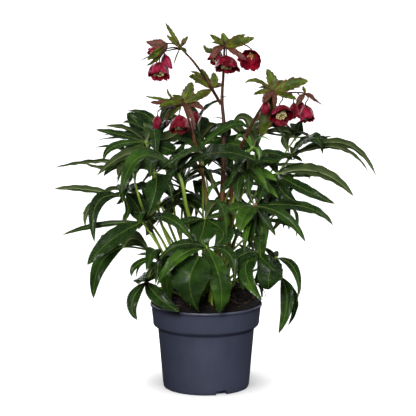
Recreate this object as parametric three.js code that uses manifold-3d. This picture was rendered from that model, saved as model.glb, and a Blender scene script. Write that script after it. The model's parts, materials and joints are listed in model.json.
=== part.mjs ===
// Potted hellebore: a nursery pot with its compost, the crown of evergreen
// pedate leaves, three flowering stems with leafy bracts, nodding bells and buds.
// Millimetres, +Z up, origin at the middle of the pot's underside.
import * as THREE from 'three';
import { mergeVertices } from 'three/addons/utils/BufferGeometryUtils.js';
import Module from 'manifold-3d';

// ---------------------------------------------------------------- dimensions
const POT_LIP_R = 98;        // outer radius of the lip round the rim
const POT_RIM_R = 95.9;      // outer radius of the band just under the lip
const POT_H = 149;           // height to the rim
const POT_LIP_H = 5;         // height of the lip
const POT_BAND_R = 92.6;     // outer radius at the foot of the band
const POT_BAND_Z = 111.5;    // where the band ends and its chamfer begins
const POT_BODY_TOP_R = 84.4; // outer radius of the body just under the chamfer
const POT_BODY_TOP_Z = 103.5;
const POT_BODY_LOW_R = 76.2; // outer radius of the body just above the foot
const POT_FOOT_R = 74.9;     // outer radius of the foot
const POT_WALL = 2.2;        // wall thickness
const POT_FLOOR_Z = 5.5;     // inner floor above the surface it stands on
const POT_RECESS = 3;        // height of the recess under the floor
const POT_PAD_R = 20;        // radius of the flat middle pad
const POT_SIDES = 36;
const SLOT_COUNT = 3;        // drain notches round the foot
const SLOT_W = 20;
const SLOT_H = 7.5;
const SLOT_FIRST_DEG = -69;
const SOIL_EDGE_Z = 146;     // compost level against the wall
const SOIL_MOUND = 32;       // how far the root ball stands above that level
const SOIL_GAP = 0.9;        // compost to wall
const LEAF_T = 0.9;          // thickness of a leaflet at its midrib
const HUB_R = 5.4;           // knuckle where the leaflets meet the petiole
const SEPAL_T = 1.3;         // thickness of a sepal cup
const LEAF_STATIONS = [0.25, 0.55, 0.83];
const SHORT = 62;            // leaflets shorter than this get fewer stations
const SHORT_STATIONS = [0.32, 0.72];
const CLEAN = 0.03;          // shortest edge kept where solids are joined
const SLIVER = 0.006;        // faces flatter than this are merged into their neighbour

// ---------------------------------------------------------------- tables
// name, petiole points from crown to knuckle, petiole radii, leaflets as
// [middle of spine, tip, width, roll, fold, kind]
const LEAVES = [
  ["leaf_01",[[-3.7,-25.9,161.2],[-22.2,-65.2,274.9],[-35.5,-98.0,344.5],[-38.4,-101.0,365.1],[-42.1,-100.0,378.5],[-47.6,-95.8,388.0]],[4.0,3.0],[[[-106.0,-126.1,419.8],[-138.3,-160.9,361.9],30.4,-40.6,12.0,0],[[-111.9,-74.3,421.7],[-185.2,-49.4,378.4],27.1,42.8,8.0,0],[[12.3,-164.1,428.8],[79.2,-219.1,422.9],36.3,36.8,12.0,0],[[-50.3,-40.0,406.2],[-36.8,20.0,426.8],25.7,-20.0,14.0,0],[[-80.1,-60.0,398.8],[-122.9,-20.0,381.7],23.3,-30.0,14.0,0],[[-55.3,-124.8,395.2],[-61.5,-148.0,373.0],20.5,16.1,14.0,0],[[-7.3,-82.0,396.9],[15.4,-65.4,354.6],22.7,3.0,14.0,0],[[-16.9,-123.2,421.5],[31.8,-139.0,396.2],28.0,-7.1,13.0,0]]],
  ["leaf_02",[[-13.8,-34.5,159.8],[-55.6,-58.7,249.6],[-68.3,-68.9,279.4],[-76.9,-85.9,307.3],[-79.6,-108.6,332.3],[-82.0,-124.9,361.9],[-83.7,-138.2,393.1]],[3.0,2.2],[[[-81.9,-168.0,368.1],[-95.7,-176.0,327.4],42.0,32.0,8.0,6],[[-91.3,-110.0,388.1],[-100.5,-90.0,380.6],11.0,-20.0,14.0,0],[[-107.4,-125.0,399.9],[-135.3,-100.0,378.8],18.8,-20.0,14.0,0],[[-62.6,-160.0,380.1],[-56.1,-166.0,356.3],16.2,18.0,14.0,0],[[-86.1,-184.7,420.1],[-88.5,-236.4,396.9],22.1,-18.8,14.0,0],[[-16.0,-133.7,431.5],[12.5,-61.8,409.6],23.8,10.3,14.0,0],[[-105.0,-158.7,415.6],[-116.0,-150.0,375.6],24.3,7.4,14.0,0],[[-128.4,-111.4,403.1],[-147.4,-83.0,381.0],22.2,17.1,13.0,0]]],
  ["leaf_03",[[-16.0,1.2,166.6],[-62.4,-8.0,282.4],[-84.6,-5.2,340.7],[-92.1,-7.0,370.9],[-103.2,-14.8,431.9]],[2.5,1.7],[[[-150.4,5.0,443.0],[-190.3,0.0,451.7],19.8,-25.0,10.0,0],[[-135.8,41.9,449.1],[-177.6,61.2,452.6],18.3,43.7,8.0,0],[[-141.6,20.0,435.9],[-188.0,30.0,431.7],14.1,-20.0,10.0,0],[[-143.8,40.0,422.2],[-196.6,60.0,415.2],13.4,-20.0,10.0,0],[[-153.3,-50.0,429.2],[-172.3,-70.0,408.5],15.0,-42.0,12.0,0],[[-130.9,-30.0,420.7],[-159.1,-40.0,405.1],16.5,-30.0,14.0,0],[[-88.4,12.3,439.3],[-76.5,33.9,416.5],18.2,30.9,14.0,0],[[-89.1,-39.9,454.3],[-85.8,-63.8,407.1],23.8,-6.8,14.0,0],[[-63.4,-30.4,420.7],[-52.9,-68.4,422.8],24.3,61.8,13.0,0],[[-134.8,30.9,442.5],[-183.7,54.2,437.0],22.3,-4.4,13.0,0]]],
  ["leaf_04",[[-6.6,-3.5,165.6],[-31.9,17.6,224.5],[-43.9,26.2,254.7],[-53.1,26.0,286.3],[-56.6,12.8,316.6],[-62.5,16.2,348.4],[-70.1,32.3,376.9],[-85.4,70.0,430.6]],[2.5,1.7],[[[-117.5,107.2,450.8],[-142.0,114.4,471.5],35.6,-31.9,10.0,1],[[-103.6,106.7,465.9],[-144.3,147.3,472.6],16.2,-29.6,12.0,0],[[-126.6,80.0,454.8],[-148.0,80.0,456.0],12.7,-20.0,12.0,0],[[-100.6,60.8,443.1],[-111.1,75.4,456.6],23.3,46.0,14.0,0],[[-62.0,40.0,435.5],[-34.5,20.0,459.2],28.0,-40.0,12.0,0],[[-68.3,110.8,464.3],[-43.8,155.9,434.4],24.7,-11.5,14.0,0],[[-114.2,53.7,436.5],[-156.8,16.3,389.7],27.6,-3.1,14.0,0],[[-101.3,132.6,447.5],[-106.0,166.2,383.7],21.6,-14.7,14.0,0],[[-41.9,46.2,436.9],[1.7,22.4,401.9],26.0,44.7,13.0,0],[[-71.3,88.7,452.4],[-47.5,166.5,461.9],19.8,-15.8,13.0,0],[[-53.7,138.6,488.5],[-5.8,127.5,452.5],24.4,41.0,13.0,0]]],
  ["leaf_05",[[-38.6,-26.4,161.0],[-67.0,-20.3,220.3],[-81.0,-19.3,250.1],[-93.7,-25.4,279.6],[-100.2,-49.7,301.0],[-108.4,-104.4,336.2],[-114.5,-107.3,357.9],[-119.7,-77.0,369.7],[-132.7,52.7,391.6]],[2.5,1.7],[[[-205.2,40.0,391.2],[-264.1,30.0,382.7],18.8,30.0,8.0,0],[[-171.0,10.0,384.9],[-210.2,-10.0,395.2],16.1,30.0,8.0,0],[[-159.0,-10.0,388.0],[-175.3,-30.0,374.9],14.2,-20.0,14.0,0],[[-142.0,5.7,397.9],[-151.3,-41.4,364.2],12.3,-32.7,14.0,0],[[-139.7,95.5,401.9],[-147.1,149.6,386.8],23.4,-4.3,14.0,0],[[-86.8,81.9,424.5],[-55.6,158.7,394.8],22.5,-0.7,14.0,0],[[-161.6,66.0,415.6],[-185.4,90.3,383.8],21.6,-4.6,14.0,0]]],
  ["leaf_06",[[-43.9,-16.4,162.9],[-58.4,-15.9,221.3],[-69.7,-17.2,249.2],[-84.3,-19.5,275.4],[-102.0,-22.8,299.5],[-122.6,-26.8,321.1],[-145.1,-31.3,340.6]],[2.5,1.7],[[[-209.4,-30.0,352.8],[-260.2,-30.0,352.7],16.6,48.0,8.0,0],[[-184.2,-80.0,333.7],[-187.1,-100.0,272.0],21.9,-48.0,14.0,0],[[-197.9,0.0,320.9],[-211.0,10.0,281.0],13.5,40.0,10.0,0],[[-132.5,-60.0,324.1],[-140.2,-80.0,301.0],11.6,5.0,20.0,0],[[-149.0,20.0,323.0],[-162.1,60.0,313.9],13.0,-20.0,14.0,0],[[-137.3,0.0,343.3],[-135.4,30.0,348.2],14.0,-40.0,14.0,0],[[-137.3,-106.9,369.7],[-137.0,-148.8,344.1],22.2,7.9,14.0,0],[[-117.9,-46.6,358.2],[-54.7,-99.4,353.2],28.0,21.9,13.0,0]]],
  ["leaf_07",[[-9.7,-14.6,163.2],[-75.9,-67.9,253.1],[-91.6,-75.0,278.2],[-108.1,-60.9,300.0]],[2.5,1.7],[[[-183.6,-58.8,294.2],[-242.0,-85.3,281.5],11.5,-54.0,12.0,0],[[-157.9,-125.0,279.3],[-195.7,-145.0,241.2],29.4,-46.0,12.0,0],[[-61.9,-140.0,318.3],[-21.3,-150.0,280.6],22.3,36.0,12.0,0],[[-82.7,-86.9,326.3],[-41.3,-109.1,359.0],9.5,-6.3,14.0,0],[[-118.0,-38.2,324.0],[-136.5,-35.4,345.0],34.4,-31.0,14.0,1],[[-98.0,-50.3,288.1],[-104.2,-14.0,268.9],16.4,26.4,14.0,0],[[-108.6,-116.7,325.0],[-110.0,-157.2,311.0],23.9,3.9,14.0,0]]],
  ["leaf_08",[[-40.9,14.8,169.3],[-79.5,10.0,216.0],[-100.7,11.3,237.2],[-123.7,28.8,240.7],[-143.8,10.0,245.7]],[2.5,1.7],[[[-182.1,-30.0,222.7],[-194.3,-40.0,163.5],28.7,-52.0,22.0,0],[[-125.6,0.0,262.2],[-101.6,-10.0,245.6],37.7,-50.0,8.0,1],[[-160.9,25.0,243.8],[-172.9,40.0,244.9],13.5,-20.0,14.0,0],[[-164.8,-36.6,274.8],[-181.2,-86.3,248.1],23.5,16.8,14.0,0],[[-138.7,62.6,257.0],[-134.1,109.1,229.8],21.6,2.4,14.0,0],[[-118.9,0.5,249.3],[-99.1,7.7,237.2],11.0,11.8,13.0,0]]],
  ["leaf_09",[[-23.4,-9.6,164.3],[-32.7,-18.4,189.3],[-49.1,-33.9,206.5],[-66.9,-50.8,221.0],[-81.9,-65.0,240.3]],[2.5,1.7],[[[-116.1,-85.0,231.2],[-125.9,-90.0,211.4],13.5,-30.0,12.0,0],[[-109.5,-60.0,227.5],[-119.2,-50.0,203.2],10.1,-0.0,20.0,0],[[-98.0,-30.0,239.3],[-120.4,-10.0,234.4],15.8,-25.0,14.0,0],[[-67.1,-99.8,207.6],[-65.6,-58.3,154.2],22.2,17.5,14.0,0],[[-88.1,-106.3,259.2],[-98.3,-145.0,231.4],23.7,-7.7,14.0,0],[[-49.7,-118.4,262.1],[-15.6,-70.0,280.4],26.0,-4.0,14.0,0]]],
  ["leaf_10",[[-22.2,-22.6,161.7],[-36.8,-33.2,181.1],[-81.6,-65.9,187.3],[-101.1,-80.0,199.9]],[2.5,1.7],[[[-123.5,-108.0,173.3],[-115.9,-112.0,141.4],19.9,-38.0,12.0,0],[[-79.5,-108.0,179.0],[-44.7,-112.0,155.1],26.6,35.0,12.0,0],[[-111.3,-60.0,202.1],[-124.3,-40.0,193.1],17.0,-30.0,14.0,0],[[-103.3,-45.0,203.6],[-107.8,-20.0,206.0],15.0,-30.0,14.0,0],[[-87.5,-46.9,213.5],[-62.6,-30.4,242.1],20.7,22.6,13.0,0],[[-82.0,-111.9,239.7],[-83.1,-156.3,210.6],18.1,0.6,13.0,0],[[-107.9,-124.9,211.8],[-109.8,-172.8,214.2],25.8,12.7,13.0,0]]],
  ["leaf_11",[[8.1,-32.2,160.1],[7.2,-42.3,189.5],[5.4,-60.1,215.0],[1.6,-100.0,262.7]],[3.0,2.2],[[[-26.5,-142.0,217.0],[-12.1,-122.0,157.8],70.6,-6.0,7.0,6],[[24.1,-130.0,207.9],[21.7,-117.0,154.2],40.1,6.0,8.0,1],[[-45.2,-152.0,255.7],[-80.5,-160.0,209.6],20.0,-30.0,12.0,0],[[-41.3,-138.0,274.2],[-78.0,-132.0,248.0],17.2,-48.0,12.0,0],[[38.8,-138.0,257.4],[46.5,-150.0,216.0],19.1,24.0,12.0,0],[[-4.1,-103.0,269.8],[-8.8,-105.0,277.6],7.6,-80.0,10.0,2],[[3.9,-108.0,271.0],[5.9,-106.6,278.6],6.7,80.0,10.0,2]]],
  ["leaf_12",[[1.1,-8.1,164.6],[0.7,-14.9,195.1],[0.3,-25.2,224.5],[-0.4,-38.5,252.7],[-1.8,-70.0,306.5]],[2.5,1.7],[[[-5.6,-91.0,288.7],[-15.5,-101.0,267.5],44.6,-5.0,8.0,1],[[28.2,-101.4,289.4],[15.7,-121.4,270.1],37.5,16.0,12.0,1],[[-31.8,-101.0,307.4],[-49.6,-113.6,296.4],17.4,-30.0,14.0,0],[[25.5,-90.0,316.9],[54.2,-100.0,325.5],17.5,30.0,14.0,0],[[-44.5,-47.9,330.4],[-85.9,-55.3,290.6],25.1,19.0,14.0,0],[[26.3,-80.3,333.4],[44.6,-49.1,297.1],24.8,16.4,14.0,0],[[22.2,-110.9,340.4],[33.9,-132.1,288.9],26.3,-17.0,13.0,0]]],
  ["leaf_13",[[15.7,-24.4,161.4],[43.4,-45.3,249.5],[54.2,-55.1,277.4],[69.0,-69.9,300.4],[82.7,-70.0,328.7]],[3.0,2.2],[[[166.7,-75.0,327.9],[215.3,-70.0,295.5],20.0,40.0,10.0,0],[[130.4,-100.0,316.1],[166.1,-110.0,273.7],19.1,40.0,12.0,0],[[92.6,-60.0,287.2],[95.4,-92.2,241.8],23.9,-18.0,12.0,0],[[66.1,-128.0,323.6],[55.0,-150.0,298.7],32.5,-4.0,8.0,1],[[72.3,-40.0,357.0],[90.9,-20.0,360.7],12.9,-30.0,14.0,0],[[53.1,-100.0,330.9],[30.0,-110.0,321.5],21.2,-30.0,14.0,0],[[76.4,-118.0,298.6],[72.2,-126.0,262.9],15.3,22.0,14.0,0],[[101.9,-60.0,302.4],[117.9,-66.0,276.7],17.2,80.0,12.0,0],[[67.2,-140.0,298.7],[63.3,-150.0,264.5],11.5,14.0,12.0,0]]],
  ["leaf_14",[[31.2,-15.3,163.1],[36.0,-23.7,192.1],[40.7,-29.4,221.6],[46.3,-32.3,251.5],[53.7,-32.5,281.1],[64.6,-29.6,309.4],[79.8,-24.2,335.2],[99.3,-17.4,357.6],[122.4,-10.0,376.0]],[3.0,2.2],[[[194.7,-20.0,380.7],[253.9,-20.0,338.9],27.5,-48.0,8.0,0],[[167.3,-70.0,356.3],[217.2,-80.0,334.1],19.9,38.0,12.0,0],[[179.3,40.0,384.6],[223.4,60.0,356.1],17.3,-30.0,10.0,0],[[125.0,-83.9,360.1],[152.4,-82.8,335.9],28.0,45.2,12.0,0],[[167.1,11.4,380.7],[179.4,18.0,361.1],11.1,5.5,16.0,0],[[100.0,-80.0,365.5],[88.8,-110.0,345.9],28.1,-30.0,14.0,0],[[107.6,33.8,404.1],[98.5,80.1,383.5],27.6,-19.6,14.0,0],[[159.7,-12.6,392.1],[206.3,-23.2,373.1],15.7,7.4,13.0,0],[[165.8,10.4,369.8],[213.8,68.8,369.0],21.7,7.0,13.0,0]]],
  ["leaf_15",[[23.6,24.9,170.8],[30.8,22.7,203.3],[41.4,21.4,234.9],[55.0,21.0,265.3],[89.5,22.8,322.4],[148.5,30.0,402.9]],[3.0,2.2],[[[238.0,20.0,427.0],[295.4,10.0,370.7],21.6,-42.0,8.0,0],[[223.9,-10.0,423.1],[278.1,-30.0,382.2],18.3,-38.0,8.0,0],[[182.2,-45.3,442.0],[199.4,-31.0,412.8],22.3,53.5,12.0,0],[[158.1,15.0,401.0],[165.9,0.0,396.6],10.0,10.0,14.0,0],[[158.0,72.6,410.1],[159.3,133.0,383.9],18.6,22.9,14.0,0],[[140.7,-38.9,411.9],[108.3,-58.2,398.8],19.8,-9.1,14.0,0],[[188.0,70.1,432.8],[239.5,112.3,403.5],22.0,-6.8,14.0,0]]],
  ["leaf_16",[[18.5,40.1,171.8],[24.6,44.3,204.7],[34.5,49.4,236.6],[47.8,55.3,267.0],[82.1,68.6,323.6],[160.8,95.0,430.0]],[2.5,1.7],[[[164.5,98.0,442.2],[169.6,100.0,459.5],20.6,30.0,14.0,0],[[135.8,85.0,443.3],[99.8,70.0,440.3],22.3,40.0,10.0,0],[[142.9,93.5,428.1],[148.4,101.7,402.5],22.4,40.4,10.0,0],[[198.0,105.0,427.2],[225.8,110.0,430.4],16.5,-30.0,10.0,0],[[163.2,147.3,449.3],[165.2,189.9,413.2],22.2,-17.3,14.0,0],[[113.2,132.8,464.9],[70.5,171.4,429.0],21.5,10.8,14.0,0],[[160.1,6.6,446.8],[202.4,-3.0,428.0],26.0,-20.1,14.0,0],[[110.1,127.5,447.0],[84.8,177.9,404.7],19.4,31.7,13.0,0],[[122.4,98.9,434.1],[92.9,103.4,440.1],13.8,-7.1,13.0,0]]],
  ["leaf_17",[[10.6,15.9,169.5],[16.4,18.9,200.5],[34.3,24.2,261.0],[68.6,29.4,349.4],[87.2,30.0,409.9]],[2.5,1.7],[[[69.5,35.0,468.4],[42.9,30.5,453.3],27.9,37.1,12.0,0],[[121.3,10.0,408.3],[150.9,0.0,399.3],20.5,30.0,14.0,0],[[80.6,80.0,432.5],[74.7,130.0,438.8],25.8,-20.0,12.0,0],[[60.5,48.4,419.8],[30.0,75.3,412.3],23.5,-28.8,14.0,0],[[118.1,55.3,458.0],[150.1,38.9,393.0],20.7,-10.8,14.0,0],[[106.5,-11.9,393.3],[151.3,-43.8,399.1],25.6,-22.4,14.0,0],[[54.6,-1.7,461.6],[-22.2,-39.0,411.7],23.4,-24.3,14.0,0],[[57.6,17.9,415.2],[39.5,87.7,373.6],20.8,5.7,14.0,0],[[33.6,27.1,424.6],[-5.7,9.0,404.5],26.3,-45.1,13.0,0],[[97.1,-9.3,414.6],[85.6,-40.0,384.8],23.7,-45.7,13.0,0]]],
  ["leaf_18",[[12.7,7.9,168.0],[37.5,-1.2,257.7],[53.5,-10.9,317.0],[58.3,-30.4,339.6],[61.1,-54.3,357.6],[67.4,-65.1,386.0]],[2.5,1.7],[[[92.8,-112.0,390.8],[116.9,-130.0,378.9],16.2,44.0,12.0,0],[[42.7,-82.0,372.0],[26.5,-112.0,358.2],17.2,-20.0,12.0,0],[[71.3,-112.0,378.3],[67.6,-128.0,353.7],17.2,-24.0,12.0,0],[[96.5,-48.4,403.0],[123.9,-54.4,395.3],23.2,18.5,14.0,0],[[53.6,-50.6,407.5],[34.4,-5.0,402.5],23.2,-13.6,14.0,0],[[54.2,-96.0,374.6],[52.3,-112.0,343.1],17.2,2.0,12.0,0],[[64.6,-99.9,413.0],[36.5,-115.1,369.3],26.3,12.3,14.0,0],[[96.5,-104.0,370.6],[119.8,-126.0,349.2],15.3,26.0,12.0,0],[[82.4,-124.0,396.4],[103.4,-142.0,360.5],13.4,28.0,12.0,0]]],
  ["leaf_19",[[-41.0,38.2,171.8],[-44.2,48.7,238.0],[-44.1,52.8,271.3],[-42.4,57.5,304.5],[-38.6,63.7,337.2],[-32.0,73.2,368.7],[-22.7,86.8,397.9],[-11.1,104.7,423.7]],[2.5,1.7],[[[-7.8,99.2,471.8],[27.4,84.2,496.9],18.8,28.6,14.0,0],[[-10.5,150.6,451.0],[-7.0,169.8,460.5],35.2,9.0,12.0,1],[[15.8,108.0,435.2],[44.2,85.9,427.6],18.8,28.0,14.0,0],[[-33.4,93.4,421.8],[-60.1,101.2,416.7],18.7,-25.9,14.0,0],[[-26.0,147.6,436.4],[-46.9,110.4,453.2],23.5,-22.7,14.0,0],[[-12.4,137.0,416.3],[0.1,172.4,372.3],20.6,-19.0,14.0,0],[[-59.1,147.0,426.7],[-85.4,123.0,416.9],20.9,8.8,14.0,0],[[28.1,163.0,437.4],[40.6,208.7,416.8],26.3,-4.3,14.0,0],[[20.7,61.9,456.3],[31.5,43.6,411.7],26.9,-9.7,14.0,0]]],
  ["leaf_20",[[37.3,-8.2,164.6],[48.1,-18.9,188.2],[71.2,-23.9,203.8],[97.2,-23.6,215.6],[121.1,-20.0,230.6]],[2.5,1.7],[[[153.9,-45.0,215.9],[155.7,-60.0,161.5],9.4,20.0,12.0,0],[[149.3,-70.0,222.3],[158.1,-90.0,180.7],15.0,30.0,12.0,0],[[122.2,5.0,233.3],[126.9,30.0,234.3],10.0,20.0,14.0,0],[[106.3,-103.7,219.0],[106.1,-102.4,191.5],44.7,-15.8,8.0,1],[[97.6,-88.6,221.1],[80.1,-88.6,194.0],18.8,-20.3,12.0,0],[[87.5,74.7,221.6],[53.4,93.4,238.4],25.4,-3.8,14.0,0],[[110.9,6.0,236.7],[102.2,10.0,244.0],9.5,-24.0,12.0,0]]],
  ["leaf_21",[[23.2,-3.8,165.6],[42.5,-9.1,185.6],[72.7,-7.8,185.7],[102.7,-3.9,184.9],[131.1,1.8,193.0]],[2.5,1.7],[[[140.6,-25.0,155.3],[126.2,-30.0,99.7],23.4,30.0,12.0,0],[[155.5,15.0,148.3],[145.0,20.0,102.2],15.3,80.0,12.0,0],[[123.6,30.0,184.0],[119.7,60.0,171.0],13.0,-20.0,14.0,0]]],
  ["leaf_22",[[23.2,-32.2,160.1],[33.2,-40.3,188.8],[51.0,-54.9,210.6],[70.8,-71.1,229.5],[87.7,-85.0,252.4]],[2.5,1.7],[[[66.5,-125.0,236.7],[62.1,-120.0,194.0],29.2,-20.0,12.0,0],[[59.8,-115.0,253.0],[41.6,-120.0,231.7],26.0,-30.0,14.0,0],[[93.4,-37.6,196.9],[97.0,-56.1,168.2],8.2,17.3,14.0,0],[[97.1,-105.0,242.4],[116.2,-110.0,224.2],18.8,30.0,14.0,0],[[88.0,-136.5,286.1],[88.3,-193.2,262.2],21.7,8.3,14.0,0],[[84.5,-37.9,261.0],[81.5,4.4,238.4],17.8,-9.0,14.0,0],[[47.1,-76.0,284.1],[-6.2,-65.7,271.6],21.5,-8.1,14.0,0],[[65.6,-132.9,230.8],[92.0,-164.4,185.3],27.8,9.5,13.0,0]]],
  ["leaf_23",[[46.1,12.1,168.8],[52.1,24.6,196.4],[63.1,33.0,224.0],[79.2,35.6,250.3],[98.3,33.1,274.5],[138.0,18.8,319.7]],[2.5,1.7],[[[156.4,0.0,305.0],[154.9,-25.0,266.2],7.2,10.0,12.0,0],[[131.7,10.0,299.4],[114.6,10.0,271.9],11.5,-20.0,12.0,0],[[118.4,45.0,334.7],[95.0,60.0,332.3],21.1,-20.0,12.0,0],[[159.9,46.1,311.1],[189.1,53.3,297.5],16.4,-34.5,10.0,0],[[152.6,-31.1,356.4],[194.3,-67.2,341.6],27.0,10.8,14.0,0],[[141.9,66.1,361.8],[159.3,124.0,333.9],23.2,-7.1,14.0,0]]],
  ["leaf_24",[[23.4,-19.2,162.3],[38.0,-27.5,282.1],[48.4,-33.4,341.4],[65.7,-43.1,398.4],[77.9,-50.0,425.2]],[2.5,1.7],[[[90.5,-60.0,444.2],[109.2,-60.0,438.3],7.0,20.0,10.0,2],[[60.5,-65.0,448.7],[49.0,-70.0,439.2],8.1,-20.0,10.0,2],[[67.7,-66.0,416.6],[64.8,-76.4,401.6],8.2,-20.0,10.0,2],[[87.5,-65.0,423.4],[89.1,-70.0,407.0],7.0,20.0,10.0,2],[[74.7,-40.0,436.1],[73.5,-20.0,444.5],7.0,-20.0,10.0,2]]],
  ["leaf_25",[[-29.8,24.8,170.8],[-36.4,27.8,199.2],[-47.2,32.7,226.1],[-90.9,52.5,300.0]],[2.5,1.7],[[[-100.1,100.3,330.0],[-114.5,150.8,304.6],25.9,-11.0,14.0,0],[[-154.5,50.2,342.6],[-219.6,39.8,297.3],26.9,20.9,14.0,0],[[-124.5,14.1,318.4],[-146.5,-36.2,275.1],22.6,18.7,14.0,0],[[-73.0,60.8,339.5],[-38.7,5.7,308.3],25.2,28.6,14.0,0],[[-135.0,93.1,326.6],[-209.0,126.5,311.2],22.0,7.6,14.0,0],[[-96.2,87.8,346.7],[-26.1,105.2,329.4],26.3,5.3,14.0,0],[[-119.4,140.0,313.0],[-154.5,128.0,263.1],25.9,-0.6,14.0,0],[[-104.8,38.4,296.2],[-118.7,24.2,273.2],26.7,-6.0,14.0,0],[[-74.9,95.2,312.2],[-66.0,135.7,276.5],22.5,-33.5,13.0,0],[[-91.0,82.8,289.1],[-108.6,85.2,262.5],19.1,23.6,13.0,0]]],
  ["leaf_26",[[-16.8,27.9,171.2],[-22.6,39.6,231.7],[-26.8,48.0,261.2],[-37.8,70.3,318.0],[-44.6,83.9,345.0]],[2.5,1.7],[[[-89.4,98.3,395.1],[-149.3,116.6,329.4],27.9,19.6,14.0,0],[[-44.4,131.5,351.7],[-43.3,178.9,308.2],19.4,2.4,14.0,0],[[7.4,82.2,367.2],[90.6,3.5,384.9],22.7,22.2,14.0,0],[[-84.1,40.6,354.0],[-102.7,5.0,281.5],28.2,-15.7,14.0,0],[[-78.9,136.5,370.2],[-120.8,185.2,332.1],26.1,-8.6,14.0,0],[[-33.6,132.9,378.9],[-9.5,185.1,349.9],21.4,-17.3,14.0,0],[[-11.2,97.3,371.0],[28.1,129.1,307.1],24.0,-13.2,14.0,0],[[-93.2,57.0,390.7],[-159.7,26.0,361.6],21.6,19.0,14.0,0]]],
  ["leaf_27",[[-1.6,37.8,171.8],[-1.0,45.5,198.7],[0.0,58.9,223.3],[3.8,109.9,290.0]],[2.5,1.7],[[[78.0,122.3,340.8],[132.3,148.5,297.9],27.5,6.4,14.0,0],[[-40.8,132.8,317.5],[-85.3,155.6,304.6],23.1,-25.1,14.0,0],[[-9.6,176.5,313.2],[-19.6,225.8,262.0],20.1,3.1,14.0,0],[[6.1,141.4,297.6],[8.0,166.7,274.2],22.7,-27.7,14.0,0],[[46.4,97.3,321.7],[96.3,86.0,281.8],28.6,-18.6,14.0,0],[[-41.8,150.1,324.5],[-69.2,179.5,258.3],22.5,16.3,14.0,0],[[29.9,169.2,304.9],[52.4,204.9,239.8],21.3,-17.1,14.0,0],[[73.7,130.7,299.0],[87.9,171.5,235.4],23.2,18.5,14.0,0],[[-16.2,151.3,345.1],[-14.3,185.8,290.9],16.0,-16.9,13.0,0],[[-25.9,128.1,310.5],[-33.4,140.1,250.8],27.3,32.4,13.0,0]]],
  ["leaf_28",[[7.4,47.0,171.8],[15.6,55.6,233.5],[21.1,61.4,263.8],[36.6,77.5,322.4],[46.9,88.3,350.0]],[2.5,1.7],[[[-11.2,136.5,363.8],[-53.2,177.7,319.0],22.7,8.0,14.0,0],[[77.5,132.4,390.6],[102.4,147.4,349.7],21.8,-5.6,14.0,0],[[76.5,110.2,366.2],[125.9,54.9,389.1],26.0,-2.5,14.0,0],[[42.0,151.4,356.1],[37.6,208.7,328.7],23.4,-16.6,14.0,0],[[98.6,99.6,389.4],[146.7,108.3,329.0],29.0,-9.8,14.0,0],[[80.4,92.9,365.7],[98.8,76.7,322.9],24.0,-5.3,14.0,0],[[86.1,50.0,368.0],[106.3,29.5,309.4],22.7,8.9,14.0,0],[[29.0,134.9,396.2],[2.8,191.5,364.9],26.0,8.9,14.0,0],[[18.4,140.0,388.1],[-13.5,110.1,362.1],21.2,-31.9,13.0,0],[[11.3,80.1,340.8],[-0.9,69.5,308.9],22.6,-3.7,13.0,0]]],
  ["leaf_29",[[10.4,32.9,171.6],[20.2,32.2,199.3],[36.9,35.4,223.4],[78.3,48.4,263.4],[97.0,56.0,285.0]],[2.5,1.7],[[[128.4,106.7,336.1],[154.8,164.3,294.3],25.3,17.7,14.0,0],[[129.8,36.4,299.3],[151.2,-13.4,283.3],24.5,0.3,14.0,0],[[77.1,124.8,329.6],[17.9,157.3,266.0],25.1,12.3,14.0,0],[[156.2,65.5,304.9],[207.9,61.3,292.0],26.8,-4.8,14.0,0],[[140.5,89.6,318.1],[140.7,132.7,258.3],25.7,-30.9,14.0,0],[[103.4,128.2,290.0],[113.8,171.8,232.0],27.8,-16.7,14.0,0],[[132.4,111.3,320.4],[152.4,146.0,252.7],26.6,-0.3,14.0,0],[[162.0,82.2,307.0],[217.8,89.4,289.3],26.2,18.3,14.0,0],[[137.2,50.0,282.1],[166.3,44.0,265.1],8.6,58.0,12.0,0]]],
  ["leaf_30",[[-5.1,22.9,170.6],[-5.6,42.7,329.8],[-5.8,50.0,361.0],[-6.1,60.5,391.3],[-6.5,74.7,420.0]],[2.5,1.7],[[[40.0,118.2,451.0],[81.6,157.5,402.6],27.6,-19.6,14.0,0],[[-73.7,90.6,434.0],[-118.5,131.1,400.8],27.6,10.3,14.0,0],[[19.6,59.9,427.2],[40.4,48.0,405.0],23.4,-27.4,14.0,0],[[28.5,75.9,428.4],[56.6,76.8,402.5],25.9,-4.2,14.0,0],[[11.7,98.7,394.3],[31.2,159.9,432.6],22.3,-7.8,14.0,0],[[-65.7,55.0,464.9],[-109.5,16.2,409.0],27.6,0.1,14.0,0],[[81.9,57.1,446.9],[117.5,52.0,501.8],24.1,18.3,14.0,0],[[-40.7,110.0,442.6],[-87.4,141.7,392.8],23.7,-9.6,14.0,0]]],
];
const YOUNG_LEAF = 'leaf_24';
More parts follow.
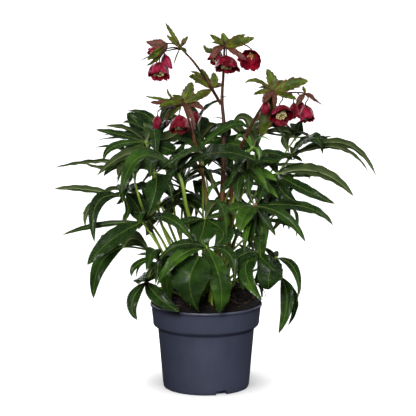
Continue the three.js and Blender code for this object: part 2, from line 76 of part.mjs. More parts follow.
// stem name: tubes as [name, points, start radius, end radius]
const STEMS = {
  stem_tall: [
    ["stem_tall",[[14.0,-8.0,164.7],[19.8,-6.1,228.6],[24.7,-3.5,288.7],[26.8,-1.7,316.9],[28.4,0.0,346.8],[29.7,1.7,382.2],[30.7,3.5,419.4],[30.9,5.0,450.8],[30.0,6.4,472.0],[28.4,7.5,487.4],[27.4,8.0,502.4],[27.9,7.3,519.2],[29.9,5.0,550.8],[31.6,5.0,600.4]],5.6,1.9],
    ["branch_up_left",[[25.7,8.0,495.5],[15.3,2.0,513.2],[5.7,-2.1,529.9],[-0.2,-4.0,539.3],[-7.4,-5.6,549.9],[-22.4,-8.0,570.2],[-27.8,-8.9,576.5],[-39.1,-10.2,588.1],[-43.6,-10.0,593.3],[-47.9,-9.5,600.9]],3.0,1.5],
    ["ped_flower_upper_left",[[-40.4,-10.2,589.4],[-48.4,-12.3,592.6],[-52.9,-14.0,593.4],[-64.6,-20.7,592.2],[-69.7,-24.0,590.4],[-73.4,-26.8,587.2],[-76.1,-29.2,583.2],[-78.0,-30.0,579.7],[-78.9,-27.9,577.0],[-78.9,-21.8,572.8],[-79.0,-21.7,571.2],[-79.1,-23.7,568.7]],1.35,1.0],
    ["ped_flower_upper_left_b",[[-40.4,-10.2,589.4],[-47.0,-9.7,595.9],[-51.0,-9.0,598.2],[-56.5,-7.7,599.5],[-62.6,-5.9,599.8],[-67.5,-4.0,599.6],[-70.5,-1.7,598.7],[-73.7,2.5,595.8],[-74.8,2.6,594.8],[-76.1,1.3,592.7]],1.35,1.0],
    ["ped_flower_upper_left_c",[[-40.4,-10.2,589.4],[-50.0,-4.0,590.5],[-64.6,4.0,587.6],[-67.5,4.6,587.0],[-70.8,4.2,585.6],[-71.0,4.7,581.1]],1.35,1.0],
    ["ped_flower_top_left",[[31.3,5.0,590.5],[27.3,2.2,591.8],[23.8,-0.0,591.5],[21.4,-1.0,589.9],[24.2,2.2,589.1],[23.3,1.5,587.4]],1.35,1.0],
    ["ped_flower_top",[[31.3,5.0,590.5],[33.2,-4.9,592.4],[34.0,-10.0,592.4],[34.4,-15.9,590.8],[34.6,-26.0,586.3],[34.7,-27.0,585.1],[34.6,-25.7,583.4],[34.6,-27.0,580.1]],1.35,1.0],
    ["ped_flower_top_right",[[31.3,5.0,590.5],[35.2,6.2,594.7],[39.1,8.0,596.3],[56.4,17.7,597.6],[64.8,22.0,597.1],[70.5,24.3,595.0],[78.3,26.0,588.9],[80.4,26.0,586.2],[81.7,24.4,581.5],[79.7,21.3,580.1]],1.35,1.0],
    ["ped_bud_top_left",[[-43.8,-10.0,593.4],[-40.2,-10.0,597.5],[-38.7,-10.0,598.0],[-38.5,-10.0,599.3]],1.0,0.8],
  ],
  stem_left: [
    ["stem_left",[[0.0,12.0,168.8],[1.2,14.6,228.4],[1.5,15.0,256.4],[1.7,13.9,282.0],[1.7,12.0,305.7],[0.7,10.0,327.9],[-1.9,8.3,349.1],[-5.4,6.7,368.9],[-12.0,3.3,400.9],[-18.3,0.0,425.3],[-27.7,-4.0,462.0],[-37.4,-8.0,491.6],[-38.6,-8.3,495.3],[-40.1,-8.0,503.6]],4.6,1.9],
    ["ped_bud_left",[[-37.8,-8.1,492.8],[-46.5,-7.9,495.9],[-51.6,-8.0,496.7],[-65.8,-9.4,495.3],[-72.2,-10.0,493.4],[-76.8,-10.2,490.2],[-82.5,-10.0,483.1],[-83.4,-9.5,481.7],[-83.0,-8.4,480.6],[-83.3,-8.7,477.0]],1.0,0.8],
    ["ped_flower_left",[[-37.8,-8.1,492.8],[-40.8,-11.3,495.3],[-42.1,-14.0,495.4],[-44.4,-30.0,488.1],[-45.0,-30.2,486.5],[-45.8,-26.7,483.8],[-45.7,-28.5,479.6]],1.35,1.0],
    ["ped_bud_left_b",[[-37.8,-8.1,492.8],[-35.0,-4.3,495.7],[-32.8,-2.0,496.3],[-24.3,5.0,493.8],[-19.7,9.8,490.7],[-19.8,11.5,487.7],[-19.4,11.0,483.2]],1.0,0.8],
  ],
  stem_right: [
    ["stem_right",[[28.0,8.0,168.0],[36.6,11.1,227.3],[40.1,12.0,256.9],[42.1,12.1,287.5],[43.3,11.5,318.0],[45.1,10.0,345.5],[47.7,7.2,368.9],[51.0,3.5,389.4],[55.2,0.0,407.9],[60.7,-2.9,424.3],[80.0,-10.2,464.6],[92.3,-14.0,486.9],[104.4,-17.0,506.7],[109.2,-18.0,513.7],[112.0,-18.3,516.8],[115.1,-18.0,517.9],[119.4,-18.0,520.5]],4.8,1.9],
    ["ped_bud_right",[[111.2,-18.3,516.1],[110.7,-22.0,514.8],[102.6,-33.0,510.5],[101.8,-33.4,509.4],[102.0,-31.5,507.4],[101.7,-32.2,503.2]],1.0,0.8],
    ["ped_flower_right",[[124.8,-22.3,514.2],[129.3,-35.6,511.3],[130.3,-40.0,509.2],[128.9,-40.4,505.9],[124.3,-37.4,498.7],[124.0,-38.0,497.0],[124.9,-40.5,495.3]],1.35,1.0],
    ["ped_flower_right_b",[[143.8,-20.8,517.1],[148.9,-13.0,510.0],[150.9,-8.3,505.4],[149.8,-7.2,503.0],[150.3,-7.9,498.5]],1.35,1.0],
    ["ped_bud_right_b",[[155.5,-22.9,517.5],[161.4,-30.0,510.2],[161.7,-30.1,508.9],[160.9,-28.6,507.0],[161.1,-29.1,502.6]],1.0,0.8],
    ["ped_flower_right_c",[[167.1,-29.8,516.4],[171.7,-40.2,511.9],[172.8,-44.0,509.5],[172.0,-45.3,506.8],[168.6,-45.0,501.7],[168.3,-46.6,497.4]],1.35,1.0],
    ["arm",[[109.7,-18.0,514.2],[115.9,-21.0,513.2],[119.2,-22.0,513.1],[122.9,-22.3,513.7],[131.1,-22.0,515.7],[141.2,-20.9,516.9],[146.5,-21.0,517.3],[152.4,-22.1,517.5],[158.4,-23.9,517.5],[163.3,-26.0,517.3],[166.2,-28.4,516.8],[169.6,-34.0,515.3]],1.7,1.2],
  ],
};
// name, point on the stem, stem direction, stem radius there, bracts as above
const WHORLS = [
  ["bracts_top",[31.5,5.0,596.0],[0.024,0.0,1.0],1.94,[[[19.5,0.0,605.3],[6.7,-4.0,615.1],10.5,-76.0,11.0,3],[[21.2,-8.0,600.0],[10.1,-16.0,601.9],9.0,-30.0,11.0,3],[[31.1,9.0,606.2],[28.2,12.0,618.1],14.3,-20.0,11.0,3],[[52.8,-6.0,601.1],[82.4,-14.0,609.8],19.1,68.0,11.0,3],[[49.7,12.0,607.3],[67.8,16.0,614.6],13.0,35.0,11.0,3],[[7.6,14.0,586.1],[-4.0,17.6,597.2],10.5,-60.0,11.0,3],[[51.9,-12.0,584.0],[68.5,-16.0,572.6],11.5,38.0,11.0,4],[[18.9,-14.0,589.2],[10.9,-20.0,575.0],14.3,-26.0,11.0,4],[[22.3,24.0,603.2],[13.7,40.0,600.9],13.0,-20.0,11.0,3],[[41.3,28.0,603.1],[52.1,48.0,602.4],14.0,20.0,10.0,3]]],
  ["bracts_top_left",[-43.8,-10.0,593.5],[-0.565,0.04,0.824],1.6,[[[-57.2,-4.0,614.6],[-69.1,-7.0,634.7],10.0,-20.0,11.0,3],[[-56.3,-14.0,604.4],[-67.2,-1.0,614.2],8.0,-20.0,11.0,3],[[-51.0,-11.0,577.2],[-55.6,-12.0,563.6],4.5,-20.0,11.0,3],[[-37.9,6.0,602.1],[-31.2,20.0,611.9],8.0,10.0,14.0,3],[[-37.5,-24.0,589.6],[-33.9,-34.0,584.9],8.0,20.0,14.0,3]]],
  ["bracts_upper_left",[-66.8,-4.6,599.9],[-0.938,0.345,-0.024],1.12,[[[-79.5,-8.0,599.8],[-91.5,-4.0,606.0],16.2,-66.0,11.0,4],[[-83.6,-12.0,598.2],[-102.1,-10.0,603.9],15.3,-60.0,11.0,4],[[-89.5,-26.0,583.7],[-113.3,-20.0,571.1],8.5,-20.0,11.0,3],[[-83.3,-24.0,585.3],[-98.8,-40.0,573.4],13.4,-34.0,11.0,3],[[-81.7,-22.0,576.7],[-99.5,-42.8,564.2],9.0,-20.0,11.0,3],[[-77.5,-18.0,589.3],[-89.2,-26.0,577.0],17.2,-26.0,11.0,4]]],
  ["bracts_fork",[10.2,-0.3,522.1],[-0.49,-0.199,0.849],2.63,[[[-9.7,14.0,536.9],[-29.8,7.0,543.0],16.2,-70.0,11.0,3],[[-7.9,12.0,543.0],[-27.4,28.0,550.6],10.0,-30.0,11.0,3],[[-5.3,-8.0,533.6],[-19.8,-14.0,533.9],10.5,-66.0,11.0,3],[[14.0,6.0,537.0],[11.6,10.0,550.0],14.3,28.0,11.0,3],[[-10.4,-14.0,511.7],[-35.2,-20.0,499.3],16.0,-40.0,11.0,3],[[-1.1,20.0,544.0],[-9.2,30.0,555.0],9.0,-20.0,11.0,3],[[22.3,20.0,527.6],[31.2,40.0,528.1],12.0,20.0,10.0,3]]],
  ["bracts_left",[-39.1,-8.0,497.5],[-0.197,0.066,0.978],1.95,[[[-30.7,-3.0,515.2],[-24.6,2.0,533.8],21.0,38.0,11.0,3],[[-60.7,-2.0,509.2],[-66.7,2.0,523.0],9.5,-10.0,11.0,3],[[-75.6,-8.0,504.4],[-104.0,-6.0,509.8],10.0,-35.0,11.0,3],[[-61.5,-26.0,499.8],[-79.9,-36.0,492.8],15.0,-38.0,11.0,3],[[-74.5,-18.0,499.1],[-94.8,-24.0,500.4],13.0,-30.0,11.0,4],[[-19.0,-14.0,496.3],[-4.4,-18.0,487.2],16.0,38.0,11.0,4],[[-65.9,12.0,490.0],[-87.0,20.0,481.6],9.0,-25.0,11.0,3],[[-63.9,-2.0,482.5],[-67.4,-2.0,456.6],10.0,-10.0,11.0,4],[[-73.6,6.0,481.9],[-78.0,8.0,460.9],7.0,-10.0,11.0,4],[[-26.6,-22.0,480.7],[-18.9,-26.0,453.6],10.0,15.0,11.0,4],[[-51.6,-12.0,485.9],[-61.0,-16.0,471.6],12.0,-20.0,11.0,3],[[-24.5,8.4,506.1],[-9.8,42.9,503.7],13.0,22.6,10.0,3],[[-48.7,20.0,506.8],[-59.5,36.0,509.2],12.0,-20.0,10.0,3]]],
  ["bracts_right",[115.2,-18.0,518.0],[0.902,0.046,0.428],1.94,[[[113.0,-13.0,536.4],[103.5,-8.0,556.6],20.0,-44.0,11.0,3],[[87.2,-33.0,537.9],[65.8,-29.0,533.9],8.6,-62.0,11.0,3],[[97.2,-18.0,518.8],[81.3,-8.0,513.0],9.5,-62.0,11.0,3],[[145.4,-24.0,531.6],[173.6,-22.0,536.9],22.9,58.0,11.0,3],[[135.9,-46.0,513.7],[151.9,-62.0,508.3],10.5,46.0,11.0,3],[[104.1,-38.0,512.5],[96.0,-52.0,500.8],14.0,-25.0,11.0,4],[[116.5,-46.0,507.1],[114.9,-66.0,492.6],9.0,20.0,11.0,4],[[105.6,12.8,475.3],[96.3,-8.6,441.2],29.0,-2.4,8.0,5],[[125.2,0.0,530.5],[132.9,16.0,536.4],14.0,20.0,10.0,3],[[101.4,6.0,525.0],[90.0,24.0,522.1],13.0,-20.0,10.0,3]]],
  ["bracts_arm",[168.1,-31.6,515.9],[0.513,-0.829,-0.222],1.22,[[[180.8,-32.0,507.7],[197.2,-30.0,497.3],8.0,20.0,11.0,4],[[159.8,-42.0,508.5],[152.6,-52.0,496.6],11.0,-20.0,11.0,4],[[176.3,-48.0,514.0],[182.3,-60.0,504.8],9.0,20.0,11.0,4],[[179.1,-20.0,511.3],[188.5,-8.0,505.3],8.0,20.0,12.0,3],[[166.6,-26.0,522.7],[165.3,-20.0,528.3],6.0,-10.0,12.0,3]]],
];
// name, kind, stalk end, direction the mouth faces, diameter, length, flare, open centre, turn
const FLOWERS = [
  ["flower_upper_left","open",[-79.1,-23.9,568.3],[-0.05,-0.422,-0.905],38,26.5,0.1,1,10],
  ["flower_upper_left_b","open",[-76.4,1.2,592.5],[-0.733,-0.254,-0.631],25,23,0.0,0,40],
  ["flower_upper_left_c","open",[-71.0,4.7,580.7],[0.151,0.1,-0.983],19,26,-0.05,0,0],
  ["flower_top_left","open",[23.1,1.4,587.1],[-0.451,-0.35,-0.821],23,23.0,0.0,0,20],
  ["flower_top","open",[34.6,-27.1,579.7],[0.0,-0.361,-0.933],44,24.5,0.22,1,36],
  ["flower_top_right","open",[79.1,20.5,579.8],[-0.2,-0.899,-0.39],42,23.5,0.3,1,8],
  ["bud_left","bud",[-83.3,-8.8,476.6],[-0.079,-0.099,-0.992],16,25,0,0,0],
  ["flower_left","open",[-45.7,-28.7,479.2],[0.03,-0.382,-0.924],34,28,0.08,0,30],
  ["bud_left_b","bud",[-19.3,11.0,482.8],[0.099,-0.099,-0.99],14.5,20,0,0,0],
  ["bud_right","bud",[101.7,-32.2,502.8],[-0.059,-0.148,-0.987],16,24,0,0,0],
  ["flower_right","open",[124.9,-40.7,495.0],[0.12,-0.661,-0.741],43,24.5,0.25,1,14],
  ["flower_right_b","open",[150.3,-8.0,498.1],[0.1,-0.151,-0.983],22,27,0.0,0,0],
  ["bud_right_b","bud",[161.1,-29.1,502.2],[0.05,-0.099,-0.994],13,18,0,0,0],
  ["flower_right_c","open",[168.3,-46.8,497.0],[0.12,-0.35,-0.929],24,26.5,0.02,0,50],
  ["bud_top_left","bud",[-38.5,-10.0,599.7],[0.148,0.0,0.989],9,11,0,0,0],
];

// ---------------------------------------------------------------- helpers
const wasm = await Module();
wasm.setup();
const V = (a) => new THREE.Vector3(a[0], a[1], a[2]);
const rad = Math.PI / 180;
const smooth = (t) => { t = Math.min(1, Math.max(0, t)); return t * t * (3 - 2 * t); };

function solid(geometry) {
  const g = geometry.clone();
  for (const n of Object.keys(g.attributes)) if (n !== 'position') g.deleteAttribute(n);
  const m = mergeVertices(g, 1e-4);
  return new wasm.Manifold(new wasm.Mesh({
    numProp: 3,
    vertProperties: new Float32Array(m.attributes.position.array),
    triVerts: new Uint32Array(m.index.array),
  }));
}
function geometryOf(man) {
  const [pos, idx] = tidy(man);
  const g = new THREE.BufferGeometry();
  g.setAttribute('position', new THREE.BufferAttribute(new Float32Array(pos), 3));
  g.setIndex(new THREE.BufferAttribute(new Uint32Array(idx), 1));
  return g;
}
// draw together corners that lie closer than CLEAN, and turn the long side of flat slivers,
// so that no needle-like faces are left where blades and stalks run into each other
function tidy(man) {
  const mesh = man.getMesh(), P = [];
  for (let i = 0; i < mesh.numVert; i++) P.push(new THREE.Vector3(...mesh.vertProperties.slice(i * mesh.numProp, i * mesh.numProp + 3)));
  let T = [];
  for (let i = 0; i < mesh.triVerts.length; i += 3) T.push([mesh.triVerts[i], mesh.triVerts[i + 1], mesh.triVerts[i + 2]]);
  const cross = (a, b, c) => P[b].clone().sub(P[a]).cross(P[c].clone().sub(P[a]));
  for (let pass = 0; pass < 60; pass++) {
    const at = new Map();
    T.forEach((t, i) => t.forEach((v) => { if (!at.has(v)) at.set(v, []); at.get(v).push(i); }));
    const around = (v) => new Set(at.get(v).flatMap((i) => T[i]).filter((w) => w !== v));
    const touched = new Set(), dead = new Set();
    let n = 0;
    const edges = [];
    for (const t of T) for (let k = 0; k < 3; k++) { const a = t[k], b = t[(k + 1) % 3]; if (a < b && P[a].distanceTo(P[b]) < CLEAN) edges.push([P[a].distanceTo(P[b]), a, b]); }
    edges.sort((x, y) => x[0] - y[0]);
    for (const [len, a, b] of edges) {
      if (touched.has(a) || touched.has(b)) continue;
      const na = around(a), nb = around(b), both = [...na].filter((v) => nb.has(v));
      if (both.length !== 2) continue;
      for (const [keep, drop] of [[a, b], [b, a]]) {
        const bad = at.get(drop).some((i) => {
          if (T[i].includes(keep)) return false;
          const [x, y, z] = T[i], u = T[i].map((v) => (v === drop ? keep : v)), n0 = cross(x, y, z), n1 = cross(...u);
          return len > 0.002 && n0.length() > 0.02 && n0.dot(n1) <= 0.5 * n0.length() * n1.length();
        });
        if (bad) continue;
        for (const i of at.get(drop)) { if (T[i].includes(keep)) dead.add(i); else T[i] = T[i].map((v) => (v === drop ? keep : v)); }
        for (const v of [...na, ...nb]) touched.add(v);
        n++;
        break;
      }
    }
    T = T.filter((_, i) => !dead.has(i));
    if (n) continue;
    // slivers with no short side
    const side = new Map();
    T.forEach((t, i) => { for (let k = 0; k < 3; k++) side.set(t[k] + '_' + t[(k + 1) % 3], i); });
    const used = new Set();
    T.forEach((t, i) => {
      if (used.has(i)) return;
      let k = 0, L = 0;
      for (let j = 0; j < 3; j++) { const d = P[t[j]].distanceTo(P[t[(j + 1) % 3]]); if (d > L) { L = d; k = j; } }
      const a = t[k], b = t[(k + 1) % 3], c = t[(k + 2) % 3];
      if (cross(a, b, c).length() / L > SLIVER) return;
      const j = side.get(b + '_' + a);
      if (j === undefined || used.has(j)) return;
      const d = T[j].find((v) => v !== a && v !== b);
      if (side.has(c + '_' + d) || side.has(d + '_' + c)) return;
      const n0 = cross(b, a, d), n1 = cross(a, d, c), n2 = cross(d, b, c);
      if (n0.dot(n1) <= 0 || n0.dot(n2) <= 0) return;
      if (Math.min(n1.length(), n2.length()) <= cross(a, b, c).length()) return;
      T[i] = [a, d, c]; T[j] = [d, b, c];
      for (const q of [[a, b], [b, c], [c, a], [b, a], [a, d], [d, b]]) { const h = side.get(q[0] + '_' + q[1]); if (h !== undefined) used.add(h); }
      side.clear();
      T.forEach((s, m) => { for (let e = 0; e < 3; e++) side.set(s[e] + '_' + s[(e + 1) % 3], m); });
      used.add(i); used.add(j);
      n++;
    });
    if (!n) break;
  }
  const ids = new Map(), pos = [], idx = [];
  for (const t of T) for (const v of t) { if (!ids.has(v)) { ids.set(v, pos.length / 3); pos.push(P[v].x, P[v].y, P[v].z); } idx.push(ids.get(v)); }
  return [pos, idx];
}
const unite = (list) => list.slice(1).reduce((a, b) => a.add(b), list[0]).simplify(CLEAN);

// closed loft through rings of equal count; a ring of one point closes an end
function loft(rings) {
  const pos = [], idx = [], start = [];
  for (const r of rings) { start.push(pos.length / 3); for (const p of r) pos.push(p.x, p.y, p.z); }
  const tri = (a, b, c) => idx.push(a, b, c);
  const fan = (s, n, flip) => { for (let i = 1; i < n - 1; i++) flip ? tri(s, s + i + 1, s + i) : tri(s, s + i, s + i + 1); };
  for (let j = 0; j < rings.length - 1; j++) {
    const a = rings[j], b = rings[j + 1], sa = start[j], sb = start[j + 1];
    if (a.length === 1) { for (let i = 0; i < b.length; i++) tri(sa, sb + (i + 1) % b.length, sb + i); continue; }
    if (b.length === 1) { for (let i = 0; i < a.length; i++) tri(sa + i, sa + (i + 1) % a.length, sb); continue; }
    for (let i = 0; i < a.length; i++) {
      const k = (i + 1) % a.length;
      tri(sa + i, sa + k, sb + k); tri(sa + i, sb + k, sb + i);
    }
  }
  if (rings[0].length > 1) fan(start[0], rings[0].length, true);
  const last = rings.length - 1;
  if (rings[last].length > 1) fan(start[last], rings[last].length, false);
  const g = new THREE.BufferGeometry();
  g.setAttribute('position', new THREE.BufferAttribute(new Float32Array(pos), 3));
  g.setIndex(idx);
  let s = solid(g);
  if (s.volume() < 0) { for (let i = 0; i < idx.length; i += 3) { const t = idx[i + 1]; idx[i + 1] = idx[i + 2]; idx[i + 2] = t; } g.setIndex(idx); s = solid(g); }
  return s;
}

// tube of tapering radius along points
function tube(pts, r0, r1, sides) {
  const P = pts.map(V), n = P.length, T = [];
  for (let i = 0; i < n; i++) T.push(P[Math.min(i + 1, n - 1)].clone().sub(P[Math.max(i - 1, 0)]).normalize());
  let N = new THREE.Vector3(1, 0, 0);
  N.sub(T[0].clone().multiplyScalar(N.dot(T[0]))).normalize();
  const len = [0];
  for (let i = 1; i < n; i++) len.push(len[i - 1] + P[i].distanceTo(P[i - 1]));
  const rings = [];
  for (let i = 0; i < n; i++) {
    N = N.clone().sub(T[i].clone().multiplyScalar(N.dot(T[i]))).normalize();
    const B = T[i].clone().cross(N), r = r0 + (r1 - r0) * len[i] / len[n - 1], ring = [];
    for (let k = 0; k < sides; k++) {
      const a = 2 * Math.PI * k / sides;
      ring.push(P[i].clone().addScaledVector(N, r * Math.cos(a)).addScaledVector(B, r * Math.sin(a)));
    }
    rings.push(ring);
  }
  return loft(rings);
}

// spine of a leaflet: a quadratic curve from H through M to T
function spine(H, M, T, t) {
  const c = M.clone().multiplyScalar(2).addScaledVector(H, -0.5).addScaledVector(T, -0.5);
  return H.clone().multiplyScalar((1 - t) * (1 - t)).addScaledVector(c, 2 * t * (1 - t)).addScaledVector(T, t * t);
}
// half width along a leaflet, 0..1; kind 1 and 5 are ovate, kind 6 is ovate on a short stalk, the rest lance shaped
const stalked = (t) => (t < 0.42
  ? Math.sin(Math.PI / 2 * Math.max(t - 0.14, 0) / 0.28) ** 0.45
  : Math.cos(Math.PI / 2 * (t - 0.42) / 0.58) ** 1.15 * (1 - 0.25 * (t - 0.42) / 0.58));
const profile = (t, kind) => (kind === 6 ? stalked(t) : Math.sin(Math.PI * Math.pow(t, 0.85)) ** (kind === 1 || kind === 5 ? 0.78 : 0.9));

function blade(H, M, T, width, roll, fold, kind, from) {
  const N = 24, P = [], tan = [], nor = [];
  for (let i = 0; i <= N; i++) P.push(spine(H, M, T, i / N));
  for (let i = 0; i <= N; i++) tan.push(P[Math.min(i + 1, N)].clone().sub(P[Math.max(i - 1, 0)]).normalize());
  let k = 0, best = 9;
  for (let i = 0; i <= N; i++) { const v = Math.abs(tan[i].z) + 1e-3 * i; if (v < best) { best = v; k = i; } }
  nor[k] = new THREE.Vector3(0, 0, 1).addScaledVector(tan[k], -tan[k].z).normalize();
  for (let i = k + 1; i <= N; i++) nor[i] = nor[i - 1].clone().addScaledVector(tan[i], -nor[i - 1].dot(tan[i])).normalize();
  for (let i = k - 1; i >= 0; i--) nor[i] = nor[i + 1].clone().addScaledVector(tan[i], -nor[i + 1].dot(tan[i])).normalize();
  const cr = Math.cos(roll * rad), sr = Math.sin(roll * rad), cf = Math.cos(fold * rad), sf = Math.sin(fold * rad);
  const rings = [];
  const station = (t, hw, th) => {
    const f = t * N, i = Math.min(N - 1, Math.floor(f)), q = f - i;
    const p = spine(H, M, T, t), tg = tan[i].clone().lerp(tan[i + 1], q).normalize();
    const n0 = nor[i].clone().lerp(nor[i + 1], q), b0 = tg.clone().cross(n0).normalize(), n1 = b0.clone().cross(tg);
    const n = n1.clone().multiplyScalar(cr).addScaledVector(b0, sr).normalize(), b = tg.clone().cross(n);
    return [
      p.clone().addScaledVector(b, hw * cf).addScaledVector(n, hw * sf),
      p.clone().addScaledVector(n, th / 2),
      p.clone().addScaledVector(b, -hw * cf).addScaledVector(n, hw * sf),
      p.clone().addScaledVector(n, -th / 2),
    ];
  };
  let walked = 0, t0 = 0;
  for (let i = 1; i <= N; i++) {
    const step = P[i].distanceTo(P[i - 1]);
    if (walked + step >= from) { t0 = (i - 1 + (from - walked) / step) / N; break; }
    walked += step;
  }
  rings.push(station(t0, 1.2, 1.4));
  const stations = H.distanceTo(M) + M.distanceTo(T) < SHORT ? SHORT_STATIONS : LEAF_STATIONS;
  for (const t of stations) rings.push(station(t, Math.max(0.6, 0.5 * width * profile(t, kind)), LEAF_T));
  rings.push([T.clone()]);
  return loft(rings);
}

// ---------------------------------------------------------------- compost
// inside profile of the pot, bottom to top
const INNER = [[72.4, POT_FLOOR_Z], [POT_BODY_LOW_R - POT_WALL, 8], [POT_BODY_TOP_R - POT_WALL, POT_BODY_TOP_Z],
  [POT_BAND_R - POT_WALL, POT_BAND_Z + 0.6], [POT_RIM_R - POT_WALL, POT_H - POT_LIP_H], [POT_LIP_R - 3, POT_H]];
function soilLevel(x, y) {
  const r = Math.hypot(x, y);
  const dome = Math.sqrt(Math.max(0, 1 - (Math.max(r - 50, 0) / 45.5) ** 2));
  return SOIL_EDGE_Z + SOIL_MOUND * dome * (0.5 + 0.5 * smooth((y + 50) / 90));
}
const SOIL_RINGS = [34, 62, 78, 87, 93.4], SOIL_SIDES = 20;
function soilRing(r, z) {
  const ring = [];
  for (let k = 0; k < SOIL_SIDES; k++) {
    const a = 2 * Math.PI * (k + 0.5) / SOIL_SIDES, x = r * Math.cos(a), y = r * Math.sin(a);
    ring.push(new THREE.Vector3(x, y, z === null ? soilLevel(x, y) : z));
  }
  return ring;
}
const soilTopRings = SOIL_RINGS.map((r) => soilRing(r, null));
// height of the faceted compost top above a point
function soilTop(x, y) {
  const best = [-1e9];
  const test = (a, b, c) => {
    const d = (b.x - a.x) * (c.y - a.y) - (c.x - a.x) * (b.y - a.y);
    const u = ((x - a.x) * (c.y - a.y) - (c.x - a.x) * (y - a.y)) / d, v = ((b.x - a.x) * (y - a.y) - (x - a.x) * (b.y - a.y)) / d;
    if (u > -1e-6 && v > -1e-6 && u + v < 1 + 1e-6) best[0] = Math.max(best[0], a.z + u * (b.z - a.z) + v * (c.z - a.z));
  };
  const mid = new THREE.Vector3(0, 0, soilLevel(0, 0));
  for (let k = 0; k < SOIL_SIDES; k++) {
    const q = (k + 1) % SOIL_SIDES;
    test(mid, soilTopRings[0][k], soilTopRings[0][q]);
    for (let j = 0; j < soilTopRings.length - 1; j++) {
      test(soilTopRings[j][k], soilTopRings[j + 1][k], soilTopRings[j + 1][q]);
      test(soilTopRings[j][k], soilTopRings[j + 1][q], soilTopRings[j][q]);
      test(soilTopRings[j][k], soilTopRings[j + 1][k], soilTopRings[j][q]);
      test(soilTopRings[j][q], soilTopRings[j + 1][k], soilTopRings[j + 1][q]);
    }
  }
  return best[0];
}
// a stalk's first point, raised so that its end stands just clear of the compost
function seat(p, next, r) {
  let z = soilTop(p[0], p[1]);
  for (let k = 0; k < 12; k++) z = Math.max(z, soilTop(p[0] + r * Math.cos(k * Math.PI / 6), p[1] + r * Math.sin(k * Math.PI / 6)));
  const t = V(next).sub(V([p[0], p[1], z])).normalize();
  return [p[0], p[1], z + 0.4 + r * Math.sqrt(1 - t.z * t.z)];
}
function makeSoil() {
  const rings = [[new THREE.Vector3(0, 0, soilLevel(0, 0))], ...soilTopRings];
  const wall = INNER.slice(0, 4).reverse();
  for (const [r, z] of wall) rings.push(soilRing(r - SOIL_GAP, Math.max(z, POT_FLOOR_Z + 0.4)));
  rings.push([new THREE.Vector3(0, 0, POT_FLOOR_Z + 0.4)]);
  return loft(rings);
}

// ---------------------------------------------------------------- pot
function makePot() {
  const pts = [[0, 0], [POT_PAD_R, 0], [POT_PAD_R + 2, POT_RECESS], [62, POT_RECESS], [64, 0], [POT_FOOT_R, 0],
    [POT_BODY_LOW_R, 8], [POT_BODY_TOP_R, POT_BODY_TOP_Z], [POT_BAND_R, POT_BAND_Z], [POT_RIM_R, POT_H - POT_LIP_H], [POT_LIP_R, POT_H - POT_LIP_H + 1], [POT_LIP_R, POT_H - 0.8], [POT_LIP_R - 0.8, POT_H],
    ...INNER.slice().reverse(), [0, POT_FLOOR_Z]];
  const g = new THREE.LatheGeometry(pts.map((p) => new THREE.Vector2(p[0], p[1])), POT_SIDES);
  g.rotateX(Math.PI / 2);
  g.rotateZ(Math.PI / POT_SIDES);
  let s = solid(g);
  if (s.volume() < 0) { g.scale(1, 1, -1); }
  s = solid(g);
  for (let k = 0; k < SLOT_COUNT; k++) {
    const b = new THREE.BoxGeometry(17, SLOT_W, SLOT_H * 2);
    b.translate(POT_FOOT_R - 1.0, 0, 0);
    b.rotateZ((SLOT_FIRST_DEG + k * 360 / SLOT_COUNT) * rad);
    s = s.subtract(solid(b));
  }
  return s;
}

// ---------------------------------------------------------------- flowers
function basis(a) {
  const A = V(a).normalize(), ref = Math.abs(A.y) < 0.9 ? new THREE.Vector3(0, 1, 0) : new THREE.Vector3(1, 0, 0);
  const X = ref.clone().cross(A).normalize();
  return [X, A.clone().cross(X), A];
}
// radius of a bell of diameter d at u from stalk (0) to mouth (1)
function bellR(u, d, flare) {
  const R = d / 2 / (1 + Math.max(flare, 0));
  return (2.6 + (R - 2.6) * Math.sin(Math.min(1, u / 0.62) * Math.PI / 2) ** 0.75) * (1 + flare * Math.min(1, Math.max(0, (u - 0.55) / 0.45)) ** 1.3);
}
function bell(top, axis, d, l, flare, turn) {
  const [X, Y, A] = basis(axis), O = V(top), n = 15, rings = [[O.clone()]];
  const ring = (u, inset, drop) => {
    const out = [];
    for (let k = 0; k < n; k++) {
      const th = 2 * Math.PI * k / n + turn * rad;
      const lobe = 1 - 0.11 * smooth(u) * (1 - Math.cos(5 * (th - turn * rad))) / 2;
      const r = Math.max(0.5, bellR(u, d, flare) - inset);
      out.push(O.clone().addScaledVector(A, u * l * lobe + drop).addScaledVector(X, r * Math.cos(th)).addScaledVector(Y, r * Math.sin(th)));
    }
    return out;
  };
  rings.push(ring(0.0, 0.2, 0), ring(0.2, 0, 0), ring(0.55, 0, 0), ring(1, 0, 0));
  rings.push(ring(0.985, 0.8, 0), ring(0.55, SEPAL_T, 0), ring(0.2, SEPAL_T, 0.4));
  rings.push([O.clone().addScaledVector(A, 2.0)]);
  return loft(rings);
}
function egg(top, axis, d, l, sink = 0) {
  const [X, Y, A] = basis(axis), O = V(top).addScaledVector(V(axis).normalize(), -sink), rings = [[O.clone()]];
  for (const u of [0.08, 0.3, 0.58, 0.84]) {
    const r = d / 2 * Math.sin(Math.PI * Math.pow(u, 0.8)) ** 0.65, ring = [];
    for (let k = 0; k < 8; k++) {
      const th = 2 * Math.PI * (k + 0.5) / 8;
      ring.push(O.clone().addScaledVector(A, u * l).addScaledVector(X, r * Math.cos(th)).addScaledVector(Y, r * Math.sin(th)));
    }
    rings.push(ring);
  }
  rings.push([O.clone().addScaledVector(A, l)]);
  return loft(rings);
}
